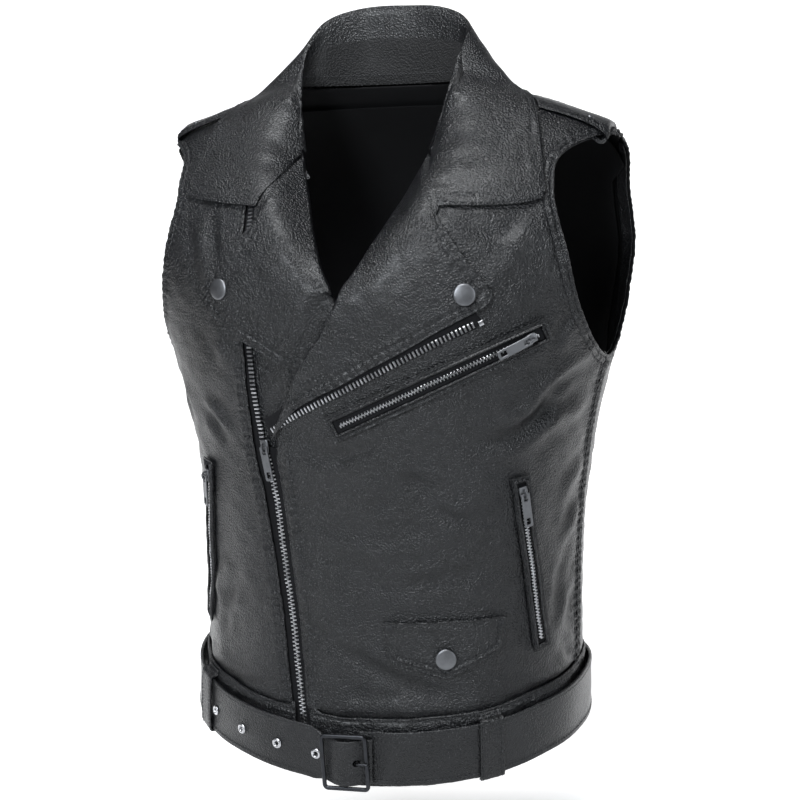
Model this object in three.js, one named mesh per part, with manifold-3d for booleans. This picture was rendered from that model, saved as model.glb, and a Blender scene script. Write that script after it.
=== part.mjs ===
// Sleeveless leather biker vest, millimetres, +Z up, worn front facing -Y, +X the wearer's left.
// The origin is on the centre plane at the height where the shoulder seams meet the neck.
import * as THREE from "three";
import { mergeVertices } from "three/addons/utils/BufferGeometryUtils.js";
import Module from "manifold-3d";

const wasm = await Module();
wasm.setup();

// Leather and lining thicknesses, and the clear distance kept between pieces
const LEATHER = 1.8;
const DOUBLE_LEATHER = 2.4;
const LINING = 1.0;
const TAPE = 1.0;
const GAP = 0.3;
const SEAM_GAP = 0.45;
const LAYER_GAP = 0.7;

// Mesh sizes of the cloth sheets
const CELL_ROUND = 24;
const CELL_UP = 32.5;
const SHOULDER_CELL = 12;
const SHOULDER_FROM = -120;
const LOWEST_ROW = -640;
const LINING_CELL = 48;
const rowsFrom = (start, step, count) => Array.from({ length: count }, (_, i) => start + i * step);
const sheetRows = (coarser) => [
  ...rowsFrom(LOWEST_ROW, CELL_UP * coarser, 16 / coarser),
  ...rowsFrom(SHOULDER_FROM, SHOULDER_CELL * coarser, 12 / coarser),
];
const ROW_LINES = sheetRows(1);
const LINING_LINES = sheetRows(2);

// Horizontal sections of the body: half width, centre, front and back reach, corner squareness
const BODY_COLUMNS = ["z", "halfWidth", "centreY", "frontY", "backY", "squareFront", "squareBack"];
const BODY_ROWS = [
  [-640, 182, -8, -143, 103, 2.2, 2.3],
  [-560, 180, 0, -138, 104, 2.25, 2.3],
  [-500, 178.5, 6, -130, 105, 2.25, 2.3],
  [-440, 178, 13, -125, 109, 2.25, 2.3],
  [-380, 180.5, 19, -123, 116, 2.25, 2.3],
  [-320, 187, 24, -125, 123, 2.25, 2.3],
  [-260, 200, 26, -128, 128, 2.25, 2.3],
  [-200, 221, 25, -127, 129, 2.1, 2.4],
  [-150, 233, 24, -118, 124, 2.05, 2.5],
  [-98, 224, 27, -89, 111, 2.1, 2.4],
  [-56, 205, 31, -52, 90, 2, 2.3],
  [-31, 148, 20, -33, 70, 2, 2.2],
  [-9, 82, 8, -24, 52, 2.2, 2.2],
  [20, 60, 0, -16, 46, 2.2, 2.2],
];

// Fold line of the lapels: half distance from the centre, and how far the chest sinks in towards it
const FOLD_COLUMNS = ["z", "x", "sink"];
const FOLD_ROWS = [
  [-640, 0, 0],
  [-186, 0, 0],
  [-160, 14, 8],
  [-130, 30, 22],
  [-100, 44, 30],
  [-70, 56, 27],
  [-50, 61, 19],
  [-30, 65, 9],
  [-10, 70, 0],
  [20, 72, 0],
];
const SINK_WIDTH = 16;

// Armhole seen from the side: an egg about a centre
const ARMHOLE = { y: 10, z: -152, front: 78, back: 64, up: 94, down: 93 };
const ARMHOLE_POINTS = 44;
const FACING_WIDTH = 14;
const FACING_GAP = { front: 1.6, back: 1.5 };

// Hem, waist seam and belt heights at the front, side and back
const WAIST_COLUMNS = ["share", "hem", "seam", "belt"];
const WAIST_ROWS = [
  [0, -600, -541, -574],
  [0.12, -597, -537, -570],
  [0.25, -591, -531, -564],
  [0.37, -583, -524, -556],
  [0.5, -580, -521, -553],
  [1, -583, -524, -556],
];

// Side seam, measured forwards of the widest line
const SEAM_COLUMNS = ["z", "forward"];
const SEAM_ROWS = [
  [-600, 16],
  [-430, 18],
  [-330, 24],
  [-245, 33],
];

// Main zip, wearer's right of the centre: panel edges either side and the chain between them
const ZIP_COLUMNS = ["z", "rightEdge", "chain", "leftEdge"];
const ZIP_ROWS = [
  [-599, -45.5, -37.5, -31],
  [-543, -51, -42.5, -36],
  [-502, -56, -48, -40],
  [-449, -62, -54, -45],
  [-398, -70, -61, -51],
  [-346, -77, -66, -56],
  [-312, -83, -72, -60],
  [-214, -88, -81, -60],
  [-125, -90, -83, -60],
  [-92, -93, -86, -60],
];
const ZIP_TOP = -94;
const ZIP_SPLIT = -312;
const TAPE_HIDDEN = 8;

// A table's row as an object with its columns' names
const named = (columns, row) => Object.fromEntries(columns.map((name, k) => [name, row[k]]));
const records = (columns, rows) => rows.map((row) => named(columns, row));

// Smooth curves through a table, one for each column after the first, which they take as input
function table(columns, rows) {
  const xs = rows.map((row) => row[0]);
  const curves = {};
  columns.slice(1).forEach((name, k) => {
    const ys = rows.map((row) => row[k + 1]);
    const rise = xs.slice(1).map((x, i) => (ys[i + 1] - ys[i]) / (x - xs[i]));
    const slope = ys.map((_, i) => {
      if (i === 0) return rise[0];
      if (i === ys.length - 1) return rise[i - 1];
      if (rise[i - 1] * rise[i] <= 0) return 0;
      const before = xs[i] - xs[i - 1];
      const after = xs[i + 1] - xs[i];
      const w1 = 2 * after + before;
      const w2 = after + 2 * before;
      return (w1 + w2) / (w1 / rise[i - 1] + w2 / rise[i]);
    });
    curves[name] = (value) => {
      const x = Math.min(Math.max(value, xs[0]), xs[xs.length - 1]);
      let i = 0;
      while (i < xs.length - 2 && x >= xs[i + 1]) i += 1;
      const h = xs[i + 1] - xs[i];
      const t = (x - xs[i]) / h;
      const u = 1 - t;
      return u * u * (1 + 2 * t) * ys[i] + t * u * u * h * slope[i]
        + t * t * (3 - 2 * t) * ys[i + 1] - t * t * u * h * slope[i + 1];
    };
  });
  return curves;
}

const body = table(BODY_COLUMNS, BODY_ROWS);
const fold = table(FOLD_COLUMNS, FOLD_ROWS);
const waist = table(WAIST_COLUMNS, WAIST_ROWS);
const zip = table(ZIP_COLUMNS, ZIP_ROWS);
const seamOffset = table(SEAM_COLUMNS, SEAM_ROWS);

function ring(angle, z) {
  const half = body.halfWidth(z);
  const centre = body.centreY(z);
  const front = Math.cos(angle) > 0;
  const power = 2 / (front ? body.squareFront(z) : body.squareBack(z));
  const reach = (front ? body.frontY(z) : body.backY(z)) - centre;
  const x = half * Math.abs(Math.sin(angle)) ** power;
  const y = centre + reach * Math.abs(Math.cos(angle)) ** power;
  return [x, y];
}

// Arc lengths round each half section, from the centre front to the centre back
const ARC_STEPS = 240;
const ARC_RISE = 6;
const ARC_LOW = -642;
const ARC_COUNT = 111;
const arcs = Array.from({ length: ARC_COUNT }, (_, i) => {
  const z = ARC_LOW + i * ARC_RISE;
  const lengths = [0];
  let [px, py] = ring(0, z);
  for (let j = 1; j <= ARC_STEPS; j += 1) {
    const [x, y] = ring((Math.PI * j) / ARC_STEPS, z);
    lengths.push(lengths[j - 1] + Math.hypot(x - px, y - py));
    [px, py] = [x, y];
  }
  return lengths;
});

function arcRow(z) {
  const f = Math.min(Math.max((z - ARC_LOW) / ARC_RISE, 0), ARC_COUNT - 1.0001);
  const i = Math.floor(f);
  return { i, t: f - i };
}

function arcStep(row, j) {
  return arcs[row.i][j] * (1 - row.t) + arcs[row.i + 1][j] * row.t;
}

function arcAt(angle, z) {
  const row = arcRow(z);
  const f = Math.min((angle / Math.PI) * ARC_STEPS, ARC_STEPS - 1e-9);
  const j = Math.floor(f);
  return arcStep(row, j) * (1 - f + j) + arcStep(row, j + 1) * (f - j);
}

function angleAt(arc, z) {
  const row = arcRow(z);
  let low = 0;
  let high = ARC_STEPS;
  while (high - low > 1) {
    const middle = (low + high) >> 1;
    if (arcStep(row, middle) <= arc) low = middle;
    else high = middle;
  }
  const a = arcStep(row, low);
  const b = arcStep(row, high);
  const t = Math.min(Math.max((arc - a) / (b - a), 0), 1);
  return ((low + t) * Math.PI) / ARC_STEPS;
}

const halfGirth = (z) => arcAt(Math.PI, z);
const sideArc = (z) => arcAt(Math.PI / 2, z);

function sinkAt(x, y, z) {
  const depth = Math.min(Math.max((body.centreY(z) - y) / 20, 0), 1);
  const away = Math.max(Math.abs(x) - fold.x(z), 0) / SINK_WIDTH;
  return fold.sink(z) * depth * Math.exp(-away * away);
}

// Charts carry a flat pattern position to the body: arc from the centre front, or from the centre back
function frontChart(s, z) {
  const [x, y] = ring(angleAt(Math.abs(s), z), z);
  return new THREE.Vector3(Math.sign(s) * x, y + sinkAt(x, y, z), z);
}

function backChart(s, z) {
  const [x, y] = ring(angleAt(halfGirth(z) - Math.abs(s), z), z);
  return new THREE.Vector3(-Math.sign(s) * x, y, z);
}

const NUDGE = 1.5;

function lifted(chart, s, z, height) {
  const round = chart(s + NUDGE, z).sub(chart(s - NUDGE, z));
  const up = chart(s, z + NUDGE).sub(chart(s, z - NUDGE));
  return chart(s, z).addScaledVector(round.cross(up).normalize(), height);
}

// Arc position on the front for a distance x from the centre plane
function arcOfX(x, z) {
  const share = Math.min(Math.abs(x) / body.halfWidth(z), 1);
  return Math.sign(x) * arcAt(Math.asin(share ** (body.squareFront(z) / 2)), z);
}

const foldArc = (z) => arcOfX(fold.x(z), z);
const shareAt = (s, z) => Math.abs(s) / halfGirth(z);
const hemZ = (s) => waist.hem(shareAt(s, -560));
const seamZ = (s) => waist.seam(shareAt(s, -560));
const backHemZ = (s) => waist.hem(1 - shareAt(s, -560));
const backSeamZ = (s) => waist.seam(1 - shareAt(s, -560));

function solidMesh(name, positions, colour, roughness, metalness = 0) {
  const geometry = new THREE.BufferGeometry();
  geometry.setAttribute("position", new THREE.Float32BufferAttribute(positions, 3));
  geometry.computeVertexNormals();
  const material = new THREE.MeshStandardMaterial({ color: colour, roughness, metalness });
  const mesh = new THREE.Mesh(geometry, material);
  mesh.name = name;
  return mesh;
}

const vest = new THREE.Group();
const BLACK = 0x1b1b1d;
const LINING_BLACK = 0x101012;
const STEEL = 0xb9bcc0;
const GUNMETAL = 0x55575c;

const leather = (name, positions) => vest.add(solidMesh(name, positions, BLACK, 0.5));
const cloth = (name, positions) => vest.add(solidMesh(name, positions, LINING_BLACK, 0.85));
const steel = (name, positions) => vest.add(solidMesh(name, positions, STEEL, 0.3, 1));
const gunmetal = (name, positions) => vest.add(solidMesh(name, positions, GUNMETAL, 0.45, 1));

// Sheet cut to an outline on a chart, meshed on cells shared by every sheet
function clipLine(points, axis, limit, keepBelow) {
  const kept = [];
  const inside = (p) => (keepBelow ? p[axis] <= limit : p[axis] >= limit);
  points.forEach((p, i) => {
    const q = points[(i + 1) % points.length];
    if (inside(p)) kept.push(p);
    if (inside(p) !== inside(q)) {
      const [a, b] = p[axis] < q[axis] ? [p, q] : [q, p];
      const t = (limit - a[axis]) / (b[axis] - a[axis]);
      const cut = [a[0] + (b[0] - a[0]) * t, a[1] + (b[1] - a[1]) * t];
      cut[axis] = limit;
      kept.push(cut);
    }
  });
  return kept;
}

const areaOf = (points) => points.reduce((sum, p, i) => {
  const q = points[(i + 1) % points.length];
  return sum + (p[0] * q[1] - q[0] * p[1]) / 2;
}, 0);

const SNAP = 1e4;
const keyOf = (p) => `${Math.round(p[0] * SNAP)},${Math.round(p[1] * SNAP)}`;

const wholeCell = (round, rows, j) => round * (rows[j + 1] - rows[j]) * 0.9999;

function flatMesh(outline, round, rows) {
  const points = [];
  const numbers = new Map();
  const faces = [];
  const numberOf = (p) => {
    const key = keyOf(p);
    if (!numbers.has(key)) {
      numbers.set(key, points.length);
      points.push(p);
    }
    return numbers.get(key);
  };
  const ss = outline.map((p) => p[0]);
  const zs = outline.map((p) => p[1]);
  const firstColumn = Math.floor(Math.min(...ss) / round);
  const lastColumn = Math.ceil(Math.max(...ss) / round);
  const lowest = Math.min(...zs);
  const highest = Math.max(...zs);
  for (let i = firstColumn; i < lastColumn; i += 1) {
    const left = clipLine(outline, 0, i * round, false);
    const column = clipLine(left, 0, (i + 1) * round, true);
    for (let j = 0; j < rows.length - 1; j += 1) {
      if (rows[j] > highest || rows[j + 1] < lowest) continue;
      const above = clipLine(column, 1, rows[j], false);
      const cell = clipLine(above, 1, rows[j + 1], true);
      const ids = cell.map(numberOf).filter((id, k, all) => id !== all[(k + 1) % all.length]);
      const corners = ids.map((id) => points[id]);
      if (ids.length < 3 || Math.abs(areaOf(corners)) < 1e-5) continue;
      if (ids.length === 4 && Math.abs(areaOf(corners)) > wholeCell(round, rows, j)) {
        const first = corners.findIndex((p) => p[0] === i * round && p[1] === rows[j]);
        const [a, b, c, d] = [0, 1, 2, 3].map((k) => ids[(first + k) % 4]);
        faces.push([a, b, c], [a, c, d]);
        continue;
      }
      const flat = corners.map((p) => new THREE.Vector2(p[0], p[1]));
      THREE.ShapeUtils.triangulateShape(flat, []).forEach(([a, b, c]) => {
        const turn = areaOf([corners[a], corners[b], corners[c]]);
        faces.push(turn > 0 ? [ids[a], ids[b], ids[c]] : [ids[a], ids[c], ids[b]]);
      });
    }
  }
  return { points, faces };
}

function slab(points, faces, lowPoint, highPoint) {
  const low = points.map(lowPoint);
  const high = points.map(highPoint);
  const edges = new Set();
  faces.forEach(([a, b, c]) => [[a, b], [b, c], [c, a]].forEach((e) => edges.add(e.join())));
  const out = [];
  const put = (...corners) => corners.forEach((p) => out.push(p.x, p.y, p.z));
  faces.forEach(([a, b, c]) => {
    put(high[a], high[b], high[c]);
    put(low[a], low[c], low[b]);
  });
  edges.forEach((edge) => {
    const [a, b] = edge.split(",").map(Number);
    if (edges.has(`${b},${a}`)) return;
    put(low[a], low[b], high[b]);
    put(low[a], high[b], high[a]);
  });
  return out;
}

function sheet({ chart = frontChart, outline, low, high, round = CELL_ROUND, rows = ROW_LINES }) {
  const turned = areaOf(outline) > 0 ? outline : [...outline].reverse();
  const { points, faces } = flatMesh(turned, round, rows);
  const value = (height, p) => (typeof height === "function" ? height(p[0], p[1]) : height);
  return slab(
    points,
    faces,
    (p) => lifted(chart, p[0], p[1], value(low, p)),
    (p) => lifted(chart, p[0], p[1], value(high, p)),
  );
}

// Solid through a row of four-sided or many-sided sections, open ended or closed round
function loft(sections, closed = false) {
  const count = sections[0].length;
  const out = [];
  const put = (...corners) => corners.forEach((p) => out.push(p.x, p.y, p.z));
  const last = closed ? sections.length : sections.length - 1;
  for (let i = 0; i < last; i += 1) {
    const a = sections[i];
    const b = sections[(i + 1) % sections.length];
    for (let j = 0; j < count; j += 1) {
      const k = (j + 1) % count;
      put(a[j], a[k], b[k]);
      put(a[j], b[k], b[j]);
    }
  }
  if (!closed) {
    const ends = [[sections[0], true], [sections[sections.length - 1], false]];
    ends.forEach(([section, first]) => {
      const half = count / 2;
      for (let j = 0; j < half - 1; j += 1) {
        const quad = [section[j], section[j + 1], section[count - 2 - j], section[count - 1 - j]];
        const [a, b, c, d] = first ? [...quad].reverse() : quad;
        put(a, b, c);
        put(a, c, d);
      }
    });
  }
  return out;
}

// Turns a lofted list round when its faces point inwards
function faceOut(positions) {
  let volume = 0;
  for (let i = 0; i < positions.length; i += 9) {
    const [ax, ay, az, bx, by, bz, cx, cy, cz] = positions.slice(i, i + 9);
    volume += ax * (by * cz - bz * cy) + ay * (bz * cx - bx * cz) + az * (bx * cy - by * cx);
  }
  if (volume > 0) return positions;
  const turned = [];
  for (let i = 0; i < positions.length; i += 9) {
    const p = positions.slice(i, i + 9);
    turned.push(p[0], p[1], p[2], p[6], p[7], p[8], p[3], p[4], p[5]);
  }
  return turned;
}

const mix = (a, b, t) => a + (b - a) * t;
const steps = (count) => Array.from({ length: count + 1 }, (_, i) => i / count);
const smooth = (t) => {
  const u = Math.min(Math.max(t, 0), 1);
  return u * u * (3 - 2 * u);
};

function armholePoint(share) {
  const turn = share * 2 * Math.PI;
  const y = ARMHOLE.y - Math.sin(turn) * (Math.sin(turn) > 0 ? ARMHOLE.front : ARMHOLE.back);
  const z = ARMHOLE.z - Math.cos(turn) * (Math.cos(turn) > 0 ? ARMHOLE.down : ARMHOLE.up);
  const centre = body.centreY(z);
  const front = y < centre;
  const reach = Math.abs((front ? body.frontY(z) : body.backY(z)) - centre);
  const power = front ? body.squareFront(z) : body.squareBack(z);
  const share2 = Math.min(Math.abs(y - centre) / reach, 1);
  const angle = Math.acos(share2 ** (power / 2));
  return [arcAt(front ? angle : Math.PI - angle, z), z];
}

// Armhole runs from its lowest point forwards and up to the shoulder, then back down
const armhole = steps(ARMHOLE_POINTS).map(armholePoint);
const seamArc = (z) => sideArc(z) - seamOffset.forward(z);
const seamIndex = armhole.findIndex(([s, z], i) => i > 0 && s < seamArc(z));
const shoulderIndex = armhole.findIndex(([s, z], i) => i > 6 && s > sideArc(z));
const armLow = mix(armhole[seamIndex - 1][1], armhole[seamIndex][1], 0.5);
const frontArmhole = armhole.slice(seamIndex, shoulderIndex);
const backArmhole = armhole.slice(shoulderIndex).concat(armhole.slice(1, seamIndex));
const armTop = frontArmhole[frontArmhole.length - 1][1];
const NECK_Z = -11;

const along = (from, to, count, make) => steps(count).map((t) => make(mix(from, to, t)));
const mirrored = (points) => points.map(([s, z]) => [-s, z]);

// Front panels
const neckEdge = [[-20, 77], [-34, 70], [-50, 63.5], [-66, 58.5]].map(([z, x]) => [arcOfX(x, z), z]);
const shoulderEdge = along(armTop + 1, NECK_Z - 1, 18, (z) => [sideArc(z) - SEAM_GAP, z]);
const sideEdge = along(seamZ(232) + GAP, armLow, 22, (z) => [seamArc(z) - SEAM_GAP, z]);
const leftRoll = [[-14, -212], [-37, -245], [-46, -266], [-58, -290], [-63, -304]];
const foldEdge = along(-80, -186, 7, (z) => [foldArc(z), z]);
const leftWaist = (s) => [s, seamZ(s) + GAP];

const leftOutline = [
  ...along(zip.leftEdge(-543), seamArc(-524) - GAP, 16, leftWaist),
  ...sideEdge.slice(1),
  ...frontArmhole,
  ...shoulderEdge,
  ...neckEdge,
  ...foldEdge,
  ...leftRoll,
  ...along(-330, -530, 7, (z) => [zip.leftEdge(z), z]),
];
leather("front_left", sheet({ outline: leftOutline, low: -LEATHER, high: 0 }));

const rightOutline = [
  ...along(zip.rightEdge(-543), -(seamArc(-524) - GAP), 12, leftWaist),
  ...mirrored(sideEdge.slice(1)),
  ...mirrored(frontArmhole),
  ...mirrored(shoulderEdge),
  ...mirrored(neckEdge),
  [-foldArc(-80), -80],
  [-foldArc(-89), -89],
  [zip.rightEdge(-92) - 1, -89],
  ...along(-100, -530, 14, (z) => [zip.rightEdge(z), z]),
];
leather("front_right", sheet({ outline: rightOutline, low: -LEATHER, high: 0 }));

// Under-lap behind the main zip, reaching to the right lapel's fold
const UNDERLAP_LOW = -6.9;
const UNDERLAP_FOOT = -330;
const underlapOutline = [
  ...along(-96, UNDERLAP_FOOT, 9, (z) => [zip.rightEdge(z) + 3, z]),
  [-24, UNDERLAP_FOOT],
  [-8, -262],
  [-1, -212],
  ...along(-186, -96, 6, (z) => [-foldArc(z), z]),
];
leather("underlap_right", sheet({
  outline: underlapOutline,
  low: UNDERLAP_LOW,
  high: UNDERLAP_LOW + LEATHER,
}));

// Back panel and its lining
const toBack = ([s, z]) => [-(halfGirth(z) - s), z];
const backSide = along(backSeamZ(254) + GAP, armLow, 22, (z) => toBack([seamArc(z) + SEAM_GAP, z]));
const backHole = [...backArmhole].reverse().map(toBack);
const backShoulder = along(armTop + 1, NECK_Z, 18, (z) => toBack([sideArc(z) + SEAM_GAP, z]));
const backHalf = [...backSide, ...backHole, ...backShoulder];
const backWaist = along(-backSide[0][0], backSide[0][0], 24, (s) => [s, backSeamZ(s) + GAP]);
const backOutline = [
  ...backWaist.slice(1, -1),
  ...backHalf,
  ...mirrored([...backHalf].reverse()),
];
leather("back_panel", sheet({ chart: backChart, outline: backOutline, low: -LEATHER, high: 0 }));

const LINING_HANG = 3.8;
const LINING_LOW = -LEATHER - LINING_HANG - LINING;
const insetHalf = [
  ...along(-505, armLow - 18, 8, (z) => toBack([seamArc(z) + 6, z])),
  ...backHole.filter(([s, z]) => s > -252 && z < -96).map(([s, z]) => {
    const off = Math.max(0, 1 - (z - armLow) / 60);
    return [s + FACING_WIDTH + 3 + 6 * off, z - 14 * off];
  }),
  ...along(-84, -26, 3, (z) => toBack([sideArc(z) + 27, z])),
];
const liningOutline = [...insetHalf, ...mirrored([...insetHalf].reverse())];
cloth("lining_back", sheet({
  chart: backChart,
  outline: liningOutline,
  low: LINING_LOW,
  high: LINING_LOW + LINING,
  round: LINING_CELL,
  rows: LINING_LINES,
}));

// Armhole facings inside each armhole, joined at the shoulder and under the arm
function inset(chart, line, width) {
  return line.map(([s, z], i) => {
    const stretch = chart(s, z + 1).distanceTo(chart(s, z - 1)) / 2;
    const [sa, za] = line[Math.max(i - 1, 0)];
    const [sb, zb] = line[Math.min(i + 1, line.length - 1)];
    const [ds, dz] = [sb - sa, (zb - za) * stretch];
    const length = Math.hypot(ds, dz);
    return [s - (dz / length) * width, z + ((ds / length) * width) / stretch];
  });
}
const frontLine = frontArmhole.slice(0, -4);
const backLine = backHole.slice(1, -1);
const frontFacing = [...frontLine, ...inset(frontChart, frontLine, FACING_WIDTH).reverse()];
const backFacing = [...backLine, ...inset(backChart, backLine, -FACING_WIDTH).reverse()];
const FACINGS = [
  ["front_left", frontChart, frontFacing],
  ["front_right", frontChart, mirrored(frontFacing)],
  ["back_left", backChart, backFacing],
  ["back_right", backChart, mirrored(backFacing)],
];
FACINGS.forEach(([where, chart, outline]) => {
  const high = -LEATHER - (chart === frontChart ? FACING_GAP.front : FACING_GAP.back);
  leather(`armhole_facing_${where}`, sheet({ chart, outline, low: high - LINING, high }));
});

// Waistband in three lengths, its ends at the main zip and the side seams
const BAND_LOW = -1.2;
const BAND_HIGH = 1.4;
const bandSide = seamArc(-550);
const bandRows = (from, to, arc) => along(from, to, 3, (z) => [arc(z), z]);
const leftSideUp = bandRows(hemZ(bandSide), seamZ(bandSide) - GAP, (z) => seamArc(z) - SEAM_GAP);
const backSideUp = leftSideUp.map(([, z]) => [halfGirth(z) - seamArc(z) - SEAM_GAP, z]);
const bandOutline = (from, to, count, up) => [
  ...along(from, to, count, (s) => [s, hemZ(s)]).slice(0, -1),
  ...up,
  ...along(to, from, count, (s) => [s, seamZ(s) - GAP]).slice(1),
];
const backBand = along(-backSideUp[0][0], backSideUp[0][0], 24, (s) => s);
const bands = [
  ["waistband_left", frontChart, bandOutline(zip.leftEdge(-570), bandSide, 16, leftSideUp)],
  ["waistband_right", frontChart, bandOutline(zip.rightEdge(-570), -bandSide, 12, mirrored(leftSideUp))],
  ["waistband_back", backChart, [
    ...backBand.slice(1, -1).map((s) => [s, backHemZ(s)]),
    ...backSideUp,
    ...backBand.slice(1, -1).reverse().map((s) => [s, backSeamZ(s) - GAP]),
    ...mirrored(backSideUp).reverse(),
  ]],
];
const BAND_LINES = [-620, -560, -500];
bands.forEach(([name, chart, outline]) => {
  leather(name, sheet({ chart, outline, low: BAND_LOW, high: BAND_HIGH, rows: BAND_LINES }));
});

// Ribbon along a path of pattern positions, with its width and heights
function ribbon(path, left, right, low, high, chart = frontChart) {
  return faceOut(loft(path.map(([s, z], i) => {
    const [sa, za] = path[Math.max(i - 1, 0)];
    const [sb, zb] = path[Math.min(i + 1, path.length - 1)];
    const length = Math.hypot(sb - sa, zb - za);
    const across = [-(zb - za) / length, (sb - sa) / length];
    const point = (w, h) => lifted(chart, s + across[0] * w, z + across[1] * w, h);
    return [point(left, low), point(right, low), point(right, high), point(left, high)];
  })));
}

// Main zip tapes: the teeth stand on their facing edges
const TAPE_DEPTH = 1.3;
const TAPE_LOW = -LEATHER - TAPE_DEPTH - TAPE;
function zipTape(from, to, count, near, far) {
  return faceOut(loft(along(from, to, count, (z) => {
    const a = near(z);
    const b = far(z);
    return [
      lifted(frontChart, a, z, TAPE_LOW),
      lifted(frontChart, b, z, TAPE_LOW),
      lifted(frontChart, b, z, TAPE_LOW + TAPE),
      lifted(frontChart, a, z, TAPE_LOW + TAPE),
    ];
  })));
}
const HALF_CHAIN = 0.5;
cloth("zip_tape_right", zipTape(-597, ZIP_TOP, 26,
  (z) => zip.rightEdge(z) - TAPE_HIDDEN,
  (z) => zip.chain(z) - HALF_CHAIN));
cloth("zip_tape_left", zipTape(-597, ZIP_SPLIT, 15,
  (z) => zip.chain(z) + HALF_CHAIN,
  (z) => zip.leftEdge(z) + TAPE_HIDDEN));

// Open half of the left tape, lying under the edge of the left lapel
const openTeeth = [
  [-62, -297], [-33, -279], [4, -260], [30, -246.5], [54, -234], [86, -218], [118, -203],
];
cloth("zip_tape_left_open", ribbon(openTeeth, 14, 0, LAYER_GAP, LAYER_GAP + TAPE));

// Lapels, folded out along the roll lines
function distanceTo(path, s, z) {
  let best = Infinity;
  for (let i = 0; i < path.length - 1; i += 1) {
    const [ax, ay] = path[i];
    const [bx, by] = path[i + 1];
    const [dx, dy] = [bx - ax, by - ay];
    const t = Math.min(Math.max(((s - ax) * dx + (z - ay) * dy) / (dx * dx + dy * dy), 0), 1);
    best = Math.min(best, Math.hypot(s - ax - dx * t, z - ay - dy * t));
  }
  return best;
}
const LAPEL_LIFT = 2.2;
const ROLL_WIDTH = 9;
const gorgeFold = [arcOfX(56.5, -71), -71];
const lapelFold = along(-73, -186, 8, (z) => [foldArc(z), z]);
const leftRollLine = [...lapelFold, ...leftRoll];
const ROLL_FOOT = -225;
const ROLL_LIFT = 1.9;
function leftLapelHeight(s, z) {
  const settled = z < ROLL_FOOT ? 1 : smooth(distanceTo(leftRollLine, s, z) / ROLL_WIDTH);
  return mix(ROLL_LIFT, LAPEL_LIFT, settled);
}
const leftLapelOutline = [
  ...leftRollLine,
  [-39, -276], [-18, -263], [4, -252], [30, -237.5], [54, -225], [86, -207], [110, -195],
  [121, -189.5], [126.5, -184], [127, -178], [121, -169.5],
  [105, -151], [88, -129], [74.5, -113.5], [69, -101], [61, -84], gorgeFold,
];
leather("lapel_left", sheet({
  outline: leftLapelOutline,
  low: leftLapelHeight,
  high: (s, z) => leftLapelHeight(s, z) + LEATHER,
}));

const UNDER_HEIGHT = -LEATHER - LAYER_GAP - LEATHER;
const DIP_WIDTH = 16;
const rollPath = [[0, -180], ...leftRoll];
function rollX(z) {
  const i = Math.max(rollPath.findIndex(([, below]) => below < z), 1);
  const [sa, za] = rollPath[i - 1];
  const [sb, zb] = rollPath[i];
  return mix(sa, sb, (z - za) / (zb - za));
}
function rightLapelHeight(s, z) {
  const clear = z > -178 ? DIP_WIDTH : rollX(z) - 7 - s;
  return mix(UNDER_HEIGHT, 1.7, smooth(clear / DIP_WIDTH));
}
const rightLapelOutline = [
  [-gorgeFold[0], gorgeFold[1]],
  ...mirrored(lapelFold),
  [-2, -212], [-9, -240], [-20, -253],
  [-37, -244], [-70, -226.5], [-103, -210], [-124, -194],
  [-131, -187.5], [-133.5, -182], [-131, -177],
  [-94, -141], [-74.5, -113.5], [-69, -101], [-61, -84],
];
leather("lapel_right", sheet({
  outline: rightLapelOutline,
  low: rightLapelHeight,
  high: (s, z) => rightLapelHeight(s, z) + LEATHER,
  round: 8,
  rows: along(-268, -56, 18, (z) => z),
}));

// Collar: stand, fold and leaf through matching rows, the wearer's-right fold drawn in a little
const COLLAR_COLUMNS = [
  "seamX", "seamY", "seamZ", "foldLeftX", "foldRightX", "foldY", "foldZ",
  "edgeX", "edgeY", "edgeZ", "bulge", "rightRise",
];
const COLLAR_ROWS = [
  [0, 52, -9.5, 0, 0, 50, 56, 0, 76, -24, 5, 0],
  [28, 50, -9.5, 28, 27, 49, 55, 34, 75, -25, 5, 0],
  [52, 41, -9.5, 56, 48, 41, 50, 66, 69, -28, 5, 0],
  [69, 28, -9.5, 73, 61, 31, 41, 96, 57, -31, 6, 0],
  [78, 17, -9.5, 75, 68, 22, 28, 118, 38, -30, 6, 0],
  [79, 4, -11, 71, 71, 14, 15, 131, 15, -29, 7, 0],
  [76, -9, -18, 69, 69, 4.6, 0, 140, -6, -47, 7, 0],
  [72, -17, -29, 66, 66, -9, -19, 148.5, -28, -69, 7, 0],
  [68, -21, -37, 64.5, 64.5, -14, -28, 154.5, -46, -87, 7, 2],
  [65.5, -24.5, -44, 63, 63, -18.5, -37, 158, -56, -99, 6, 5],
  [63.5, -27.5, -51, 61.6, 61.6, -22.6, -44.5, 159.5, -61, -107, 5, 8],
  [62, -30, -56, 60.4, 60.4, -26, -50.5, 154, -66, -111, 5, 8.5],
  [60.8, -32.5, -60, 59.2, 59.2, -29, -55.5, 128, -80, -111.5, 5, 6.5],
  [59.5, -34.5, -64, 58.2, 58.2, -31.5, -60, 102, -88, -111.5, 5, 4],
  [58.6, -36, -67, 57.4, 57.4, -33.5, -63.5, 78.5, -92, -110.5, 4, 1],
];
const COLLAR_BETWEEN = 2;
const LEAF_CLEAR = 3.2;
const LEAF_NEAR = 2.7;
const COLLAR_PLY = 1.9;
const FOLD_RADIUS = 2.6;

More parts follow.
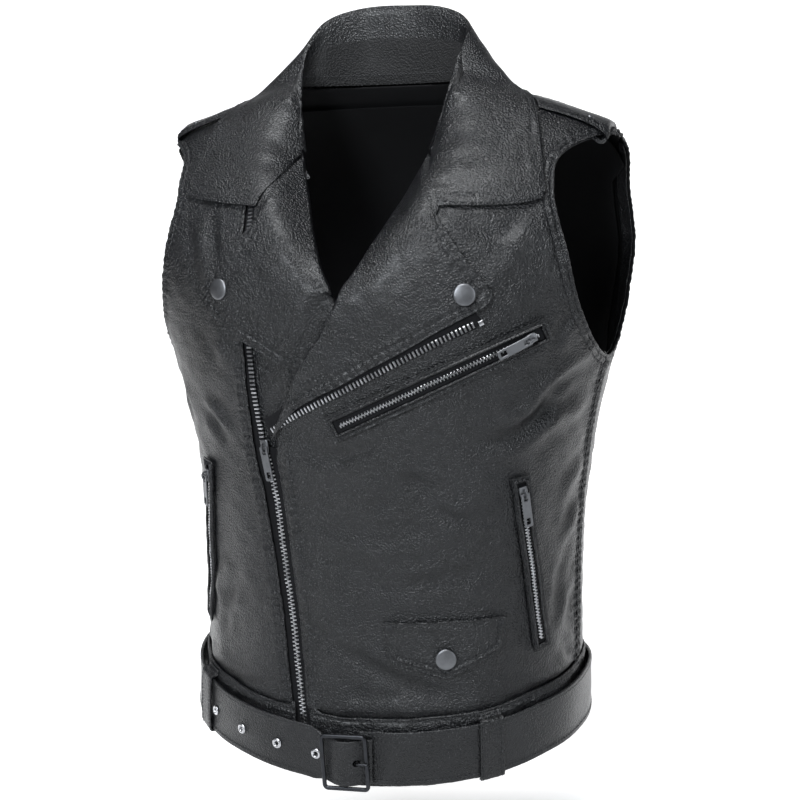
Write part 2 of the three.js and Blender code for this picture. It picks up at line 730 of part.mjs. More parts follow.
// How far a point lies outside the body, worked out from the sections
function outside(p) {
  const centre = body.centreY(p.z);
  const front = p.y < centre;
  const yBack = p.y - (front ? sinkAt(p.x, p.y, p.z) : 0);
  const reach = Math.abs((front ? body.frontY(p.z) : body.backY(p.z)) - centre);
  const power = front ? body.squareFront(p.z) : body.squareBack(p.z);
  const x = Math.abs(p.x) / body.halfWidth(p.z);
  const y = Math.abs(yBack - centre) / reach;
  return (x ** power + y ** power) ** (1 / power) - 1;
}

function pushedOut(point, clear) {
  const p = point.clone();
  for (let turn = 0; turn < 4; turn += 1) {
    const slope = new THREE.Vector3(
      outside(p.clone().setX(p.x + 0.5)) - outside(p.clone().setX(p.x - 0.5)),
      outside(p.clone().setY(p.y + 0.5)) - outside(p.clone().setY(p.y - 0.5)),
      outside(p.clone().setZ(p.z + 0.5)) - outside(p.clone().setZ(p.z - 0.5)),
    );
    const away = outside(p) / slope.length();
    if (away < clear) p.addScaledVector(slope.normalize(), clear - away);
  }
  return p;
}

function spline(rows, index, t) {
  const pick = (i) => rows[Math.min(Math.max(i, 0), rows.length - 1)];
  const [a, b, c, d] = [pick(index - 1), pick(index), pick(index + 1), pick(index + 2)];
  return b.map((_, k) => 0.5 * (2 * b[k] + (c[k] - a[k]) * t
    + (2 * a[k] - 5 * b[k] + 4 * c[k] - d[k]) * t * t
    + (3 * b[k] - a[k] - 3 * c[k] + d[k]) * t * t * t));
}

// The stand starts just inside the neck edge of the front panels
const NECK_COLUMNS = ["z", "x"];
const NECK_ROWS = [[-70, 57], [-66, 58.5], [-50, 63.5], [-34, 70], [-20, 77], [-8, 84]];
const neckLine = table(NECK_COLUMNS, NECK_ROWS);
const STAND_STEP = 1.7;
function neckSeam(side, z) {
  const p = lifted(frontChart, arcOfX(neckLine.x(z - STAND_STEP), z - STAND_STEP), z - STAND_STEP, -0.9);
  return new THREE.Vector3(side * (p.x - STAND_STEP), p.y + 0.6, z);
}

const LEAF_SHARES = [0.12, 0.28, 0.5, 0.76, 1];
function collarPath(row, side) {
  const at = named(COLLAR_COLUMNS, row);
  const stood = new THREE.Vector3(side * at.seamX, at.seamY, at.seamZ);
  const seam = at.seamY > 0 ? stood : neckSeam(side, at.seamZ);
  const top = new THREE.Vector3(side * (side > 0 ? at.foldLeftX : at.foldRightX), at.foldY, at.foldZ);
  const rise = side > 0 ? 0 : at.rightRise;
  const edge = new THREE.Vector3(side * at.edgeX, at.edgeY, at.edgeZ + rise);
  const up = top.clone().sub(seam).normalize();
  const out = edge.clone().sub(seam);
  out.addScaledVector(up, -out.dot(up)).normalize();
  const stand = top.clone().addScaledVector(up, -FOLD_RADIUS);
  const crest = top.clone().addScaledVector(out, FOLD_RADIUS);
  const over = top.clone().addScaledVector(out, 2 * FOLD_RADIUS).addScaledVector(up, -FOLD_RADIUS);
  const path = [seam, stand, crest, over.z < -14 ? pushedOut(over, LEAF_NEAR) : over];
  LEAF_SHARES.forEach((share) => {
    const p = over.clone().lerp(edge, share);
    p.addScaledVector(out, at.bulge * 4 * share * (1 - share));
    path.push(p.z < -12 ? pushedOut(p, mix(LEAF_NEAR, LEAF_CLEAR, share)) : p);
  });
  return path;
}

function collarSections() {
  const rows = [];
  COLLAR_ROWS.forEach((row, i) => {
    if (i === COLLAR_ROWS.length - 1) rows.push(row);
    else for (let k = 0; k < COLLAR_BETWEEN; k += 1) {
      rows.push(spline(COLLAR_ROWS, i, k / COLLAR_BETWEEN));
    }
  });
  rows[1][0] = (rows[0][0] + rows[2][0]) / 2;
  const right = [...rows].reverse().map((row) => collarPath(row, -1));
  const left = rows.slice(1).map((row) => collarPath(row, 1));
  const paths = [...right, ...left];
  return paths.map((path, i) => {
    const before = paths[Math.max(i - 1, 0)];
    const after = paths[Math.min(i + 1, paths.length - 1)];
    const offset = (p, j, way) => {
      const along3 = after[j].clone().sub(before[j]);
      const down = path[Math.min(j + 1, path.length - 1)].clone().sub(path[Math.max(j - 1, 0)]);
      const normal = along3.cross(down).normalize();
      return p.clone().addScaledVector(normal, (way * COLLAR_PLY) / 2);
    };
    const inner = path.map((p, j) => offset(p, j, 1));
    const outer = path.map((p, j) => offset(p, j, -1));
    return [...inner, ...outer.reverse()];
  });
}
leather("collar", faceOut(loft(collarSections())));

// Shoulder height at a plan position, found between the sections
function shoulderZ(x, y) {
  let low = -140;
  let high = -11;
  for (let i = 0; i < 30; i += 1) {
    const middle = (low + high) / 2;
    if (outside(new THREE.Vector3(x, y, middle)) < 0) low = middle;
    else high = middle;
  }
  return (low + high) / 2;
}

// Epaulettes, laid over the shoulder ridge and rolled down at the armhole
const STRAP_COLUMNS = ["x", "centreY", "half", "drop", "rightIn", "rightRise"];
const STRAP_ROWS = [
  [120, 14, 20, 0, 0, 0],
  [148, 16, 21, 0, 0, 1],
  [160, 19, 22, 0, 0, 2.5],
  [174, 22, 23, 0, 1, 4.5],
  [188, 24, 23.5, -0.5, 3, 6],
  [197, 26, 24, -1, 5, 6.5],
  [201, 27, 24, -1, 5.5, 6],
  [204, 27.5, 23.5, 0.5, 6, 4.5],
];
const STRAP_LIFT = 0.85;
const STRAP_START = 134;
const STRAP_FROM_Y = 15;
const STRAP_SLANT = 0.43;
const STRAP_ACROSS = [-1, -0.6, -0.2, 0.2, 0.6, 1];
function epaulette(side) {
  const right = side < 0 ? 1 : 0;
  return faceOut(loft(records(STRAP_COLUMNS, STRAP_ROWS).map((row) => {
    const { centreY, half } = row;
    const x = row.x - right * row.rightIn;
    const drop = row.drop - right * row.rightRise;
    const surface = STRAP_ACROSS.map((w) => {
      const y = centreY + half * w;
      const clear = Math.max(x, STRAP_START + (STRAP_FROM_Y - y) * STRAP_SLANT);
      return new THREE.Vector3(side * clear, y, shoulderZ(Math.min(clear, 205), y) - drop);
    });
    const raised = (p, h) => {
      const q = pushedOut(p, 0);
      const up = new THREE.Vector3(0, 0, 1).lerp(new THREE.Vector3(side * 0.45, 0, 0.9), 0.9);
      return q.addScaledVector(up.normalize(), h);
    };
    const low = surface.map((p) => raised(p, STRAP_LIFT));
    const high = surface.map((p) => raised(p, STRAP_LIFT + DOUBLE_LEATHER));
    return [...low, ...high.reverse()];
  })));
}
leather("epaulette_left", epaulette(1));
leather("epaulette_right", epaulette(-1));

// Waist positions by share of the half girth, so they run right round the back
function waistPoint(share, drop, height) {
  const turned = share > 1 ? share - 2 : share;
  const z = waist.belt(Math.abs(turned)) + drop;
  const reach = halfGirth(z);
  if (Math.abs(turned) < 0.5) return lifted(frontChart, turned * reach, z, height);
  const fromBack = -Math.sign(turned) * (1 - Math.abs(turned)) * reach;
  return lifted(backChart, fromBack, z, height);
}

// Belt: starts under the buckle, goes round by the wearer's left and comes back over the bar
const BELT_HALF = 23;
const BELT_PLY = 3;
const BELT_COLUMNS = ["share", "inside"];
const BELT_ROWS = [
  [0.02, 1.9], [0.04, 1.9], [0.06, 2.2], [0.085, 4], [0.11, 4.7],
  ...along(0.15, 1.85, 44, (share) => [share, 4.7]),
  [1.89, 4.7], [1.93, 4.7], [1.955, 5.2], [1.968, 6.3], [1.98, 8.8], [1.992, 11.8],
  [2.005, 12.8], [2.018, 11.8], [2.03, 8.8], [2.041, 6.4], [2.055, 5.5],
];
const TAIL_NARROW = 3.8;
const BUCKLE_DROP = -2;
const beltSections = records(BELT_COLUMNS, BELT_ROWS).map(({ share, inside }) => {
  const narrow = share > 1.96 ? TAIL_NARROW : 0;
  const half = BELT_HALF - narrow;
  const shift = share > 1.96 ? BUCKLE_DROP : 0;
  return [
    waistPoint(share, shift - half, inside),
    waistPoint(share, shift + half, inside),
    waistPoint(share, shift + half, inside + BELT_PLY),
    waistPoint(share, shift - half, inside + BELT_PLY),
  ];
});

function toManifold(positions) {
  const geometry = new THREE.BufferGeometry();
  geometry.setAttribute("position", new THREE.Float32BufferAttribute(positions, 3));
  const merged = mergeVertices(geometry, 1e-4);
  return new wasm.Manifold(new wasm.Mesh({
    numProp: 3,
    vertProperties: merged.attributes.position.array,
    triVerts: new Uint32Array(merged.index.array),
  }));
}

function fromManifold(solid) {
  const mesh = solid.getMesh();
  const out = [];
  mesh.triVerts.forEach((v) => {
    const k = v * mesh.numProp;
    out.push(mesh.vertProperties[k], mesh.vertProperties[k + 1], mesh.vertProperties[k + 2]);
  });
  return out;
}

function positionsOf(geometry, matrix) {
  const flat = (geometry.index ? geometry.toNonIndexed() : geometry.clone()).applyMatrix4(matrix);
  return Array.from(flat.attributes.position.array);
}

// Local frame on the cloth: X along a pattern direction, Z out of the cloth
function frameAt(origin, ahead, outward) {
  const normal = outward.clone().normalize();
  const along3 = ahead.clone().sub(origin);
  along3.addScaledVector(normal, -along3.dot(normal)).normalize();
  const across = normal.clone().cross(along3);
  return new THREE.Matrix4().makeBasis(along3, across, normal).setPosition(origin);
}

function chartFrame(s, z, height, ds, dz) {
  const origin = lifted(frontChart, s, z, height);
  const outward = lifted(frontChart, s, z, height + 5).sub(origin);
  return frameAt(origin, lifted(frontChart, s + ds, z + dz, height), outward);
}

function waistFrame(share, drop, height) {
  const origin = waistPoint(share, drop, height);
  const outward = waistPoint(share, drop, height + 5).sub(origin);
  return frameAt(origin, waistPoint(share + 0.01, drop, height), outward);
}

const box = (w, d, h, x, y, z) => new THREE.BoxGeometry(w, d, h).translate(x, y, z);
const STILL = new THREE.Matrix4();
const solidBox = (...sizes) => toManifold(positionsOf(box(...sizes), STILL));

const EYELET_COLUMNS = ["share", "drop", "height"];
const EYELET_ROWS = [
  [-0.285, -2, 4.7],
  [-0.207, -1.5, 4.7],
  [-0.127, -1, 4.7],
  [-0.05, -0.5, 5],
];
const HOLE_RADIUS = 3.1;
const ROUND_SIDES = 14;
const upright = new THREE.Matrix4().makeRotationX(Math.PI / 2);

let beltSolid = toManifold(faceOut(loft(beltSections)));
const PRONG_SHARE = 2.0268;
const holes = records(EYELET_COLUMNS, [...EYELET_ROWS, [PRONG_SHARE - 2, BUCKLE_DROP, 10]]);
holes.forEach(({ share, drop, height }) => {
  const drill = new THREE.CylinderGeometry(HOLE_RADIUS, HOLE_RADIUS, 14, ROUND_SIDES);
  const place = waistFrame(share < 0 ? share + 2 : share, drop, height).multiply(upright);
  beltSolid = beltSolid.subtract(toManifold(positionsOf(drill, place)));
});
leather("belt_strap", fromManifold(beltSolid));

// Eyelets, a flange on the belt's face and a barrel through it
const EYELET_PROFILE = [
  [1.9, -2.6], [2.35, -2.6], [2.35, 0.35], [4.4, 0.35], [4.4, 0.9], [3.2, 1.5], [1.9, 1.1],
];
const eyeletShape = () => new THREE.LatheGeometry(
  [...EYELET_PROFILE, EYELET_PROFILE[0]].map(([r, h]) => new THREE.Vector2(r, h)),
  ROUND_SIDES,
);
records(EYELET_COLUMNS, EYELET_ROWS).forEach(({ share, drop, height }, i) => {
  const place = waistFrame(share + 2, drop, height + BELT_PLY).multiply(upright);
  steel(`eyelet_${i + 1}`, faceOut(positionsOf(eyeletShape(), place)));
});

// Buckle: a square frame with a centre bar under the strap, and its prong
const BUCKLE = { share: 0.005, wide: 43, tall: 50, bar: 3.6, thick: 3, low: 10.4, centre: 2.4 };
const buckleFrame = waistFrame(BUCKLE.share, BUCKLE_DROP, BUCKLE.low + BUCKLE.thick / 2);
const outerBox = solidBox(BUCKLE.wide, BUCKLE.tall, BUCKLE.thick, 0, 0, 0);
const opening = [BUCKLE.wide - 2 * BUCKLE.bar, BUCKLE.tall - 2 * BUCKLE.bar];
const centreBar = solidBox(BUCKLE.centre, opening[1] + 2, 1.4, 0, 0, -0.8);
const buckleSolid = outerBox.subtract(solidBox(...opening, 20, 0, 0, 0)).add(centreBar);
const buckleMesh = new THREE.BufferGeometry();
buckleMesh.setAttribute(
  "position",
  new THREE.Float32BufferAttribute(fromManifold(buckleSolid), 3),
);
gunmetal("buckle_frame", positionsOf(buckleMesh, buckleFrame));

const PRONG_PATH = [[1.8, -1.5], [7.4, -2.1], [10.4, 0.4], [12.6, 2.6], [21.3, 2.7]];
const PRONG_HALF = 1;
const prongSections = PRONG_PATH.map(([x, h]) => [
  [-PRONG_HALF, -0.7], [PRONG_HALF, -0.7], [PRONG_HALF, 0.7], [-PRONG_HALF, 0.7],
].map(([w, up]) => new THREE.Vector3(x, w, h + up).applyMatrix4(buckleFrame)));
gunmetal("buckle_prong", faceOut(loft(prongSections)));

// Belt loops, sewn above and below the belt
const LOOP_HALF = 10;
const LOOP_PLY = 1.8;
const LOOP_PATH = [
  [30.5, 2.9], [27.8, 3.1], [25.6, 4.4], [25, 7.6], [22.6, 9.7],
  [0, 9.9], [-22.6, 9.7], [-25, 7.6], [-25.4, 4.4], [-26.2, 3.1], [-27, 2.9],
];
function beltLoop(share, shift) {
  const reach = 488;
  return faceOut(loft(LOOP_PATH.map(([drop, height], i) => {
    const [da, ha] = LOOP_PATH[Math.max(i - 1, 0)];
    const [db, hb] = LOOP_PATH[Math.min(i + 1, LOOP_PATH.length - 1)];
    const length = Math.hypot(db - da, hb - ha);
    const [nd, nh] = [((hb - ha) / length) * LOOP_PLY * 0.5, (-(db - da) / length) * LOOP_PLY * 0.5];
    const lean = shift * (1 - Math.abs(drop) / LOOP_PATH[0][0]) * 0.4;
    const at = (w, way) => waistPoint(share + w / reach, drop + lean + way * nd, height + way * nh);
    return [at(-LOOP_HALF, -1), at(LOOP_HALF, -1), at(LOOP_HALF, 1), at(-LOOP_HALF, 1)];
  })));
}
const LOOP_COLUMNS = ["where", "share", "shift"];
const LOOP_ROWS = [
  ["front_left", 0.2535, -2],
  ["front_right", 1.682, 0],
  ["back_left", 0.74, 0],
  ["back_right", 1.26, 0],
];
records(LOOP_COLUMNS, LOOP_ROWS).forEach(({ where, share, shift }) => {
  leather(`belt_loop_${where}`, beltLoop(share, shift));
});

// Pocket zips: a leather frame round a tape, all on the panel
const POCKET_COLUMNS = ["name", "path", "frameHalf", "windowHalf"];
const POCKET_ROWS = [
  ["chest", [[1, -286], [42, -266.5], [84, -247], [126, -229], [167, -213.5]], 11.5, 6.2],
  ["hand_left", [[152, -342], [156.5, -380], [163, -420], [168, -455], [172.5, -481]], 8.8, 4.4],
  ["hand_right", [[-152, -342], [-156.5, -380], [-163, -420], [-168, -455], [-172.5, -481]], 8.8, 4.4],
];
const WELT_LOW = 0.6;
const WELT_PLY = 1.8;
const POCKET_TAPE_LOW = 0.6;

function extended(path, ends) {
  const [a, b] = [path[0], path[1]];
  const [y, z] = [path[path.length - 2], path[path.length - 1]];
  const step = (from, to) => {
    const length = Math.hypot(to[0] - from[0], to[1] - from[1]);
    return [to[0] + ((to[0] - from[0]) / length) * ends, to[1] + ((to[1] - from[1]) / length) * ends];
  };
  return [step(b, a), ...path.slice(1, -1), step(y, z)];
}

function denser(path, between) {
  const out = [];
  path.slice(0, -1).forEach((p, i) => {
    for (let k = 0; k < between; k += 1) out.push(spline(path, i, k / between));
  });
  return [...out, path[path.length - 1]];
}

function bothSides(path, half) {
  const side = (way) => path.map(([s, z], i) => {
    const [sa, za] = path[Math.max(i - 1, 0)];
    const [sb, zb] = path[Math.min(i + 1, path.length - 1)];
    const length = Math.hypot(sb - sa, zb - za);
    return [s - ((zb - za) / length) * half * way, z + ((sb - sa) / length) * half * way];
  });
  return [...side(1), ...side(-1).reverse()];
}

records(POCKET_COLUMNS, POCKET_ROWS).forEach(({ name, path, frameHalf, windowHalf }) => {
  const outer = bothSides(denser(extended(path, frameHalf - windowHalf + 4), 3), frameHalf);
  const inner = bothSides(denser(extended(path, 4), 3), windowHalf);
  const high = WELT_LOW + WELT_PLY;
  const sections = outer.map(([s, z], i) => {
    const [si, zi] = inner[i];
    return [
      lifted(frontChart, si, zi, WELT_LOW),
      lifted(frontChart, s, z, WELT_LOW),
      lifted(frontChart, s, z, high),
      lifted(frontChart, si, zi, high),
    ];
  });
  leather(`welt_${name}`, faceOut(loft(sections, true)));
  const tapePath = denser(extended(path, 3.4), 3);
  const tapeHalf = windowHalf - 0.6;
  const tapeHigh = POCKET_TAPE_LOW + TAPE;
  cloth(`zip_tape_${name}`, ribbon(tapePath, tapeHalf, -tapeHalf, POCKET_TAPE_LOW, tapeHigh));
});

// Sliders and their pull tabs, each hung on an arch
const SLIDER_COLUMNS = ["name", "s", "z", "toS", "toZ", "base"];
const SLIDER_ROWS = [
  ["main", -72, -310, -66.5, -346, -2.6],
  ["chest", 158, -216.5, 134, -226.6, 2.1],
  ["hand_left", 152.8, -348, 157.6, -382, 2.1],
  ["hand_right", -152.8, -348, -157.6, -382, 2.1],
];
const SLIDER = { long: 12, wide: 8, tall: 2.6, archHalf: 3.4, archWide: 2, archTall: 4, archBar: 1.3 };
const PULL = { reach: 30, wide: 8, thick: 1.3, rim: 1.3, holeHalf: 1.9, holeLong: 5.6, slotLong: 8 };
const pivotHeight = SLIDER.tall + (SLIDER.archTall - SLIDER.archBar) / 2;

function sliderSolid() {
  const arch = SLIDER.tall + SLIDER.archTall / 2 - 0.2;
  const block = solidBox(SLIDER.long, SLIDER.wide, SLIDER.tall, 0, 0, SLIDER.tall / 2);
  const staple = solidBox(2 * SLIDER.archHalf, SLIDER.archWide, SLIDER.archTall + 0.4, 0, 0, arch);
  const inside = 2 * (SLIDER.archHalf - SLIDER.archBar);
  const opening = solidBox(
    inside,
    SLIDER.archWide + 2,
    SLIDER.archTall - SLIDER.archBar,
    0,
    0,
    SLIDER.tall + (SLIDER.archTall - SLIDER.archBar) / 2,
  );
  return block.add(staple.subtract(opening));
}

function pullShape() {
  const { reach, wide, rim, holeHalf, holeLong, slotLong } = PULL;
  const half = wide / 2;
  const shape = new THREE.Shape();
  shape.moveTo(-rim / 2, -half + 1);
  shape.lineTo(-rim / 2 + 1, -half);
  shape.lineTo(reach - 1.5, -half);
  shape.lineTo(reach, -half + 1.5);
  shape.lineTo(reach, half - 1.5);
  shape.lineTo(reach - 1.5, half);
  shape.lineTo(-rim / 2 + 1, half);
  shape.lineTo(-rim / 2, half - 1);
  shape.closePath();
  const cut = (from, to, side) => {
    const hole = new THREE.Path();
    hole.moveTo(from, -side);
    hole.lineTo(from, side);
    hole.lineTo(to, side);
    hole.lineTo(to, -side);
    hole.closePath();
    shape.holes.push(hole);
  };
  cut(rim / 2, rim / 2 + holeLong, holeHalf);
  cut(reach - slotLong, reach - 2.4, 2);
  const plate = new THREE.ExtrudeGeometry(shape, { depth: PULL.thick, bevelEnabled: false });
  return plate.translate(0, 0, -PULL.thick / 2);
}

records(SLIDER_COLUMNS, SLIDER_ROWS).forEach(({ name, s, z, toS, toZ, base }) => {
  const place = chartFrame(s, z, base, toS - s, toZ - z);
  const block = new THREE.BufferGeometry();
  block.setAttribute("position", new THREE.Float32BufferAttribute(fromManifold(sliderSolid()), 3));
  steel(`slider_${name}`, positionsOf(block, place));
  const pivot = place.clone().multiply(new THREE.Matrix4().makeTranslation(0, 0, pivotHeight));
  steel(`pull_${name}`, faceOut(positionsOf(pullShape(), pivot)));
});

// Pocket flap
const flapOutline = [
  [32.8, -454.7], [68, -454.4], [103, -453.8], [137.8, -453], [137.2, -474], [134.5, -481],
  [128, -485.5], [108, -494.5], [90, -502.5], [86.6, -504], [83, -502.8], [62, -496.5],
  [44, -491], [39, -487.5], [36.5, -481],
];
leather("pocket_flap", sheet({ outline: flapOutline, low: 0.7, high: 0.7 + DOUBLE_LEATHER }));

// Domed snap caps
const SNAP_PROFILE = [[0, 0], [8, 0], [8.9, 0.8], [8.9, 1.5], [7.6, 2.2], [4, 2.7], [0, 2.9]];
const lathe = (profile) => new THREE.LatheGeometry(
  profile.map(([r, h]) => new THREE.Vector2(r, h)),
  ROUND_SIDES,
);
const SNAP_COLUMNS = ["name", "s", "z", "height"];
const SNAP_ROWS = [
  ["lapel_left", 105.5, -179, 4.4],
  ["lapel_right", -108, -177, 3.6],
  ["flap", 85.5, -486, 3.5],
];
records(SNAP_COLUMNS, SNAP_ROWS).forEach(({ name, s, z, height }) => {
  const place = chartFrame(s, z, height, 10, 0).multiply(upright);
  gunmetal(`snap_${name}`, faceOut(positionsOf(lathe(SNAP_PROFILE), place)));
});

export default vest;
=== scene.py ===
"""Black leather biker vest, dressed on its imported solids. Patterns are in millimetres, objects in metres."""

from __future__ import annotations

import logging
import math
from collections.abc import Callable, Iterable, Sequence
from dataclasses import dataclass, field
from enum import Enum

import bmesh
import bpy
import numpy as np
from mathutils import Matrix, Vector
from mathutils.geometry import delaunay_2d_cdt


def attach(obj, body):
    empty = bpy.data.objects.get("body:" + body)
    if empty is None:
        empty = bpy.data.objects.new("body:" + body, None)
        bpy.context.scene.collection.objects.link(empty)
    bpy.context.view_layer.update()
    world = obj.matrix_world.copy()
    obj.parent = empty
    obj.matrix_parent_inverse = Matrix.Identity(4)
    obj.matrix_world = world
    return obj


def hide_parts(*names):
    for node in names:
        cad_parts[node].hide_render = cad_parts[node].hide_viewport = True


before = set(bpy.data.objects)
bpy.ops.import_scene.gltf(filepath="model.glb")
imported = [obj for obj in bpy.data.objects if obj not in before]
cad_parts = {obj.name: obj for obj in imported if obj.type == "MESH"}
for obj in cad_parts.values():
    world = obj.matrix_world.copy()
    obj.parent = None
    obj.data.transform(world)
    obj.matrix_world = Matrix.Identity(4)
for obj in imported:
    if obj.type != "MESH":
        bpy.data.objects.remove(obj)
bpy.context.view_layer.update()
LOG = logging.getLogger("vest")
MM = 0.001
Array = np.ndarray
Point = tuple[float, float]
Run = list[Point]


class Side(Enum):
    """Which half of the body a pattern position is measured on."""

    FRONT = "front"
    BACK = "back"


class Held(Enum):
    """How a piece of leather or cloth is held."""

    HUNG = "hung"
    FOLDED = "folded"
    LAID = "laid"
    STRETCHED = "stretched"


# Body sections and pattern tables ------------------------------------------------------------

BODY_COLUMNS = ("z", "half", "centre", "front", "back", "square_front", "square_back")
BODY_ROWS = (
    (-640, 182, -8, -143, 103, 2.2, 2.3),
    (-560, 180, 0, -138, 104, 2.25, 2.3),
    (-500, 178.5, 6, -130, 105, 2.25, 2.3),
    (-440, 178, 13, -125, 109, 2.25, 2.3),
    (-380, 180.5, 19, -123, 116, 2.25, 2.3),
    (-320, 187, 24, -125, 123, 2.25, 2.3),
    (-260, 200, 26, -128, 128, 2.25, 2.3),
    (-200, 221, 25, -127, 129, 2.1, 2.4),
    (-150, 233, 24, -118, 124, 2.05, 2.5),
    (-98, 224, 27, -89, 111, 2.1, 2.4),
    (-56, 205, 31, -52, 90, 2, 2.3),
    (-31, 148, 20, -33, 70, 2, 2.2),
    (-9, 82, 8, -24, 52, 2.2, 2.2),
    (20, 60, 0, -16, 46, 2.2, 2.2),
)
FOLD_COLUMNS = ("z", "x", "sink")
FOLD_ROWS = (
    (-640, 0, 0), (-186, 0, 0), (-160, 14, 8), (-130, 30, 22), (-100, 44, 30),
    (-70, 56, 27), (-50, 61, 19), (-30, 65, 9), (-10, 70, 0), (20, 72, 0),
)
WAIST_COLUMNS = ("share", "hem", "seam", "belt")
WAIST_ROWS = (
    (0, -600, -541, -574), (0.12, -597, -537, -570), (0.25, -591, -531, -564),
    (0.37, -583, -524, -556), (0.5, -580, -521, -553), (1, -583, -524, -556),
)
SEAM_COLUMNS = ("z", "forward")
SEAM_ROWS = ((-600, 16), (-430, 18), (-330, 24), (-245, 33))
ZIP_COLUMNS = ("z", "right_edge", "chain", "left_edge")
ZIP_ROWS = (
    (-599, -45.5, -37.5, -31), (-543, -51, -42.5, -36), (-502, -56, -48, -40),
    (-449, -62, -54, -45), (-398, -70, -61, -51), (-346, -77, -66, -56),
    (-312, -83, -72, -60), (-214, -88, -81, -60), (-125, -90, -83, -60), (-92, -93, -86, -60),
)
NECK_COLUMNS = ("z", "x")
NECK_ROWS = ((-70, 57), (-66, 58.5), (-50, 63.5), (-34, 70), (-20, 77), (-8, 84))

LEATHER = 1.8
SEAM_GAP = 0.45
ARMHOLE_CENTRE = (10.0, -152.0)
ARMHOLE_REACH = {"front": 78.0, "back": 64.0, "up": 94.0, "down": 93.0}


class Curves:
    """Smooth curves through a table with named columns; the first column is the input."""

    def __init__(self, columns: Sequence[str], rows: Sequence[Sequence[float]]) -> None:
        """Works out the slope of each column at each row.

        Args:
            columns: names of the columns, the input's first.
            rows: the table, by rising input.
        """
        data = np.array(rows, float)
        self.at = data[:, 0]
        self.values = {name: data[:, k + 1] for k, name in enumerate(columns[1:])}
        self.slopes = {name: self._slopes(value) for name, value in self.values.items()}

    def _slopes(self, value: Array) -> Array:
        """Slopes that never overshoot the table.

        Args:
            value: one column.

        Returns:
            Its slope at each row.
        """
        step = np.diff(self.at)
        rise = np.diff(value) / step
        slope = np.zeros(len(value))
        slope[0], slope[-1] = rise[0], rise[-1]
        for i in range(1, len(value) - 1):
            if rise[i - 1] * rise[i] > 0:
                w1, w2 = 2 * step[i] + step[i - 1], step[i] + 2 * step[i - 1]
                slope[i] = (w1 + w2) / (w1 / rise[i - 1] + w2 / rise[i])
        return slope

    def read(self, name: str, x: Array | float) -> Array:
        """Reads a column.

        Args:
            name: the column.
            x: inputs, held inside the table.

        Returns:
            The column's values there.
        """
        x = np.clip(np.asarray(x, float), self.at[0], self.at[-1])
        i = np.clip(np.searchsorted(self.at, x, side="right") - 1, 0, len(self.at) - 2)
        h = self.at[i + 1] - self.at[i]
        t = (x - self.at[i]) / h
        u = 1 - t
        y, m = self.values[name], self.slopes[name]
        rising = u * u * (1 + 2 * t) * y[i] + t * u * u * h * m[i]
        return rising + t * t * (3 - 2 * t) * y[i + 1] - t * t * u * h * m[i + 1]


def smooth_step(t: Array | float) -> Array:
    """Eases from 0 to 1.

    Args:
        t: progress, held between 0 and 1.

    Returns:
        The eased progress.
    """
    t = np.clip(t, 0, 1)
    return t * t * (3 - 2 * t)


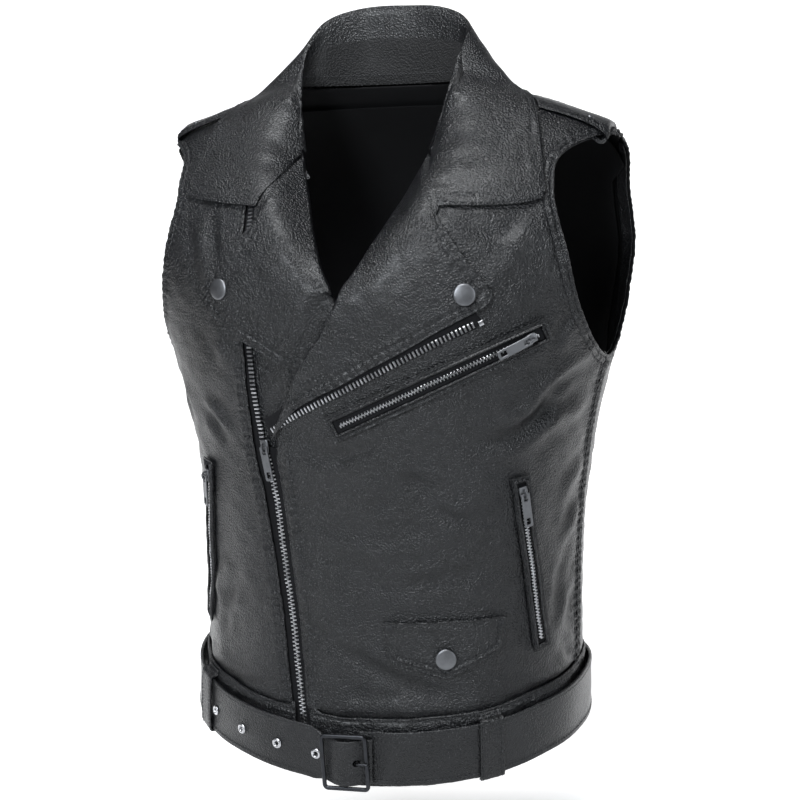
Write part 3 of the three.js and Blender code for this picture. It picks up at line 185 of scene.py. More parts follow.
class Figure:
    """The general figure that the vest is cut to, and the charts that carry its pattern."""

    SINK_WIDTH = 16.0
    ANGLES = 240
    SHARES = 360
    NUDGE = 1.5

    def __init__(self) -> None:
        """Tabulates girths, side positions and the climb over the shoulders."""
        self.body = Curves(BODY_COLUMNS, BODY_ROWS)
        self.fold = Curves(FOLD_COLUMNS, FOLD_ROWS)
        self.waist = Curves(WAIST_COLUMNS, WAIST_ROWS)
        self.seam = Curves(SEAM_COLUMNS, SEAM_ROWS)
        self.zip = Curves(ZIP_COLUMNS, ZIP_ROWS)
        self.levels = np.linspace(-642, 20, 221)
        angles = np.linspace(0, math.pi, self.ANGLES + 1)
        x, y = self.ring(angles[None, :], self.levels[:, None])
        lengths = np.hypot(np.diff(x, axis=1), np.diff(y, axis=1)).cumsum(axis=1)
        lengths = np.concatenate([np.zeros((len(self.levels), 1)), lengths], axis=1)
        self.half = lengths[:, -1]
        self.side = lengths[:, self.ANGLES // 2]
        shares = np.linspace(0, 1, self.SHARES + 1)
        self.turns = np.array([np.interp(shares * row[-1], row, angles) for row in lengths])
        slope = [np.gradient(self.body.read(c, self.levels), self.levels) for c in ("half", "front")]
        climb = np.sqrt(1 + 0.5 * slope[0] ** 2 + 0.5 * slope[1] ** 2)
        rises = (climb[1:] + climb[:-1]) / 2 * np.diff(self.levels)
        self.climbs = np.concatenate([[0], np.cumsum(rises)]) + self.levels[0]

    def ring(self, angle: Array, z: Array) -> tuple[Array, Array]:
        """A horizontal section of the figure.

        Args:
            angle: turn from the centre front, 0 to pi.
            z: height.

        Returns:
            Distance from the centre plane, and y.
        """
        read = self.body.read
        front = np.cos(angle) > 0
        power = 2 / np.where(front, read("square_front", z), read("square_back", z))
        centre = read("centre", z)
        reach = np.where(front, read("front", z), read("back", z)) - centre
        x = read("half", z) * np.abs(np.sin(angle)) ** power
        return x, centre + reach * np.abs(np.cos(angle)) ** power

    def half_girth(self, z: Array | float) -> Array:
        """Arc from the centre front to the centre back at a height."""
        return np.interp(z, self.levels, self.half)

    def side_arc(self, z: Array | float) -> Array:
        """Arc from the centre front to the widest line at a height."""
        return np.interp(z, self.levels, self.side)

    def seam_arc(self, z: Array | float) -> Array:
        """Arc from the centre front to the side seam at a height."""
        return self.side_arc(z) - self.seam.read("forward", z)

    def climb(self, z: Array | float) -> Array:
        """Height measured along the cloth, which runs flatter over the shoulders."""
        return np.interp(z, self.levels, self.climbs)

    def height(self, w: Array | float) -> Array:
        """Height above the origin from the height measured along the cloth."""
        return np.interp(w, self.climbs, self.levels)

    def turn(self, arc: Array, z: Array) -> Array:
        """Angle round the section for an arc length.

        Args:
            arc: length from the centre front.
            z: height.

        Returns:
            Angle from the centre front.
        """
        level = np.interp(z, self.levels, np.arange(len(self.levels)))
        i = np.minimum(level.astype(int), len(self.levels) - 2)
        f = level - i
        share = np.clip(arc / self.half_girth(z), 0, 1) * self.SHARES
        j = np.minimum(share.astype(int), self.SHARES - 1)
        g = share - j
        low = self.turns[i, j] * (1 - g) + self.turns[i, j + 1] * g
        high = self.turns[i + 1, j] * (1 - g) + self.turns[i + 1, j + 1] * g
        return low * (1 - f) + high * f

    def base(self, side: Side, s: Array, z: Array) -> Array:
        """Carries pattern positions to the figure.

        Args:
            side: the chart.
            s: arc from the centre front (+ wearer's left) or centre back (+ wearer's right).
            z: height.

        Returns:
            Points, in millimetres.
        """
        arc = np.abs(s) if side is Side.FRONT else self.half_girth(z) - np.abs(s)
        x, y = self.ring(self.turn(arc, z), z)
        if side is Side.BACK:
            return np.stack([-np.sign(s) * x, y, z], axis=-1)
        depth = np.clip((self.body.read("centre", z) - y) / 20, 0, 1)
        away = np.maximum(np.abs(x) - self.fold.read("x", z), 0) / self.SINK_WIDTH
        sink = self.fold.read("sink", z) * depth * np.exp(-away * away)
        return np.stack([np.sign(s) * x, y + sink, z], axis=-1)

    def lift(self, side: Side, s: Array, z: Array, height: Array | float) -> tuple[Array, Array]:
        """Points at a height over the figure.

        Args:
            side: the chart.
            s: pattern arc.
            z: height above the origin.
            height: distance out from the figure.

        Returns:
            Points and outward normals.
        """
        s, z, height = np.broadcast_arrays(np.asarray(s, float), np.asarray(z, float), height)
        step = self.NUDGE
        across = self.base(side, s + step, z) - self.base(side, s - step, z)
        up = self.base(side, s, z + step) - self.base(side, s, z - step)
        normal = np.cross(across, up)
        normal /= np.linalg.norm(normal, axis=-1, keepdims=True)
        return self.base(side, s, z) + normal * height[..., None], normal

    def arc_at(self, angle: float, z: float) -> float:
        """Arc from the centre front to an angle at a height."""
        arcs = np.linspace(0, float(self.half_girth(z)), 900)
        angles = self.turn(arcs, np.full(arcs.shape, float(z)))
        return float(np.interp(angle, angles, arcs))

    def arc_of(self, x: float, z: float) -> float:
        """Front arc of a distance from the centre plane.

        Args:
            x: distance, signed.
            z: height.

        Returns:
            The arc, signed.
        """
        share = min(abs(x) / float(self.body.read("half", z)), 1)
        angle = math.asin(share ** (float(self.body.read("square_front", z)) / 2))
        return math.copysign(self.arc_at(angle, z), x)

    def waist_row(self, name: str, s: float, side: Side = Side.FRONT) -> float:
        """Height of the hem, waist seam or belt at a pattern arc.

        Args:
            name: the column of the waist table.
            s: pattern arc.
            side: the chart.

        Returns:
            The height.
        """
        share = abs(s) / float(self.half_girth(-560))
        return float(self.waist.read(name, share if side is Side.FRONT else 1 - share))

    def waist_point(self, share: float, drop: float, height: float) -> tuple[Array, Array]:
        """A point round the waist, past the centre back too.

        Args:
            share: share of the half girth from the centre front, up to 2.
            drop: height over the belt's middle.
            height: distance out from the figure.

        Returns:
            Point and outward normal.
        """
        turned = share - 2 if share > 1 else share
        z = float(self.waist.read("belt", abs(turned))) + drop
        reach = float(self.half_girth(z))
        if abs(turned) < 0.5:
            return self.lift(Side.FRONT, turned * reach, z, height)
        from_back = -math.copysign(1 - abs(turned), turned) * reach
        return self.lift(Side.BACK, from_back, z, height)


FIGURE = Figure()


# Flat paths ----------------------------------------------------------------------------------


def spline(points: Sequence[Sequence[float]], step: float, scale: float = 1.0) -> Array:
    """A smooth path through points, in even steps.

    Args:
        points: the points to pass.
        step: spacing of the result.
        scale: factor on distances when they are measured.

    Returns:
        The path's points.
    """
    p = np.array(points, float)
    if len(p) == 2:
        dense = np.linspace(p[0], p[1], 40)
    else:
        ends = np.vstack([2 * p[0] - p[1], p, 2 * p[-1] - p[-2]])
        t = np.linspace(0, 1, 16, endpoint=False)[:, None]
        parts = []
        for a, b, c, d in zip(ends, ends[1:], ends[2:], ends[3:]):
            bend = 2 * a - 5 * b + 4 * c - d
            parts.append(0.5 * (2 * b + (c - a) * t + bend * t**2 + (3 * b - a - 3 * c + d) * t**3))
        dense = np.vstack([*parts, p[-1:]])
    gaps = np.linalg.norm(np.diff(dense, axis=0), axis=1) * scale
    length = np.concatenate([[0], np.cumsum(gaps)])
    count = max(int(round(length[-1] / step)), 1)
    at = np.linspace(0, length[-1], count + 1)
    return np.stack([np.interp(at, length, dense[:, k]) for k in range(p.shape[1])], axis=1)


def flat(points: Iterable[Point]) -> Array:
    """Pattern positions with heights measured along the cloth."""
    data = np.array(list(points), float)
    return np.stack([data[:, 0], FIGURE.climb(data[:, 1])], axis=1)


def mirrored(points: Iterable[Point]) -> Run:
    """The same run on the other side of the centre line."""
    return [(-s, z) for s, z in points]


def along(start: float, end: float, count: int, make: Callable[[float], Point]) -> Run:
    """Points made at even steps between two values.

    Args:
        start: first value.
        end: last value.
        count: number of steps.
        make: gives the point for a value.

    Returns:
        The run.
    """
    return [make(float(v)) for v in np.linspace(start, end, count + 1)]


@dataclass
class Nearest:
    """How points lie to a path."""

    distance: Array
    sign: Array
    arc: Array
    length: float


def nearest(path: Array, points: Array, reach: float) -> Nearest:
    """Finds each point's distance to a path and where along it.

    Args:
        path: the path's points.
        points: the points.
        reach: points further off than this may be left at a large distance.

    Returns:
        Distances, sides and arc lengths.
    """
    count = len(points)
    best, sign, arc = np.full(count, 1e6), np.ones(count), np.zeros(count)
    low, high = path.min(axis=0) - reach, path.max(axis=0) + reach
    near = np.nonzero(((points >= low) & (points <= high)).all(axis=1))[0]
    start, way = path[:-1], np.diff(path, axis=0)
    size = np.linalg.norm(way, axis=1)
    before = np.concatenate([[0], np.cumsum(size)])
    for chunk in np.array_split(near, max(len(near) * len(start) // 2_000_000, 1)):
        if not len(chunk):
            continue
        off = points[chunk, None, :] - start[None]
        t = np.clip((off * way).sum(axis=2) / np.maximum(size**2, 1e-12), 0, 1)
        gap = np.linalg.norm(off - t[..., None] * way, axis=2)
        k = gap.argmin(axis=1)
        row = np.arange(len(chunk))
        best[chunk] = gap[row, k]
        cross = way[k, 0] * off[row, k, 1] - way[k, 1] * off[row, k, 0]
        sign[chunk] = np.where(cross >= 0, 1, -1)
        arc[chunk] = before[k] + t[row, k] * size[k]
    return Nearest(best, sign, arc, float(before[-1]))


def offset_path(path: Array, distance: float) -> Array:
    """A path moved to its left.

    Args:
        path: the path's points.
        distance: how far, + to the left of its direction.

    Returns:
        The moved path.
    """
    way = np.gradient(path, axis=0)
    way /= np.maximum(np.linalg.norm(way, axis=1, keepdims=True), 1e-9)
    return path + np.stack([-way[:, 1], way[:, 0]], axis=1) * distance


def wobble(arc: Array, size: float, seed: int) -> Array:
    """An uneven wave along a path, about -1 to 1.

    Args:
        arc: lengths along the path.
        size: typical wavelength.
        seed: picks the wave.

    Returns:
        The wave.
    """
    draw = np.random.default_rng(seed)
    total = np.zeros_like(arc, dtype=float)
    for _ in range(4):
        rate, phase = draw.uniform(0.55, 1.6), draw.uniform(0, 2 * math.pi)
        total += np.sin(2 * math.pi * arc * rate / size + phase)
    return total / 2.4


def ripple(points: Array, size: float, seed: int) -> Array:
    """Gentle uneven undulation over the pattern, about -1 to 1.

    Args:
        points: pattern positions.
        size: typical wavelength.
        seed: picks the pattern.

    Returns:
        The undulation.
    """
    draw = np.random.default_rng(seed)
    total = np.zeros(len(points))
    for _ in range(7):
        angle, phase = draw.uniform(0, math.pi), draw.uniform(0, 2 * math.pi)
        rate = 2 * math.pi / size * draw.uniform(0.6, 1.5)
        run = points[:, 0] * math.cos(angle) + points[:, 1] * math.sin(angle)
        bend = 0.6 * np.sin(points[:, 1] * rate * 0.5 + phase * 1.7)
        total += np.sin(run * rate + phase + bend)
    return total / 3.2


# Creases, seams and relief -------------------------------------------------------------------


@dataclass(frozen=True)
class Crease:
    """A soft trough (depth above 0) or ridge (below 0) pressed into the leather."""

    path: Run
    depth: float
    width: float
    lean: float = 0.0
    seed: int = 1

    def at(self, points: Array) -> Array:
        """Height that the crease adds.

        Args:
            points: pattern positions along the cloth.

        Returns:
            Heights in millimetres.
        """
        way = nearest(spline(flat(self.path), 6), points, self.width * 5)
        d = way.distance * way.sign / self.width
        t = way.arc / way.length
        fade = np.sin(math.pi * np.clip(t * 0.94 + 0.03, 0, 1)) ** 0.7
        uneven = 1 + 0.25 * wobble(way.arc, 38, self.seed)
        dip = -np.exp(-d * d)
        banks = (0.42 + self.lean) * np.exp(-((d - 2) ** 2)) + (0.42 - self.lean) * np.exp(-((d + 2) ** 2))
        return self.depth * fade * uneven * (dip + banks)


@dataclass(frozen=True)
class Seam:
    """A stitched line: a ditch under the thread, a lip on either side and puckers across it."""

    path: Array
    ditch: float = 0.62
    ditch_width: float = 1.15
    pucker: float = 0.3
    pitch: float = 4.2
    reach: float = 6.0
    seed: int = 3
    lips: float = 0.5
    lip_place: float = 2.5
    lip_width: float = 1.1

    def at(self, points: Array) -> Array:
        """Height that the seam adds.

        Args:
            points: pattern positions along the cloth.

        Returns:
            Heights in millimetres.
        """
        way = nearest(self.path, points, self.reach * 2.5)
        d = way.distance
        phase = 2 * math.pi * way.arc / self.pitch + 1.1 * wobble(way.arc, 26, self.seed)
        strength = 0.75 + 0.35 * wobble(way.arc, 47, self.seed + 7)
        puffs = self.pucker * strength * np.sin(phase) * np.exp(-((d / self.reach) ** 2))
        lips = self.lips * np.exp(-(((d - self.lip_place) / self.lip_width) ** 2))
        return puffs + lips - self.ditch * np.exp(-((d / self.ditch_width) ** 2))


@dataclass(frozen=True)
class Ledge:
    """A low step where a second layer lies to the right of a path's direction."""

    path: Array
    rise: float
    width: float

    def at(self, points: Array) -> Array:
        """Height that the step adds.

        Args:
            points: pattern positions along the cloth.

        Returns:
            Heights in millimetres.
        """
        way = nearest(self.path, points, 30)
        near = np.exp(-((np.maximum(way.distance - 14, 0) / 6) ** 2))
        return self.rise * near * smooth_step(0.5 - way.distance * way.sign / self.width)


@dataclass
class Relief:
    """Everything that lifts or dents a stretch of leather."""

    side: Side
    creases: tuple[Crease, ...]
    seams: list[Crease | Seam | Ledge] = field(default_factory=list)
    broad: float = 1.0
    fine: float = 0.32
    seed: int = 11
    depth: float = 1.4

    def still(self, points: Array) -> Array:
        """How freely the leather moves: 0 at side seams and over the shoulders, 1 elsewhere.

        Args:
            points: pattern positions along the cloth.

        Returns:
            The shares.
        """
        z = FIGURE.height(points[:, 1])
        arc = np.abs(points[:, 0])
        if self.side is Side.BACK:
            arc = FIGURE.half_girth(z) - arc
        seam = smooth_step((np.abs(arc - FIGURE.seam_arc(z)) - 1.5) / 20)
        seam = np.where(z < -215, seam, 1)
        return seam * smooth_step((-92 - z) / 40)

    def at(self, points: Array) -> Array:
        """Total height over the plain form.

        Args:
            points: pattern positions along the cloth.

        Returns:
            Heights in millimetres.
        """
        total = self.broad * ripple(points, 95, self.seed) + self.fine * ripple(points, 21, self.seed + 1)
        for crease in self.creases:
            total = total + self.depth * crease.at(points)
        total = total * self.still(points)
        for seam in self.seams:
            total = total + seam.at(points)
        return total

    def plus(self, *more: Crease | Seam | Ledge) -> Relief:
        """The same relief with more seams."""
        return Relief(
            self.side, self.creases, [*self.seams, *more], self.broad, self.fine, self.seed, self.depth,
        )


# Shader expressions and finishes -------------------------------------------------------------


class Value:
    """A number in a material, taken from a node's socket, that can be reckoned with."""

    def __init__(self, shop: Shader, socket: bpy.types.NodeSocket) -> None:
        """Keeps the socket and the material it belongs to."""
        self.shop = shop
        self.socket = socket

    def _sum(self, operation: str, first: Value | float, second: Value | float) -> Value:
        """Adds a Math node.

        Args:
            operation: its operation.
            first: first number.
            second: second number.

        Returns:
            The result.
        """
        return self.shop.node("ShaderNodeMath", {"operation": operation}, {0: first, 1: second})

    def __add__(self, other: Value | float) -> Value:
        """Sum."""
        return self._sum("ADD", self, other)

    def __radd__(self, other: float) -> Value:
        """Sum with a plain number."""
        return self._sum("ADD", other, self)

    def __sub__(self, other: Value | float) -> Value:
        """Difference."""
        return self._sum("SUBTRACT", self, other)

    def __rsub__(self, other: float) -> Value:
        """Difference from a plain number."""
        return self._sum("SUBTRACT", other, self)

    def __mul__(self, other: Value | float) -> Value:
        """Product."""
        return self._sum("MULTIPLY", self, other)

    def __rmul__(self, other: float) -> Value:
        """Product with a plain number."""
        return self._sum("MULTIPLY", other, self)

    def __pow__(self, other: Value | float) -> Value:
        """Power."""
        return self._sum("POWER", self, other)


Socketable = Value | float | tuple | None


class Shader:
    """One material under construction."""

    def __init__(self, name: str) -> None:
        """Starts an empty node material with its principled shader."""
        self.material = bpy.data.materials.new(name)
        self.material.use_nodes = True
        self.tree = self.material.node_tree
        self.principled = next(n for n in self.tree.nodes if n.type == "BSDF_PRINCIPLED")

    def node(
        self,
        kind: str,
        settings: dict[str, object] | None = None,
        sockets: dict[int | str, Socketable] | None = None,
        output: int | str = 0,
    ) -> Value:
        """Adds a node.

        Args:
            kind: the node's type.
            settings: attributes set first; "stops" sets a colour ramp's (position, colour) stops.
            sockets: values or links by socket name or number.
            output: which output to give back.

        Returns:
            The output.
        """
        made = self.tree.nodes.new(kind)
        for key, value in (settings or {}).items():
            if key == "stops":
                self._set_stops(made.color_ramp, value)
            else:
                setattr(made, key, value)
        for key, value in (sockets or {}).items():
            self.feed(made.inputs[key], value)
        return Value(self, made.outputs[output])

    @staticmethod
    def _set_stops(ramp: bpy.types.ColorRamp, stops: Sequence[tuple[float, float]]) -> None:
        """Gives a colour ramp its grey stops.

        Args:
            ramp: the ramp.
            stops: positions and grey values.
        """
        while len(ramp.elements) < len(stops):
            ramp.elements.new(1)
        for element, (position, grey) in zip(ramp.elements, stops):
            element.position = position
            element.color = (grey, grey, grey, 1)

    def feed(self, socket: bpy.types.NodeSocket, value: Socketable) -> None:
        """Links or sets one socket.

        Args:
            socket: the input.
            value: a link, a number or a colour.
        """
        if isinstance(value, Value):
            self.tree.links.new(value.socket, socket)
        elif value is not None:
            socket.default_value = value

    def noise(self, place: Value, scale: float, detail: float = 3, rough: float = 0.5) -> Value:
        """Grey noise over a place.

        Args:
            place: coordinates.
            scale: how fine it is.
            detail: octaves.
            rough: strength of the finer ones.

        Returns:
            The noise, 0 to 1.
        """
        sockets = {"Vector": place, "Scale": scale, "Detail": detail, "Roughness": rough}
        return self.node("ShaderNodeTexNoise", {}, sockets)

    def ramp(self, value: Value, *stops: tuple[float, float]) -> Value:
        """Bends a value through grey stops."""
        return self.node("ShaderNodeValToRGB", {"stops": stops}, {0: value})

    def blend(self, mask: Value, low: tuple, high: tuple) -> Value:
        """Mixes two colours.

        Args:
            mask: 0 for the first, 1 for the second.
            low: first colour.
            high: second colour.

        Returns:
            The colour.
        """
        settings = {"data_type": "RGBA"}
        return self.node("ShaderNodeMix", settings, {0: mask, 6: (*low, 1), 7: (*high, 1)}, 2)

    def bump(self, height: Value, distance: float, strength: float, under: Value | None = None) -> Value:
        """Turns a height into a normal.

        Args:
            height: the height, 0 to 1.
            distance: its real depth in metres.
            strength: how much of it shows.
            under: a normal that it lies on.

        Returns:
            The normal.
        """
        sockets = {"Height": height, "Distance": distance, "Strength": strength, "Normal": under}
        return self.node("ShaderNodeBump", {}, sockets)

    def finish(self, **sockets: Socketable) -> bpy.types.Material:
        """Sets the principled shader's sockets, given with underscores for spaces."""
        for key, value in sockets.items():
            self.feed(self.principled.inputs[key.replace("_", " ")], value)
        return self.material


@dataclass(frozen=True)
class LeatherFinish:
    """Pebbled black cowhide."""

    name: str = "pebbled_leather"
    slot: str = "black_leather"
    dark: tuple[float, float, float] = (0.0022, 0.0023, 0.0028)
    light: tuple[float, float, float] = (0.0075, 0.0079, 0.0094)
    pebble: float = 620.0
    depth: float = 0.0009
    rough: float = 0.23
    spread: float = 0.08

    def make(self) -> bpy.types.Material:
        """Builds the material.

        Returns:
            The material.
        """
        shop = Shader(self.name)
        place = shop.node("ShaderNodeTexCoord", {}, {}, "Object")
        drift = shop.node("ShaderNodeTexNoise", {}, {"Vector": place, "Scale": 260, "Detail": 2}, "Color")
        moved = shop.node(
            "ShaderNodeVectorMath", {"operation": "MULTIPLY_ADD"},
            {0: drift, 1: (0.0016, 0.0016, 0.0016), 2: place},
        )
        cells = shop.node(
            "ShaderNodeTexVoronoi", {"feature": "SMOOTH_F1"},
            {"Vector": moved, "Scale": self.pebble, "Smoothness": 0.35, "Randomness": 1.0},
        )
        pebbles = 1 - shop.ramp(cells, (0.1, 0.0), (0.75, 1.0))
        fine = shop.noise(place, self.pebble * 3.4, 2, 0.6)
        broad = shop.noise(place, 55, 3, 0.55)
        patch = shop.noise(place, 16, 2, 0.5)
        low_normal = shop.bump(broad, 0.0012, 0.35)
        grain = pebbles * (0.55 + 0.6 * patch) + 0.28 * fine
        normal = shop.bump(grain, self.depth, 0.9, low_normal)
        mask = shop.ramp(broad * 0.55 + patch * 0.45, (0.35, 0.0), (0.68, 1.0))
        colour = shop.blend(mask * 0.7 + pebbles * 0.3, self.dark, self.light)
        rough = self.rough + self.spread * (1 - pebbles) + 0.07 * mask
        return shop.finish(
            Base_Color=colour, Roughness=rough, Normal=normal, Specular_IOR_Level=0.5,
            Coat_Weight=0.12, Coat_Roughness=0.28,
        )


@dataclass(frozen=True)
class ClothFinish:
    """Plain woven black cloth, fine for lining and coarser for zip tape."""

    name: str = "woven_lining"
    slot: str = "lining"
    dark: tuple[float, float, float] = (0.0028, 0.0028, 0.0032)
    light: tuple[float, float, float] = (0.0075, 0.0075, 0.0085)
    threads: float = 1500.0
    rough: float = 0.82

    def make(self) -> bpy.types.Material:
        """Builds the material.

        Returns:
            The material.
        """
        shop = Shader(self.name)
        place = shop.node("ShaderNodeTexCoord", {}, {}, "Object")
        settings = {"wave_type": "BANDS", "bands_direction": "Z", "wave_profile": "SIN"}
        over = shop.node(
            "ShaderNodeTexWave", settings, {"Vector": place, "Scale": self.threads, "Distortion": 0.6},
        )
        settings = {"wave_type": "BANDS", "bands_direction": "DIAGONAL", "wave_profile": "SIN"}
        under = shop.node(
            "ShaderNodeTexWave", settings, {"Vector": place, "Scale": self.threads, "Distortion": 0.6},
        )
        weave = over * under
        blotch = shop.noise(place, 40, 3)
        colour = shop.blend(weave * 0.5 + blotch * 0.5, self.dark, self.light)
        normal = shop.bump(weave + 0.3 * blotch, 0.0002, 0.5)
        return shop.finish(
            Base_Color=colour, Roughness=self.rough + 0.1 * blotch, Normal=normal,
            Specular_IOR_Level=0.2,
        )


@dataclass(frozen=True)
class ThreadFinish:
    """Waxed black sewing thread with its twist."""

    name: str = "black_thread"
    slot: str = "black_leather"

    def make(self) -> bpy.types.Material:
        """Builds the material.

        Returns:
            The material.
        """
        shop = Shader(self.name)
        place = shop.node("ShaderNodeTexCoord", {}, {}, "Object")
        twist = shop.noise(place, 2600, 2)
        colour = shop.blend(twist, (0.008, 0.008, 0.009), (0.03, 0.031, 0.034))
        normal = shop.bump(twist, 0.0002, 0.6)
        return shop.finish(Base_Color=colour, Roughness=0.5 + 0.15 * twist, Normal=normal)


@dataclass(frozen=True)
class MetalFinish:
    """Plated metal with faint handling marks."""

    name: str
    slot: str
    dark: tuple[float, float, float]
    light: tuple[float, float, float]
    rough: float = 0.22
    marks: float = 0.1

    def make(self) -> bpy.types.Material:
        """Builds the material.

        Returns:
            The material.
        """
        shop = Shader(self.name)
        place = shop.node("ShaderNodeTexCoord", {}, {}, "Object")
        cloud = shop.noise(place, 190, 4, 0.6)
        speck = shop.noise(place, 1700, 3, 0.7)
        colour = shop.blend(cloud, self.dark, self.light)
        rough = self.rough + self.marks * cloud + self.marks * 0.5 * speck
        normal = shop.bump(speck, 0.00006, 0.4)
        return shop.finish(Base_Color=colour, Roughness=rough, Metallic=1.0, Normal=normal)


@dataclass(frozen=True)
class PaperFinish:
    """Matt pale studio paper that glows beyond the vest: a painted glow standing in for lamps behind it.

    The two shares turn plan positions into the distance beyond the vest.
    """

    name: str = "studio_paper"
    shade: float = 0.82
    glow: float = 0.95
    across: float = -0.302
    away: float = 0.953

    def make(self) -> bpy.types.Material:
        """Builds the material.

        Returns:
            The material.
        """
        shop = Shader(self.name)
        place = shop.node("ShaderNodeTexCoord", {}, {}, "Object")
        cloud = shop.noise(place, 3, 2)
        high = self.shade
        colour = shop.blend(cloud, (high - 0.01,) * 3, (high, high, high))
        x, y, z = (shop.node("ShaderNodeSeparateXYZ", {}, {"Vector": place}, axis) for axis in "XYZ")
        # Painted glow: the paper emits white light beyond the vest, below a height and near the middle, in place
        # of lamps behind it.
        behind = shop.ramp(0.5 + 0.25 * (self.away * y + self.across * x), (0.47, 0.0), (0.494, 1.0))
        below = shop.ramp(0.5 + 0.25 * z, (0.6, 1.0), (0.7, 0.0))
        middle = shop.ramp(0.111 * (x * x), (0.55, 1.0), (0.85, 0.0))
        painted_glow = shop.blend(behind * below * middle, (0.0, 0.0, 0.0), (1.0, 1.0, 1.0))
        return shop.finish(
            Base_Color=colour, Roughness=0.9, Specular_IOR_Level=0.1, Emission_Color=painted_glow,
            Emission_Strength=self.glow,
        )


MADE: dict[str, bpy.types.Material] = {}


class Finish(Enum):
    """The finishes of the vest."""

    LEATHER = LeatherFinish()
    # Darker, rougher copy of the leather for the collar stand: the roughness gives a matt face, and the darker
    # colour is painted shade where the stand lies in the collar's shadow.
    SHADED_INNER_LEATHER = LeatherFinish(
        name="inner_leather_painted_shade", dark=(0.002, 0.002, 0.0024), light=(0.004, 0.004, 0.0046), rough=0.62,
        spread=0.1,
    )
    BELT_LEATHER = LeatherFinish(name="belt_leather", pebble=700.0, depth=0.0005, rough=0.22)
    LINING = ClothFinish()
    TAPE = ClothFinish(
        name="woven_tape", slot="zip_tape", dark=(0.004, 0.004, 0.0045), light=(0.014, 0.014, 0.016),
        threads=900.0,
    )
    THREAD = ThreadFinish()
    NICKEL = MetalFinish("nickel", "zip_metal", (0.5, 0.5, 0.51), (0.78, 0.78, 0.8), 0.2, 0.1)
    GUNMETAL = MetalFinish("gunmetal", "dark_metal", (0.14, 0.142, 0.15), (0.26, 0.265, 0.275), 0.34, 0.12)
    BLACKENED = MetalFinish(
        "blackened", "dark_metal", (0.035, 0.036, 0.04), (0.075, 0.077, 0.083), 0.28, 0.12,
    )

    @property
    def material(self) -> bpy.types.Material:
        """The finish's material, built once."""
        if self.name not in MADE:
            MADE[self.name] = self.value.make()
        return MADE[self.name]


# Meshes --------------------------------------------------------------------------------------


@dataclass
class Shape:
    """Vertices in millimetres, faces, and which faces take the second finish."""

    points: Array
    faces: list[tuple[int, ...]]
    second: Array | None = None

    @staticmethod
    def join(shapes: Sequence[Shape]) -> Shape:
        """One shape from several."""
        points, faces, start = [], [], 0
        for shape in shapes:
            points.append(shape.points)
            faces.extend(tuple(i + start for i in face) for face in shape.faces)
            start += len(shape.points)
        return Shape(np.vstack(points), faces)


def put(
    name: str, shape: Shape, finish: Finish, body: str, nodes: Sequence[str] = (),
    inside: Finish | None = None, smooth: float = 60,
) -> bpy.types.Object:
    """Makes an object from a shape and hands it to the frame.

    Args:
        name: the piece's name.
        shape: its mesh, in millimetres.
        finish: its finish.
        body: the body it rides on.
        nodes: the CAD nodes that it stands for.
        inside: finish of the faces marked second.
        smooth: edges sharper than this many degrees stay crisp.

    Returns:
        The object.
    """
    mesh = bpy.data.meshes.new(name)
    mesh.from_pydata((shape.points * MM).tolist(), [], shape.faces)
    mesh.materials.append(finish.material)
    if inside is not None and shape.second is not None:
        mesh.materials.append(inside.material)
        mesh.polygons.foreach_set("material_index", shape.second.astype(np.int32))
    work = bmesh.new()
    work.from_mesh(mesh)
    bmesh.ops.recalc_face_normals(work, faces=work.faces)
    work.to_mesh(mesh)
    work.free()
    mesh.shade_smooth()
    mesh.set_sharp_from_angle(angle=math.radians(smooth))
    piece = bpy.data.objects.new(name, mesh)
    bpy.context.scene.collection.objects.link(piece)
    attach(piece, body)
    if nodes:
        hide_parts(*nodes)
    LOG.info("%s: %d faces", name, len(mesh.polygons))
    return piece


def declare(
    piece: bpy.types.Object, size: Point, held: Held, rests: Sequence[str] = (), area: float | None = None,
) -> None:
    """Logs a piece's flat cut.

    Args:
        piece: the sheet.
        size: width and length in millimetres.
        held: how it is held; not used.
        rests: nodes that it lies on.
        area: flat area in square millimetres where it isn't a rectangle.
    """
    width, length = size
    square = None if area is None else min(area, width * length) * MM * MM
    width * MM
    length * MM
    list(rests)
    LOG.info("%s cut %.0f x %.0f mm", piece.name, width, length)


def snug_box(loop: Array) -> Point:
    """Sides of the smallest rectangle that holds an outline, turned as needed.

    Args:
        loop: the outline.

    Returns:
        Width and length, the smaller first.
    """
    best = (1e6, 1e6)
    for turn in np.linspace(0, math.pi / 2, 46):
        c, s = math.cos(turn), math.sin(turn)
        moved = loop @ np.array([[c, -s], [s, c]])
        wide, tall = moved.max(axis=0) - moved.min(axis=0)
        if wide * tall < best[0] * best[1]:
            best = (float(min(wide, tall)), float(max(wide, tall)))
    return best


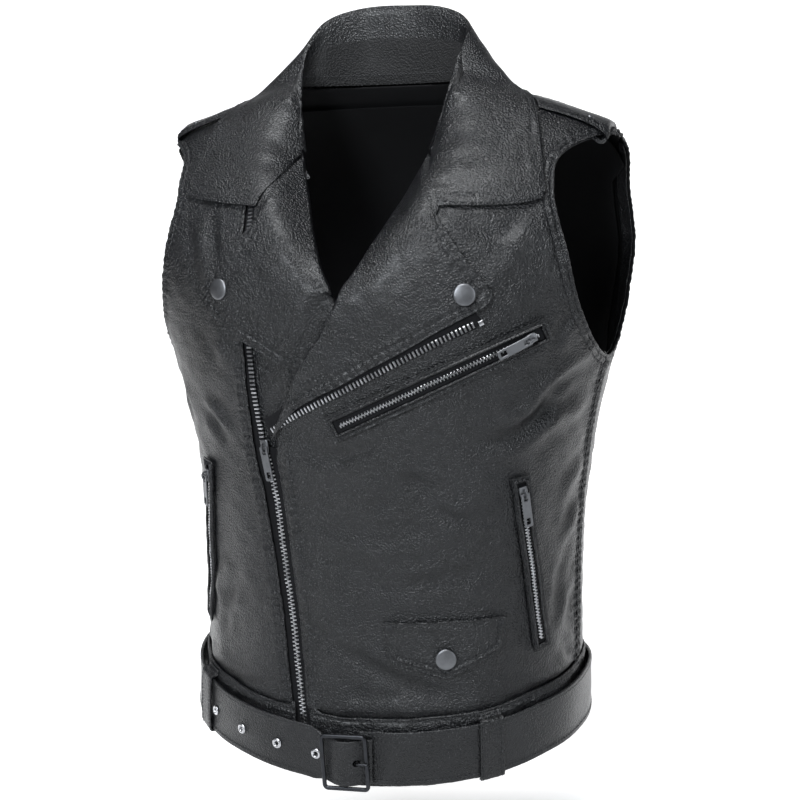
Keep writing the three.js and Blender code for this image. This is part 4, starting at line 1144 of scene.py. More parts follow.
@dataclass
class Cut:
    """A flat piece: its outline in runs that are each smooth, and the mesh inside it."""

    side: Side
    runs: list[Run]
    cell: float = 3.6
    edge: float = 1.6
    dense: list[Array] = field(default_factory=list)

    def outline(self) -> Array:
        """The outline's points along the cloth, anticlockwise.

        Returns:
            Its points, without a repeated last one.
        """
        step = self.cell * 0.55
        loops = [spline(flat(run), step)[:-1] if len(run) > 1 else flat(run) for run in self.runs]
        loop = np.vstack(loops)
        keep = [0]
        for i in range(1, len(loop)):
            if np.linalg.norm(loop[i] - loop[keep[-1]]) > step * 0.35:
                keep.append(i)
        loop = loop[keep]
        if np.linalg.norm(loop[0] - loop[-1]) < step * 0.35:
            loop = loop[:-1]
        nxt = np.roll(loop, -1, axis=0)
        area = (loop[:, 0] * nxt[:, 1] - nxt[:, 0] * loop[:, 1]).sum() / 2
        return loop if area > 0 else loop[::-1]

    def mesh(self) -> tuple[Array, list[tuple[int, ...]], Array, Array]:
        """Fills the outline with triangles.

        Returns:
            Points, triangles, each point's distance to the edge, and the outline.
        """
        loop = self.outline()
        closed = np.vstack([loop, loop[:1]])
        inner = []
        for share in (0.28, 0.62, 1.0, 2.0):
            off = self.edge * share
            ring = offset_path(closed, off)[:-1]
            inner.append(ring[nearest(closed, ring, 4).distance > off * 0.9])
        low, high = loop.min(axis=0), loop.max(axis=0)
        xs = np.arange(math.floor(low[0] / self.cell), math.ceil(high[0] / self.cell) + 1) * self.cell
        ys = np.arange(math.floor(low[1] / self.cell), math.ceil(high[1] / self.cell) + 1) * self.cell
        gx, gy = np.meshgrid(xs.astype(float), ys.astype(float))
        gx[1::2] += self.cell / 2
        grid = np.stack([gx.ravel(), gy.ravel()], axis=1)
        grid = grid[self.inside(loop, grid)]
        far = nearest(closed, grid, 12).distance
        grid = grid[far > self.edge * 2 + self.cell * 0.55]
        rows = self.beside(closed)
        if len(rows):
            for path in self.dense:
                grid = grid[nearest(path, grid, 8).distance > 3.4]
        points = np.vstack([loop, *inner, grid, *([rows] if len(rows) else [])])
        count = len(loop)
        edges = [(i, (i + 1) % count) for i in range(count)]
        made = delaunay_2d_cdt([Vector(p) for p in points], edges, [], 1, 1e-4)
        out = np.array([v[:] for v in made[0]])
        faces = [tuple(f) for f in made[2]]
        return out, faces, nearest(closed, out, 12).distance, loop

    def beside(self, closed: Array) -> Array:
        """Extra points beside the stitching lines, so that puckers come out.

        Args:
            closed: the outline.

        Returns:
            The points.
        """
        taken: list[Array] = []
        for path in self.dense:
            line = spline(path[::3], 1.9) if len(path) > 6 else path
            for off in (0.0, -1.1, 1.1, -2.7, 2.7):
                moved = offset_path(line, off)
                moved = moved[Cut.inside(closed[:-1], moved)]
                if len(moved):
                    moved = moved[nearest(closed, moved, 6).distance > self.edge * 2 + 0.5]
                for other in taken:
                    if len(moved):
                        moved = moved[nearest(other, moved, 4).distance > 0.8]
                if len(moved) > 1:
                    taken.append(moved)
        return np.vstack(taken) if taken else np.zeros((0, 2))

    @staticmethod
    def inside(loop: Array, points: Array) -> Array:
        """Which points lie inside a loop.

        Args:
            loop: the outline.
            points: the points.

        Returns:
            True for each that is inside.
        """
        found = np.zeros(len(points), bool)
        for a, b in zip(loop, np.roll(loop, -1, axis=0)):
            crosses = (a[1] > points[:, 1]) != (b[1] > points[:, 1])
            if crosses.any():
                at = a[0] + (points[:, 1] - a[1]) / (b[1] - a[1] + 1e-12) * (b[0] - a[0])
                found ^= crosses & (points[:, 0] < at)
        return found


Height = Callable[[Array, Array], Array] | float


def level(height: Height, s: Array, z: Array) -> Array:
    """Reads a height that is a number or a rule."""
    return height(s, z) if callable(height) else np.full(len(s), float(height))


@dataclass
class Sheet:
    """A piece of leather or cloth cut flat and laid at a height over the figure."""

    name: str
    cut: Cut
    low: Height
    thick: float
    relief: Relief
    finish: Finish = Finish.LEATHER
    inside: Finish | None = None
    nodes: tuple[str, ...] = ()
    held: Held = Held.HUNG
    rests: tuple[str, ...] = ()
    flat_size: Point | None = None

    def surface(self, flat_points: Array, above: float = 0.0) -> tuple[Array, Array]:
        """Points on the piece's outer face.

        Args:
            flat_points: pattern positions along the cloth.
            above: distance over the face.

        Returns:
            Points and normals.
        """
        s, z = flat_points[:, 0], FIGURE.height(flat_points[:, 1])
        height = level(self.low, s, z) + self.thick + self.relief.at(flat_points) + above
        return FIGURE.lift(self.cut.side, s, z, height)

    def build(self) -> bpy.types.Object:
        """Makes the piece and its rounded edges, and logs its flat cut.

        Returns:
            The object.
        """
        points, faces, edge, loop = self.cut.mesh()
        s, z = points[:, 0], FIGURE.height(points[:, 1])
        relief = self.relief.at(points)
        low = level(self.low, s, z) + relief
        inward = np.clip(1 - edge / self.cut.edge, 0, 1)
        rounding = self.thick * 0.46 * (1 - np.sqrt(1 - inward**2))
        top, _ = FIGURE.lift(self.cut.side, s, z, low + self.thick - rounding)
        bottom, _ = FIGURE.lift(self.cut.side, s, z, low + rounding)
        count = len(points)
        sides: dict[tuple[int, int], int] = {}
        for a, b, c in faces:
            for pair in ((a, b), (b, c), (c, a)):
                sides[pair] = sides.get(pair, 0) + 1
        rim = [(a, b) for a, b in sides if (b, a) not in sides]
        under = [(c + count, b + count, a + count) for a, b, c in faces]
        around = [(a, b, b + count, a + count) for a, b in rim]
        shape = Shape(np.vstack([top, bottom]), [*faces, *under, *around])
        shape.second = np.array([0] * len(faces) + [1] * len(under) + [0] * len(around))
        piece = put(self.name, shape, self.finish, "vest", self.nodes, self.inside)
        nxt = np.roll(loop, -1, axis=0)
        area = abs((loop[:, 0] * nxt[:, 1] - nxt[:, 0] * loop[:, 1]).sum() / 2)
        flat_size = self.flat_size or snug_box(loop)
        declare(piece, flat_size, self.held, self.rests, None if self.flat_size else area)
        return piece


def grid_shell(grid: Array, thick: float, edge: float = 0.9, loop: bool = False) -> Shape:
    """A shell over a grid of middle-surface points, with rounded rims.

    Args:
        grid: points, rows by columns by three.
        thick: its thickness.
        edge: how far the rounding reaches in from the rims.
        loop: whether the rows run round into the first again.

    Returns:
        The shape.
    """
    rows, columns = grid.shape[:2]
    ahead = np.roll(grid, -1, axis=0) - np.roll(grid, 1, axis=0) if loop else np.gradient(grid, axis=0)
    normal = np.cross(ahead, np.gradient(grid, axis=1))
    normal /= np.maximum(np.linalg.norm(normal, axis=2, keepdims=True), 1e-9)
    half = np.full((rows, columns), thick / 2)

    def narrow(distance: Array) -> Array:
        """Half thickness by distance from a rim."""
        inward = np.clip(1 - distance / edge, 0, 1)
        return thick / 2 * (0.08 + 0.92 * np.sqrt(1 - inward**2))

    gaps = np.linalg.norm(np.diff(grid, axis=1), axis=2)
    left = np.concatenate([np.zeros((rows, 1)), gaps.cumsum(axis=1)], axis=1)
    half = np.minimum(half, narrow(left))
    half = np.minimum(half, narrow(left[:, -1:] - left))
    if not loop:
        gaps = np.linalg.norm(np.diff(grid, axis=0), axis=2)
        top = np.concatenate([np.zeros((1, columns)), gaps.cumsum(axis=0)], axis=0)
        half = np.minimum(half, narrow(top))
        half = np.minimum(half, narrow(top[-1:] - top))
    upper = (grid + normal * half[..., None]).reshape(-1, 3)
    lower = (grid - normal * half[..., None]).reshape(-1, 3)
    count = rows * columns
    faces: list[tuple[int, ...]] = []
    last = rows if loop else rows - 1
    for i in range(last):
        k = (i + 1) % rows
        for j in range(columns - 1):
            quad = (i * columns + j, k * columns + j, k * columns + j + 1, i * columns + j + 1)
            faces.append(quad)
            faces.append(tuple(v + count for v in reversed(quad)))
        for j in (0, columns - 1):
            pair = (i * columns + j, k * columns + j)
            faces.append((pair[0], pair[1], pair[1] + count, pair[0] + count))
    if not loop:
        for i in (0, rows - 1):
            for j in range(columns - 1):
                pair = (i * columns + j, i * columns + j + 1)
                faces.append((pair[0], pair[1], pair[1] + count, pair[0] + count))
    return Shape(np.vstack([upper, lower]), faces)


def rim_spaced(width: float, step: float, edge: float = 0.9) -> Array:
    """Positions across a strip, close together at its rims.

    Args:
        width: the strip's width.
        step: spacing in its middle.
        edge: how far the rims reach.

    Returns:
        Positions from 0 to the width.
    """
    near = np.array([0, 0.25, 0.6, 1.0]) * edge
    inner = np.linspace(edge, width - edge, max(int((width - 2 * edge) / step), 1) + 1)[1:-1]
    return np.concatenate([near, inner, width - near[::-1]])


def sweep(path: Array, section: Array, ups: Array, loop: bool = False) -> Shape:
    """Carries a closed section along a path.

    Args:
        path: points of the path.
        section: section's points, across and up.
        ups: the up direction at each path point.
        loop: whether the path closes on itself.

    Returns:
        The shape.
    """
    way = np.roll(path, -1, axis=0) - np.roll(path, 1, axis=0) if loop else np.gradient(path, axis=0)
    way /= np.linalg.norm(way, axis=1, keepdims=True)
    across = np.cross(way, ups)
    across /= np.linalg.norm(across, axis=1, keepdims=True)
    up = np.cross(across, way)
    points = path[:, None] + across[:, None] * section[None, :, :1] + up[:, None] * section[None, :, 1:]
    rows, columns = points.shape[:2]
    faces: list[tuple[int, ...]] = []
    for i in range(rows if loop else rows - 1):
        k = (i + 1) % rows
        for j in range(columns):
            n = (j + 1) % columns
            faces.append((i * columns + j, i * columns + n, k * columns + n, k * columns + j))
    if not loop:
        faces.append(tuple(range(columns)))
        faces.append(tuple((rows - 1) * columns + j for j in reversed(range(columns))))
    return Shape(points.reshape(-1, 3), faces)


def rounded(width: float, height: float, count: int = 12, square: float = 3.0) -> Array:
    """A rounded section.

    Args:
        width: full width.
        height: full height.
        count: number of points.
        square: corner squareness.

    Returns:
        Its points.
    """
    turn = np.linspace(0, 2 * math.pi, count, endpoint=False)
    c, s = np.cos(turn), np.sin(turn)
    x = np.sign(c) * np.abs(c) ** (2 / square) * width / 2
    y = np.sign(s) * np.abs(s) ** (2 / square) * height / 2
    return np.stack([x, y], axis=1)


@dataclass(frozen=True)
class Place:
    """A local frame on the vest: X along a pattern direction, Z out of the leather."""

    origin: Array
    axes: Array

    def move(self, points: Array) -> Array:
        """Local points carried to the vest."""
        return self.origin + points @ self.axes

    @staticmethod
    def at(origin: Array, ahead: Array, normal: Array) -> Place:
        """Frame at a point, towards another, with a given outward direction.

        Args:
            origin: the point.
            ahead: a point that X looks at.
            normal: outward direction.

        Returns:
            The frame.
        """
        along_x = ahead - origin
        along_x = along_x - normal * (along_x @ normal)
        along_x /= np.linalg.norm(along_x)
        return Place(origin, np.array([along_x, np.cross(normal, along_x), normal]))


def lathe(profile: Sequence[Point], sides: int = 40) -> Shape:
    """A turned shape about Z.

    Args:
        profile: radius and height, from one end to the other; a closed one repeats its start.
        sides: number of sides.

    Returns:
        The shape.
    """
    turn = np.linspace(0, 2 * math.pi, sides, endpoint=False)
    ring = np.stack([np.cos(turn), np.sin(turn)], axis=1)
    points = np.vstack([np.column_stack([ring * max(r, 0.001), np.full(sides, h)]) for r, h in profile])
    faces: list[tuple[int, ...]] = []
    for i in range(len(profile) - 1):
        for j in range(sides):
            k = (j + 1) % sides
            faces.append((i * sides + j, i * sides + k, (i + 1) * sides + k, (i + 1) * sides + j))
    if profile[0] != profile[-1]:
        faces.append(tuple(reversed(range(sides))))
        faces.append(tuple((len(profile) - 1) * sides + j for j in range(sides)))
    return Shape(points, faces)


def stitches(
    points: Array, normals: Array, pitch: float = 3.6, long: float = 2.6, thick: float = 0.75,
) -> Shape:
    """A row of sewn stitches.

    Args:
        points: the thread's path on the leather, closely spaced.
        normals: outward directions there.
        pitch: from one stitch to the next.
        long: length of a stitch.
        thick: the thread's thickness.

    Returns:
        The stitches in one shape.
    """
    gaps = np.linalg.norm(np.diff(points, axis=0), axis=1)
    arc = np.concatenate([[0], gaps.cumsum()])
    starts = np.arange(0.1, max(arc[-1] - long, 0.2), pitch)
    ring = np.array([[math.cos(a), math.sin(a)] for a in np.linspace(0, 2 * math.pi, 6, endpoint=False)])
    spans = ((0.0, 0.35, -0.35), (0.2, 0.95, 0.1), (0.5, 1.0, 0.28), (0.8, 0.95, 0.1), (1.0, 0.35, -0.35))
    shapes = []
    for start in starts:
        at = start + np.array([span[0] for span in spans]) * long
        centre = np.stack([np.interp(at, arc, points[:, k]) for k in range(3)], axis=1)
        out = np.stack([np.interp(at, arc, normals[:, k]) for k in range(3)], axis=1)
        way = centre[-1] - centre[0]
        way /= np.linalg.norm(way)
        across = np.cross(way, out[2])
        across /= np.linalg.norm(across)
        rows = []
        for (_, girth, rise), c, n in zip(spans, centre, out):
            middle = c + n * rise * thick
            offset = across * ring[:, :1] + n * ring[:, 1:] * 0.8
            rows.append(middle + offset * (thick / 2 * girth))
        faces = []
        for i in range(len(spans) - 1):
            for j in range(6):
                k = (j + 1) % 6
                faces.append((i * 6 + j, i * 6 + k, (i + 1) * 6 + k, (i + 1) * 6 + j))
        faces.append(tuple(range(6)))
        faces.append(tuple(24 + j for j in reversed(range(6))))
        shapes.append(Shape(np.vstack(rows), faces))
    return Shape.join(shapes)


def teeth(path: Array, normals: Array, pitch: float, reach: float, both: bool, side: float = 1.0) -> Shape:
    """A zip's metal teeth along a path.

    Args:
        path: middle line of the chain, closely spaced.
        normals: outward directions there.
        pitch: spacing of the teeth on one tape.
        reach: length of a tooth across the tape.
        both: whether both tapes' teeth are there, meshed.
        side: which side the tape is on for a single row.

    Returns:
        The teeth in one shape.
    """
    gaps = np.linalg.norm(np.diff(path, axis=0), axis=1)
    arc = np.concatenate([[0], gaps.cumsum()])
    shapes = []
    step = pitch / 2 if both else pitch
    half = pitch * (0.2 if both else 0.25)
    for number, at in enumerate(np.arange(step, arc[-1] - step / 2, step)):
        centre = np.array([np.interp(at, arc, path[:, k]) for k in range(3)])
        ahead = np.array([np.interp(at + 0.5, arc, path[:, k]) for k in range(3)])
        out = np.array([np.interp(at, arc, normals[:, k]) for k in range(3)])
        way = ahead - centre
        way /= np.linalg.norm(way)
        across = np.cross(out, way) * ((1 if number % 2 else -1) if both else side)
        lie = -0.75 if both else -0.4
        box = []
        for along_share in (-1, 1):
            for u, v in (
                (lie, 0.0), (lie, 1.0), (lie + 0.5, 1.65), (reach - 0.7, 1.65), (reach, 1.0), (reach, 0.0),
            ):
                neck = 0.72 if v > 1.5 else 1.0
                box.append(centre + across * u + out * (v - 0.5) + way * along_share * half * neck)
        faces = [(5, 4, 3, 2, 1, 0), (6, 7, 8, 9, 10, 11)]
        faces += [(i, (i + 1) % 6, (i + 1) % 6 + 6, i + 6) for i in range(6)]
        shapes.append(Shape(np.array(box), faces))
    return Shape.join(shapes)


# The pattern's outlines ----------------------------------------------------------------------

GAP = 0.3
# The wearer's right front reaches further into its armhole near the shoulder.
RIGHT_HOLE_FILL, RIGHT_HOLE_Z, RIGHT_HOLE_SPAN = 10.5, -80.0, 26.0
ROLL_TRIM = 3.4
TURNED = 4.0
LEFT_ROLL: Run = [(-14, -212), (-37, -245), (-46, -266), (-58, -290), (-63, -304)]
OPEN_TEETH: Run = [(-62, -297), (-33, -279), (4, -260), (30, -246.5), (54, -234), (86, -218), (118, -203)]
STRIP_EDGE: Run = [(-46, -314), (-44, -342), (-40, -394), (-35, -445), (-31, -498), (-27, -542)]
CHEST_PATH: Run = [(1, -286), (42, -266.5), (84, -247), (126, -229), (167, -213.5)]
HAND_PATH: Run = [(152, -342), (156.5, -380), (163, -420), (168, -455), (172.5, -481)]


def linked(*runs: Run) -> list[Run]:
    """Runs joined into one outline: each ends where the next begins."""
    return [[*run, runs[(k + 1) % len(runs)][0]] for k, run in enumerate(runs)]


def fold_arc(z: float) -> float:
    """Front arc of the line where the open front folds out, at a height."""
    return FIGURE.arc_of(float(FIGURE.fold.read("x", z)), z)


def zip_row(name: str, z: float) -> float:
    """Arc of a line of the main zip at a height."""
    return float(FIGURE.zip.read(name, z))


def seam_at(z: float) -> float:
    """Arc of the side seam at a height, as a plain number."""
    return float(FIGURE.seam_arc(z))


def to_back(point: Point) -> Point:
    """A left front position carried to the back's chart."""
    s, z = point
    return (-(float(FIGURE.half_girth(z)) - s), z)


def armhole_point(share: float) -> Point:
    """A point of the left armhole in the front's chart.

    Args:
        share: way round, from the lowest point forwards and up.

    Returns:
        The position.
    """
    turn = share * 2 * math.pi
    reach_y = ARMHOLE_REACH["front" if math.sin(turn) > 0 else "back"]
    reach_z = ARMHOLE_REACH["down" if math.cos(turn) > 0 else "up"]
    y = ARMHOLE_CENTRE[0] - math.sin(turn) * reach_y
    z = ARMHOLE_CENTRE[1] - math.cos(turn) * reach_z
    read = FIGURE.body.read
    centre = float(read("centre", z))
    front = y < centre
    reach = abs(float(read("front" if front else "back", z)) - centre)
    power = float(read("square_front" if front else "square_back", z))
    angle = math.acos(min(abs(y - centre) / reach, 1) ** (power / 2))
    return (FIGURE.arc_at(angle if front else math.pi - angle, z), z)


class Pattern:
    """Edges that the pieces share."""

    RING = 132

    def __init__(self) -> None:
        """Works the edges out from the figure."""
        ring = [armhole_point(k / self.RING) for k in range(self.RING + 1)]
        seam = next(i for i, (s, z) in enumerate(ring) if i > 0 and s < seam_at(z))
        top = next(i for i, (s, z) in enumerate(ring) if i > 18 and s > float(FIGURE.side_arc(z)))
        self.arm_low = (ring[seam - 1][1] + ring[seam][1]) / 2
        self.front_hole = ring[seam:top]
        self.back_hole = [to_back(p) for p in reversed([*ring[top:], *ring[1:seam]])]
        self.right_hole = [
            (s + RIGHT_HOLE_FILL * math.exp(-(((z - RIGHT_HOLE_Z) / RIGHT_HOLE_SPAN) ** 2)), z)
            for s, z in self.front_hole
        ]
        self.arm_top = self.front_hole[-1][1]
        self.neck = [(FIGURE.arc_of(x, z), z) for z, x in ((-20, 77), (-34, 70), (-50, 63.5), (-66, 58.5))]
        self.shoulder = along(self.arm_top + 1, -12, 18, lambda z: (float(FIGURE.side_arc(z)) - SEAM_GAP, z))
        low = FIGURE.waist_row("seam", 232) + GAP
        self.side = along(low, self.arm_low, 22, lambda z: (seam_at(z) - SEAM_GAP, z))
        self.fold = along(-80, -186, 9, lambda z: (fold_arc(z), z))
        self.lapel_fold = along(-73, -186, 9, lambda z: (fold_arc(z), z))
        low = FIGURE.waist_row("seam", 254, Side.BACK) + GAP
        self.back_side = along(low, self.arm_low, 22, lambda z: to_back((seam_at(z) + SEAM_GAP, z)))
        self.back_shoulder = along(
            self.arm_top + 1, -11, 18, lambda z: to_back((float(FIGURE.side_arc(z)) + SEAM_GAP, z)),
        )
        self.gorge = (FIGURE.arc_of(56.5, -71), -71.0)

    def waist(self, start: float, end: float, count: int, side: Side = Side.FRONT) -> Run:
        """The waist seam between two arcs."""
        return along(start, end, count, lambda s: (s, FIGURE.waist_row("seam", s, side) + GAP))

    def front_left(self) -> list[Run]:
        """Outline of the wearer's left front, with its seam allowances."""
        trimmed = [(s + ROLL_TRIM, z) for s, z in (*self.fold, *LEFT_ROLL[:-1])]
        zip_edge = along(-318, -538, 8, lambda z: (zip_row("left_edge", z), z))
        hem = self.allowance(zip_row("left_edge", -546), seam_at(-530) + TURNED, 16)
        side = [(s + SEAM_GAP + TURNED, z) for s, z in self.side]
        shoulder = [(s + SEAM_GAP + TURNED, z) for s, z in self.shoulder]
        return linked(hem, side[1:], self.front_hole[1:-1], shoulder, self.neck, trimmed, zip_edge)

    def allowance(self, start: float, end: float, count: int, side: Side = Side.FRONT) -> Run:
        """The lower edge of the allowance turned under the waistband."""
        return [(s, z - GAP - TURNED) for s, z in self.waist(start, end, count, side)]

    def front_right(self) -> list[Run]:
        """Outline of the wearer's right front."""
        hem = self.allowance(zip_row("right_edge", -546), -TURNED - seam_at(-530), 12)
        side = [(s + SEAM_GAP + TURNED, z) for s, z in self.side[1:]]
        shoulder = [(s + SEAM_GAP + TURNED, z) for s, z in self.shoulder]
        edges = [mirrored(run) for run in (side, self.right_hole[1:-1], shoulder, self.neck)]
        top = [(-fold_arc(-80), -80.0), (-fold_arc(-89), -89.0), (zip_row("right_edge", -92) - 1, -89.0)]
        zip_edge = along(-96, -538, 16, lambda z: (zip_row("right_edge", z), z))
        return linked(hem, *edges, top, zip_edge)

    def underlap(self) -> list[Run]:
        """Outline of the under-lap."""
        outer = along(-96, -330, 9, lambda z: (zip_row("right_edge", z) + 3, z))
        inner = along(-186, -96, 8, lambda z: (-fold_arc(z) - 9, z))
        return linked(outer, [(-24, -330), (-14, -262), (-10, -212)], inner)

    def back(self) -> list[Run]:
        """Outline of the back panel."""
        reach = -self.back_side[0][0]
        right = [
            mirrored(list(reversed(run))) for run in (self.back_shoulder, self.back_hole, self.back_side)
        ]
        hem = self.allowance(reach, -reach, 30, Side.BACK)
        return linked(hem, self.back_side, self.back_hole, self.back_shoulder, *right)

    def lining(self) -> list[Run]:
        """Outline of the back lining."""
        low = along(-505, self.arm_low - 18, 8, lambda z: to_back((seam_at(z) + 6, z)))
        hole = []
        for s, z in self.back_hole:
            if s > -252 and z < -96:
                off = max(0.0, 1 - (z - self.arm_low) / 60)
                hole.append((s + 17 + 6 * off, z - 14 * off))
        top = along(-84, -26, 3, lambda z: to_back((float(FIGURE.side_arc(z)) + 27, z)))
        half = [low, hole, top]
        return linked(*half, *[mirrored(list(reversed(run))) for run in reversed(half)])

    def facing(self, side: Side, width: float = 14) -> list[Run]:
        """Outline of one armhole facing."""
        line = self.front_hole[:-9] if side is Side.FRONT else self.back_hole[2:-2]
        moved = offset_path(spline(flat(line), 3), width if side is Side.FRONT else -width)
        inner = [(float(s), float(FIGURE.height(w))) for s, w in moved]
        return linked(line, list(reversed(inner)))

    def bands(self) -> dict[str, tuple[Side, list[Run]]]:
        """Outlines of the waistband's three lengths."""
        row = FIGURE.waist_row
        side = seam_at(-550)
        up = along(row("hem", side), row("seam", side) - GAP, 3, lambda z: (seam_at(z) - SEAM_GAP, z))
        back_up = [(float(FIGURE.half_girth(z)) - seam_at(z) - SEAM_GAP, z) for _, z in up]

        def band(start: float, end: float, rise: Run, chart: Side) -> list[Run]:
            """One length."""
            low = along(start, end, 24, lambda s: (s, row("hem", s, chart)))
            high = along(end, start, 24, lambda s: (s, row("seam", s, chart) - GAP))
            return linked(low[:-1], rise, high[1:])

        reach = back_up[0][0]
        hem = along(-reach, reach, 30, lambda s: (s, row("hem", s, Side.BACK)))
        top = along(reach, -reach, 30, lambda s: (s, row("seam", s, Side.BACK) - GAP))
        down = mirrored(back_up)
        back = linked(hem[1:-1], back_up, top[1:-1], list(reversed(down)))
        return {
            "left": (Side.FRONT, band(zip_row("left_edge", -570), side, up, Side.FRONT)),
            "right": (Side.FRONT, band(zip_row("right_edge", -570), -side, mirrored(up), Side.FRONT)),
            "back": (Side.BACK, back),
        }

    def left_lapel(self) -> list[Run]:
        """Outline of the left lapel, from the gorge down the roll."""
        lower = [
            (-63, -304), (-39, -276), (-18, -263), (4, -252), (30, -237.5), (54, -225), (86, -207),
            (110, -195),
        ]
        tip = [(110, -195), (121, -189.5), (126.5, -184), (127, -178), (121, -169.5)]
        upper = [(121, -169.5), (105, -151), (88, -129), (79, -117)]
        hidden = [upper[-1], (81, -109), (77, -95), (68, -80), self.gorge]
        return [[*self.lapel_fold, *LEFT_ROLL], lower, tip, upper, hidden, [self.gorge, self.lapel_fold[0]]]

    def right_lapel(self) -> list[Run]:
        """Outline of the right lapel."""
        fold = [(-self.gorge[0], self.gorge[1]), *mirrored(self.lapel_fold)]
        hidden = [fold[-1], (-2, -212), (-9, -240), (-20, -253)]
        lower = [(-20, -253), (-37, -244), (-70, -226.5), (-103, -210), (-124, -194)]
        tip = [(-124, -194), (-131, -187.5), (-133.5, -182), (-131, -177)]
        upper = [(-131, -177), (-94, -141), (-80, -121)]
        under = [upper[-1], (-82, -109), (-77, -95), (-68, -80), fold[0]]
        return [fold, hidden, lower, tip, upper, under]

    @staticmethod
    def flap() -> list[Run]:
        """Outline of the pocket flap."""
        return [
            [(32.8, -454.7), (68, -454.4), (103, -453.8), (137.8, -453)],
            [(137.8, -453), (137.2, -474)],
            [(137.2, -474), (134.5, -481), (128, -485.5)],
            [(128, -485.5), (108, -494.5), (90, -502.5)],
            [(90, -502.5), (86.6, -504), (83, -502.8)],
            [(83, -502.8), (62, -496.5), (44, -491)],
            [(44, -491), (39, -487.5), (36.5, -481)],
            [(36.5, -481), (32.8, -454.7)],
        ]


PATTERN = Pattern()


# Creases of the worn leather -----------------------------------------------------------------

FRONT_CREASES = (
    Crease([(225, -233.5), (175, -257), (152, -286)], -1.7, 7.5, seed=2),
    Crease([(237, -246), (191, -262), (152, -298.5), (109, -300)], 2.3, 6.5, 0.1, 3),
    Crease([(230, -259), (176, -283), (134, -297)], 1.8, 5.5, -0.1, 4),
    Crease([(201, -192.5), (188, -212), (181, -228)], 1.3, 5, seed=5),
    Crease([(248, -276), (193, -290.5), (152, -306)], -1.5, 7, seed=6),
    Crease([(244, -334), (215, -348), (197, -366)], -1.6, 6.5, seed=7),
    Crease([(259, -352), (222.5, -370.5), (200, -392)], 1.9, 6, 0.12, 8),
    Crease([(237, -430.5), (209, -458), (198, -483)], -1.4, 7, seed=9),
    Crease([(215, -405), (199, -432), (193, -462)], 1.5, 6, seed=10),
    Crease([(95, -349), (58, -333), (22, -362)], 1.2, 6.5, seed=11),
    Crease([(58, -333), (90, -366), (133, -365.5)], 1.5, 6, seed=12),
    Crease([(-24, -388), (31, -394), (81, -382)], -1.3, 8, seed=13),
    Crease([(4, -422), (60, -423), (106, -414), (140, -419)], 1.2, 7, seed=14),
    Crease([(-26, -469), (3, -486), (47, -507), (94, -520)], 1.8, 6.5, 0.1, 15),
    Crease([(231, -523), (168, -525), (124, -527)], 1.5, 5, seed=16),
    Crease([(-20, -533), (47, -529), (107, -527)], -1.5, 5.5, seed=17),
    Crease([(199, -490), (222.5, -512), (249, -534)], 1.4, 5.5, seed=18),
    Crease([(-37, -290), (-20, -315), (13, -308), (39, -297)], 1.5, 6, seed=19),
    Crease([(-144, -277), (-125, -287), (-108, -301)], -1.6, 6, seed=20),
    Crease([(-145, -288), (-131, -301), (-119, -315)], 1.7, 5.5, seed=21),
    Crease([(-121, -421), (-149, -449), (-145, -470.5)], -1.5, 6.5, seed=22),
    Crease([(-117, -439), (-131, -461), (-135, -485)], 1.5, 6, seed=23),
    Crease([(-119, -203.5), (-113, -224.5), (-108.5, -251)], -1.3, 7, seed=24),
    Crease([(98, -117), (113, -128), (136, -131.5), (142, -116.5)], 1.3, 5.5, seed=25),
    Crease([(124, -170), (145, -146), (164, -120)], -1.4, 8, seed=26),
    Crease([(176, -119), (181, -139.5), (180, -163)], 1.3, 6, seed=27),
    Crease([(-124, -111), (-121, -133), (-115.5, -151)], 1.2, 6, seed=28),
    Crease([(-138, -129), (-131, -155), (-122, -174)], -1.3, 6.5, seed=29),
    Crease([(-222, -262), (-196, -276), (-178, -300)], 1.8, 6.5, seed=30),
    Crease([(-240, -300), (-212, -322), (-190, -330)], 1.6, 6, 0.1, 31),
    Crease([(-236, -392), (-208, -412), (-184, -446)], 1.5, 7, seed=32),
    Crease([(-240, -470), (-214, -500), (-180, -522)], 1.7, 6, seed=33),
    Crease([(-70, -520), (-112, -529), (-160, -526)], 1.4, 5, seed=34),
)
BACK_CREASES = (
    Crease([(-226, -262), (-186, -292), (-148, -300)], 2.0, 7, 0.1, 40),
    Crease([(-212, -290), (-176, -318), (-150, -322)], 1.5, 6, seed=41),
    Crease([(224, -258), (190, -280), (140, -306), (112, -304)], 2.1, 7, seed=42),
    Crease([(214, -300), (186, -316), (166, -342)], 1.4, 6, seed=43),
    Crease([(-196, -378), (-150, -398), (-92, -396), (-44, -404)], 1.6, 8, seed=44),
    Crease([(36, -430), (92, -422), (150, -436), (190, -424)], 1.8, 8, 0.1, 45),
    Crease([(-180, -468), (-120, -486), (-52, -480)], 1.9, 7, seed=46),
    Crease([(-30, -512), (42, -506), (118, -514)], 1.6, 6.5, seed=47),
    Crease([(140, -486), (186, -500), (216, -522)], 1.7, 6, seed=48),
    Crease([(-214, -506), (-166, -522), (-110, -524)], 1.4, 5.5, seed=49),
    Crease([(-60, -156), (-20, -168), (40, -160)], 0.9, 11, seed=50),
    Crease([(-128, -176), (-118, -220), (-124, -260)], 1.0, 9, seed=51),
    Crease([(132, -184), (120, -226), (128, -262)], 1.1, 9, seed=52),
    Crease([(-10, -262), (8, -320), (-4, -366)], 0.8, 12, seed=53),
)
SPREAD = {Side.FRONT: Relief(Side.FRONT, FRONT_CREASES), Side.BACK: Relief(Side.BACK, BACK_CREASES, seed=60)}


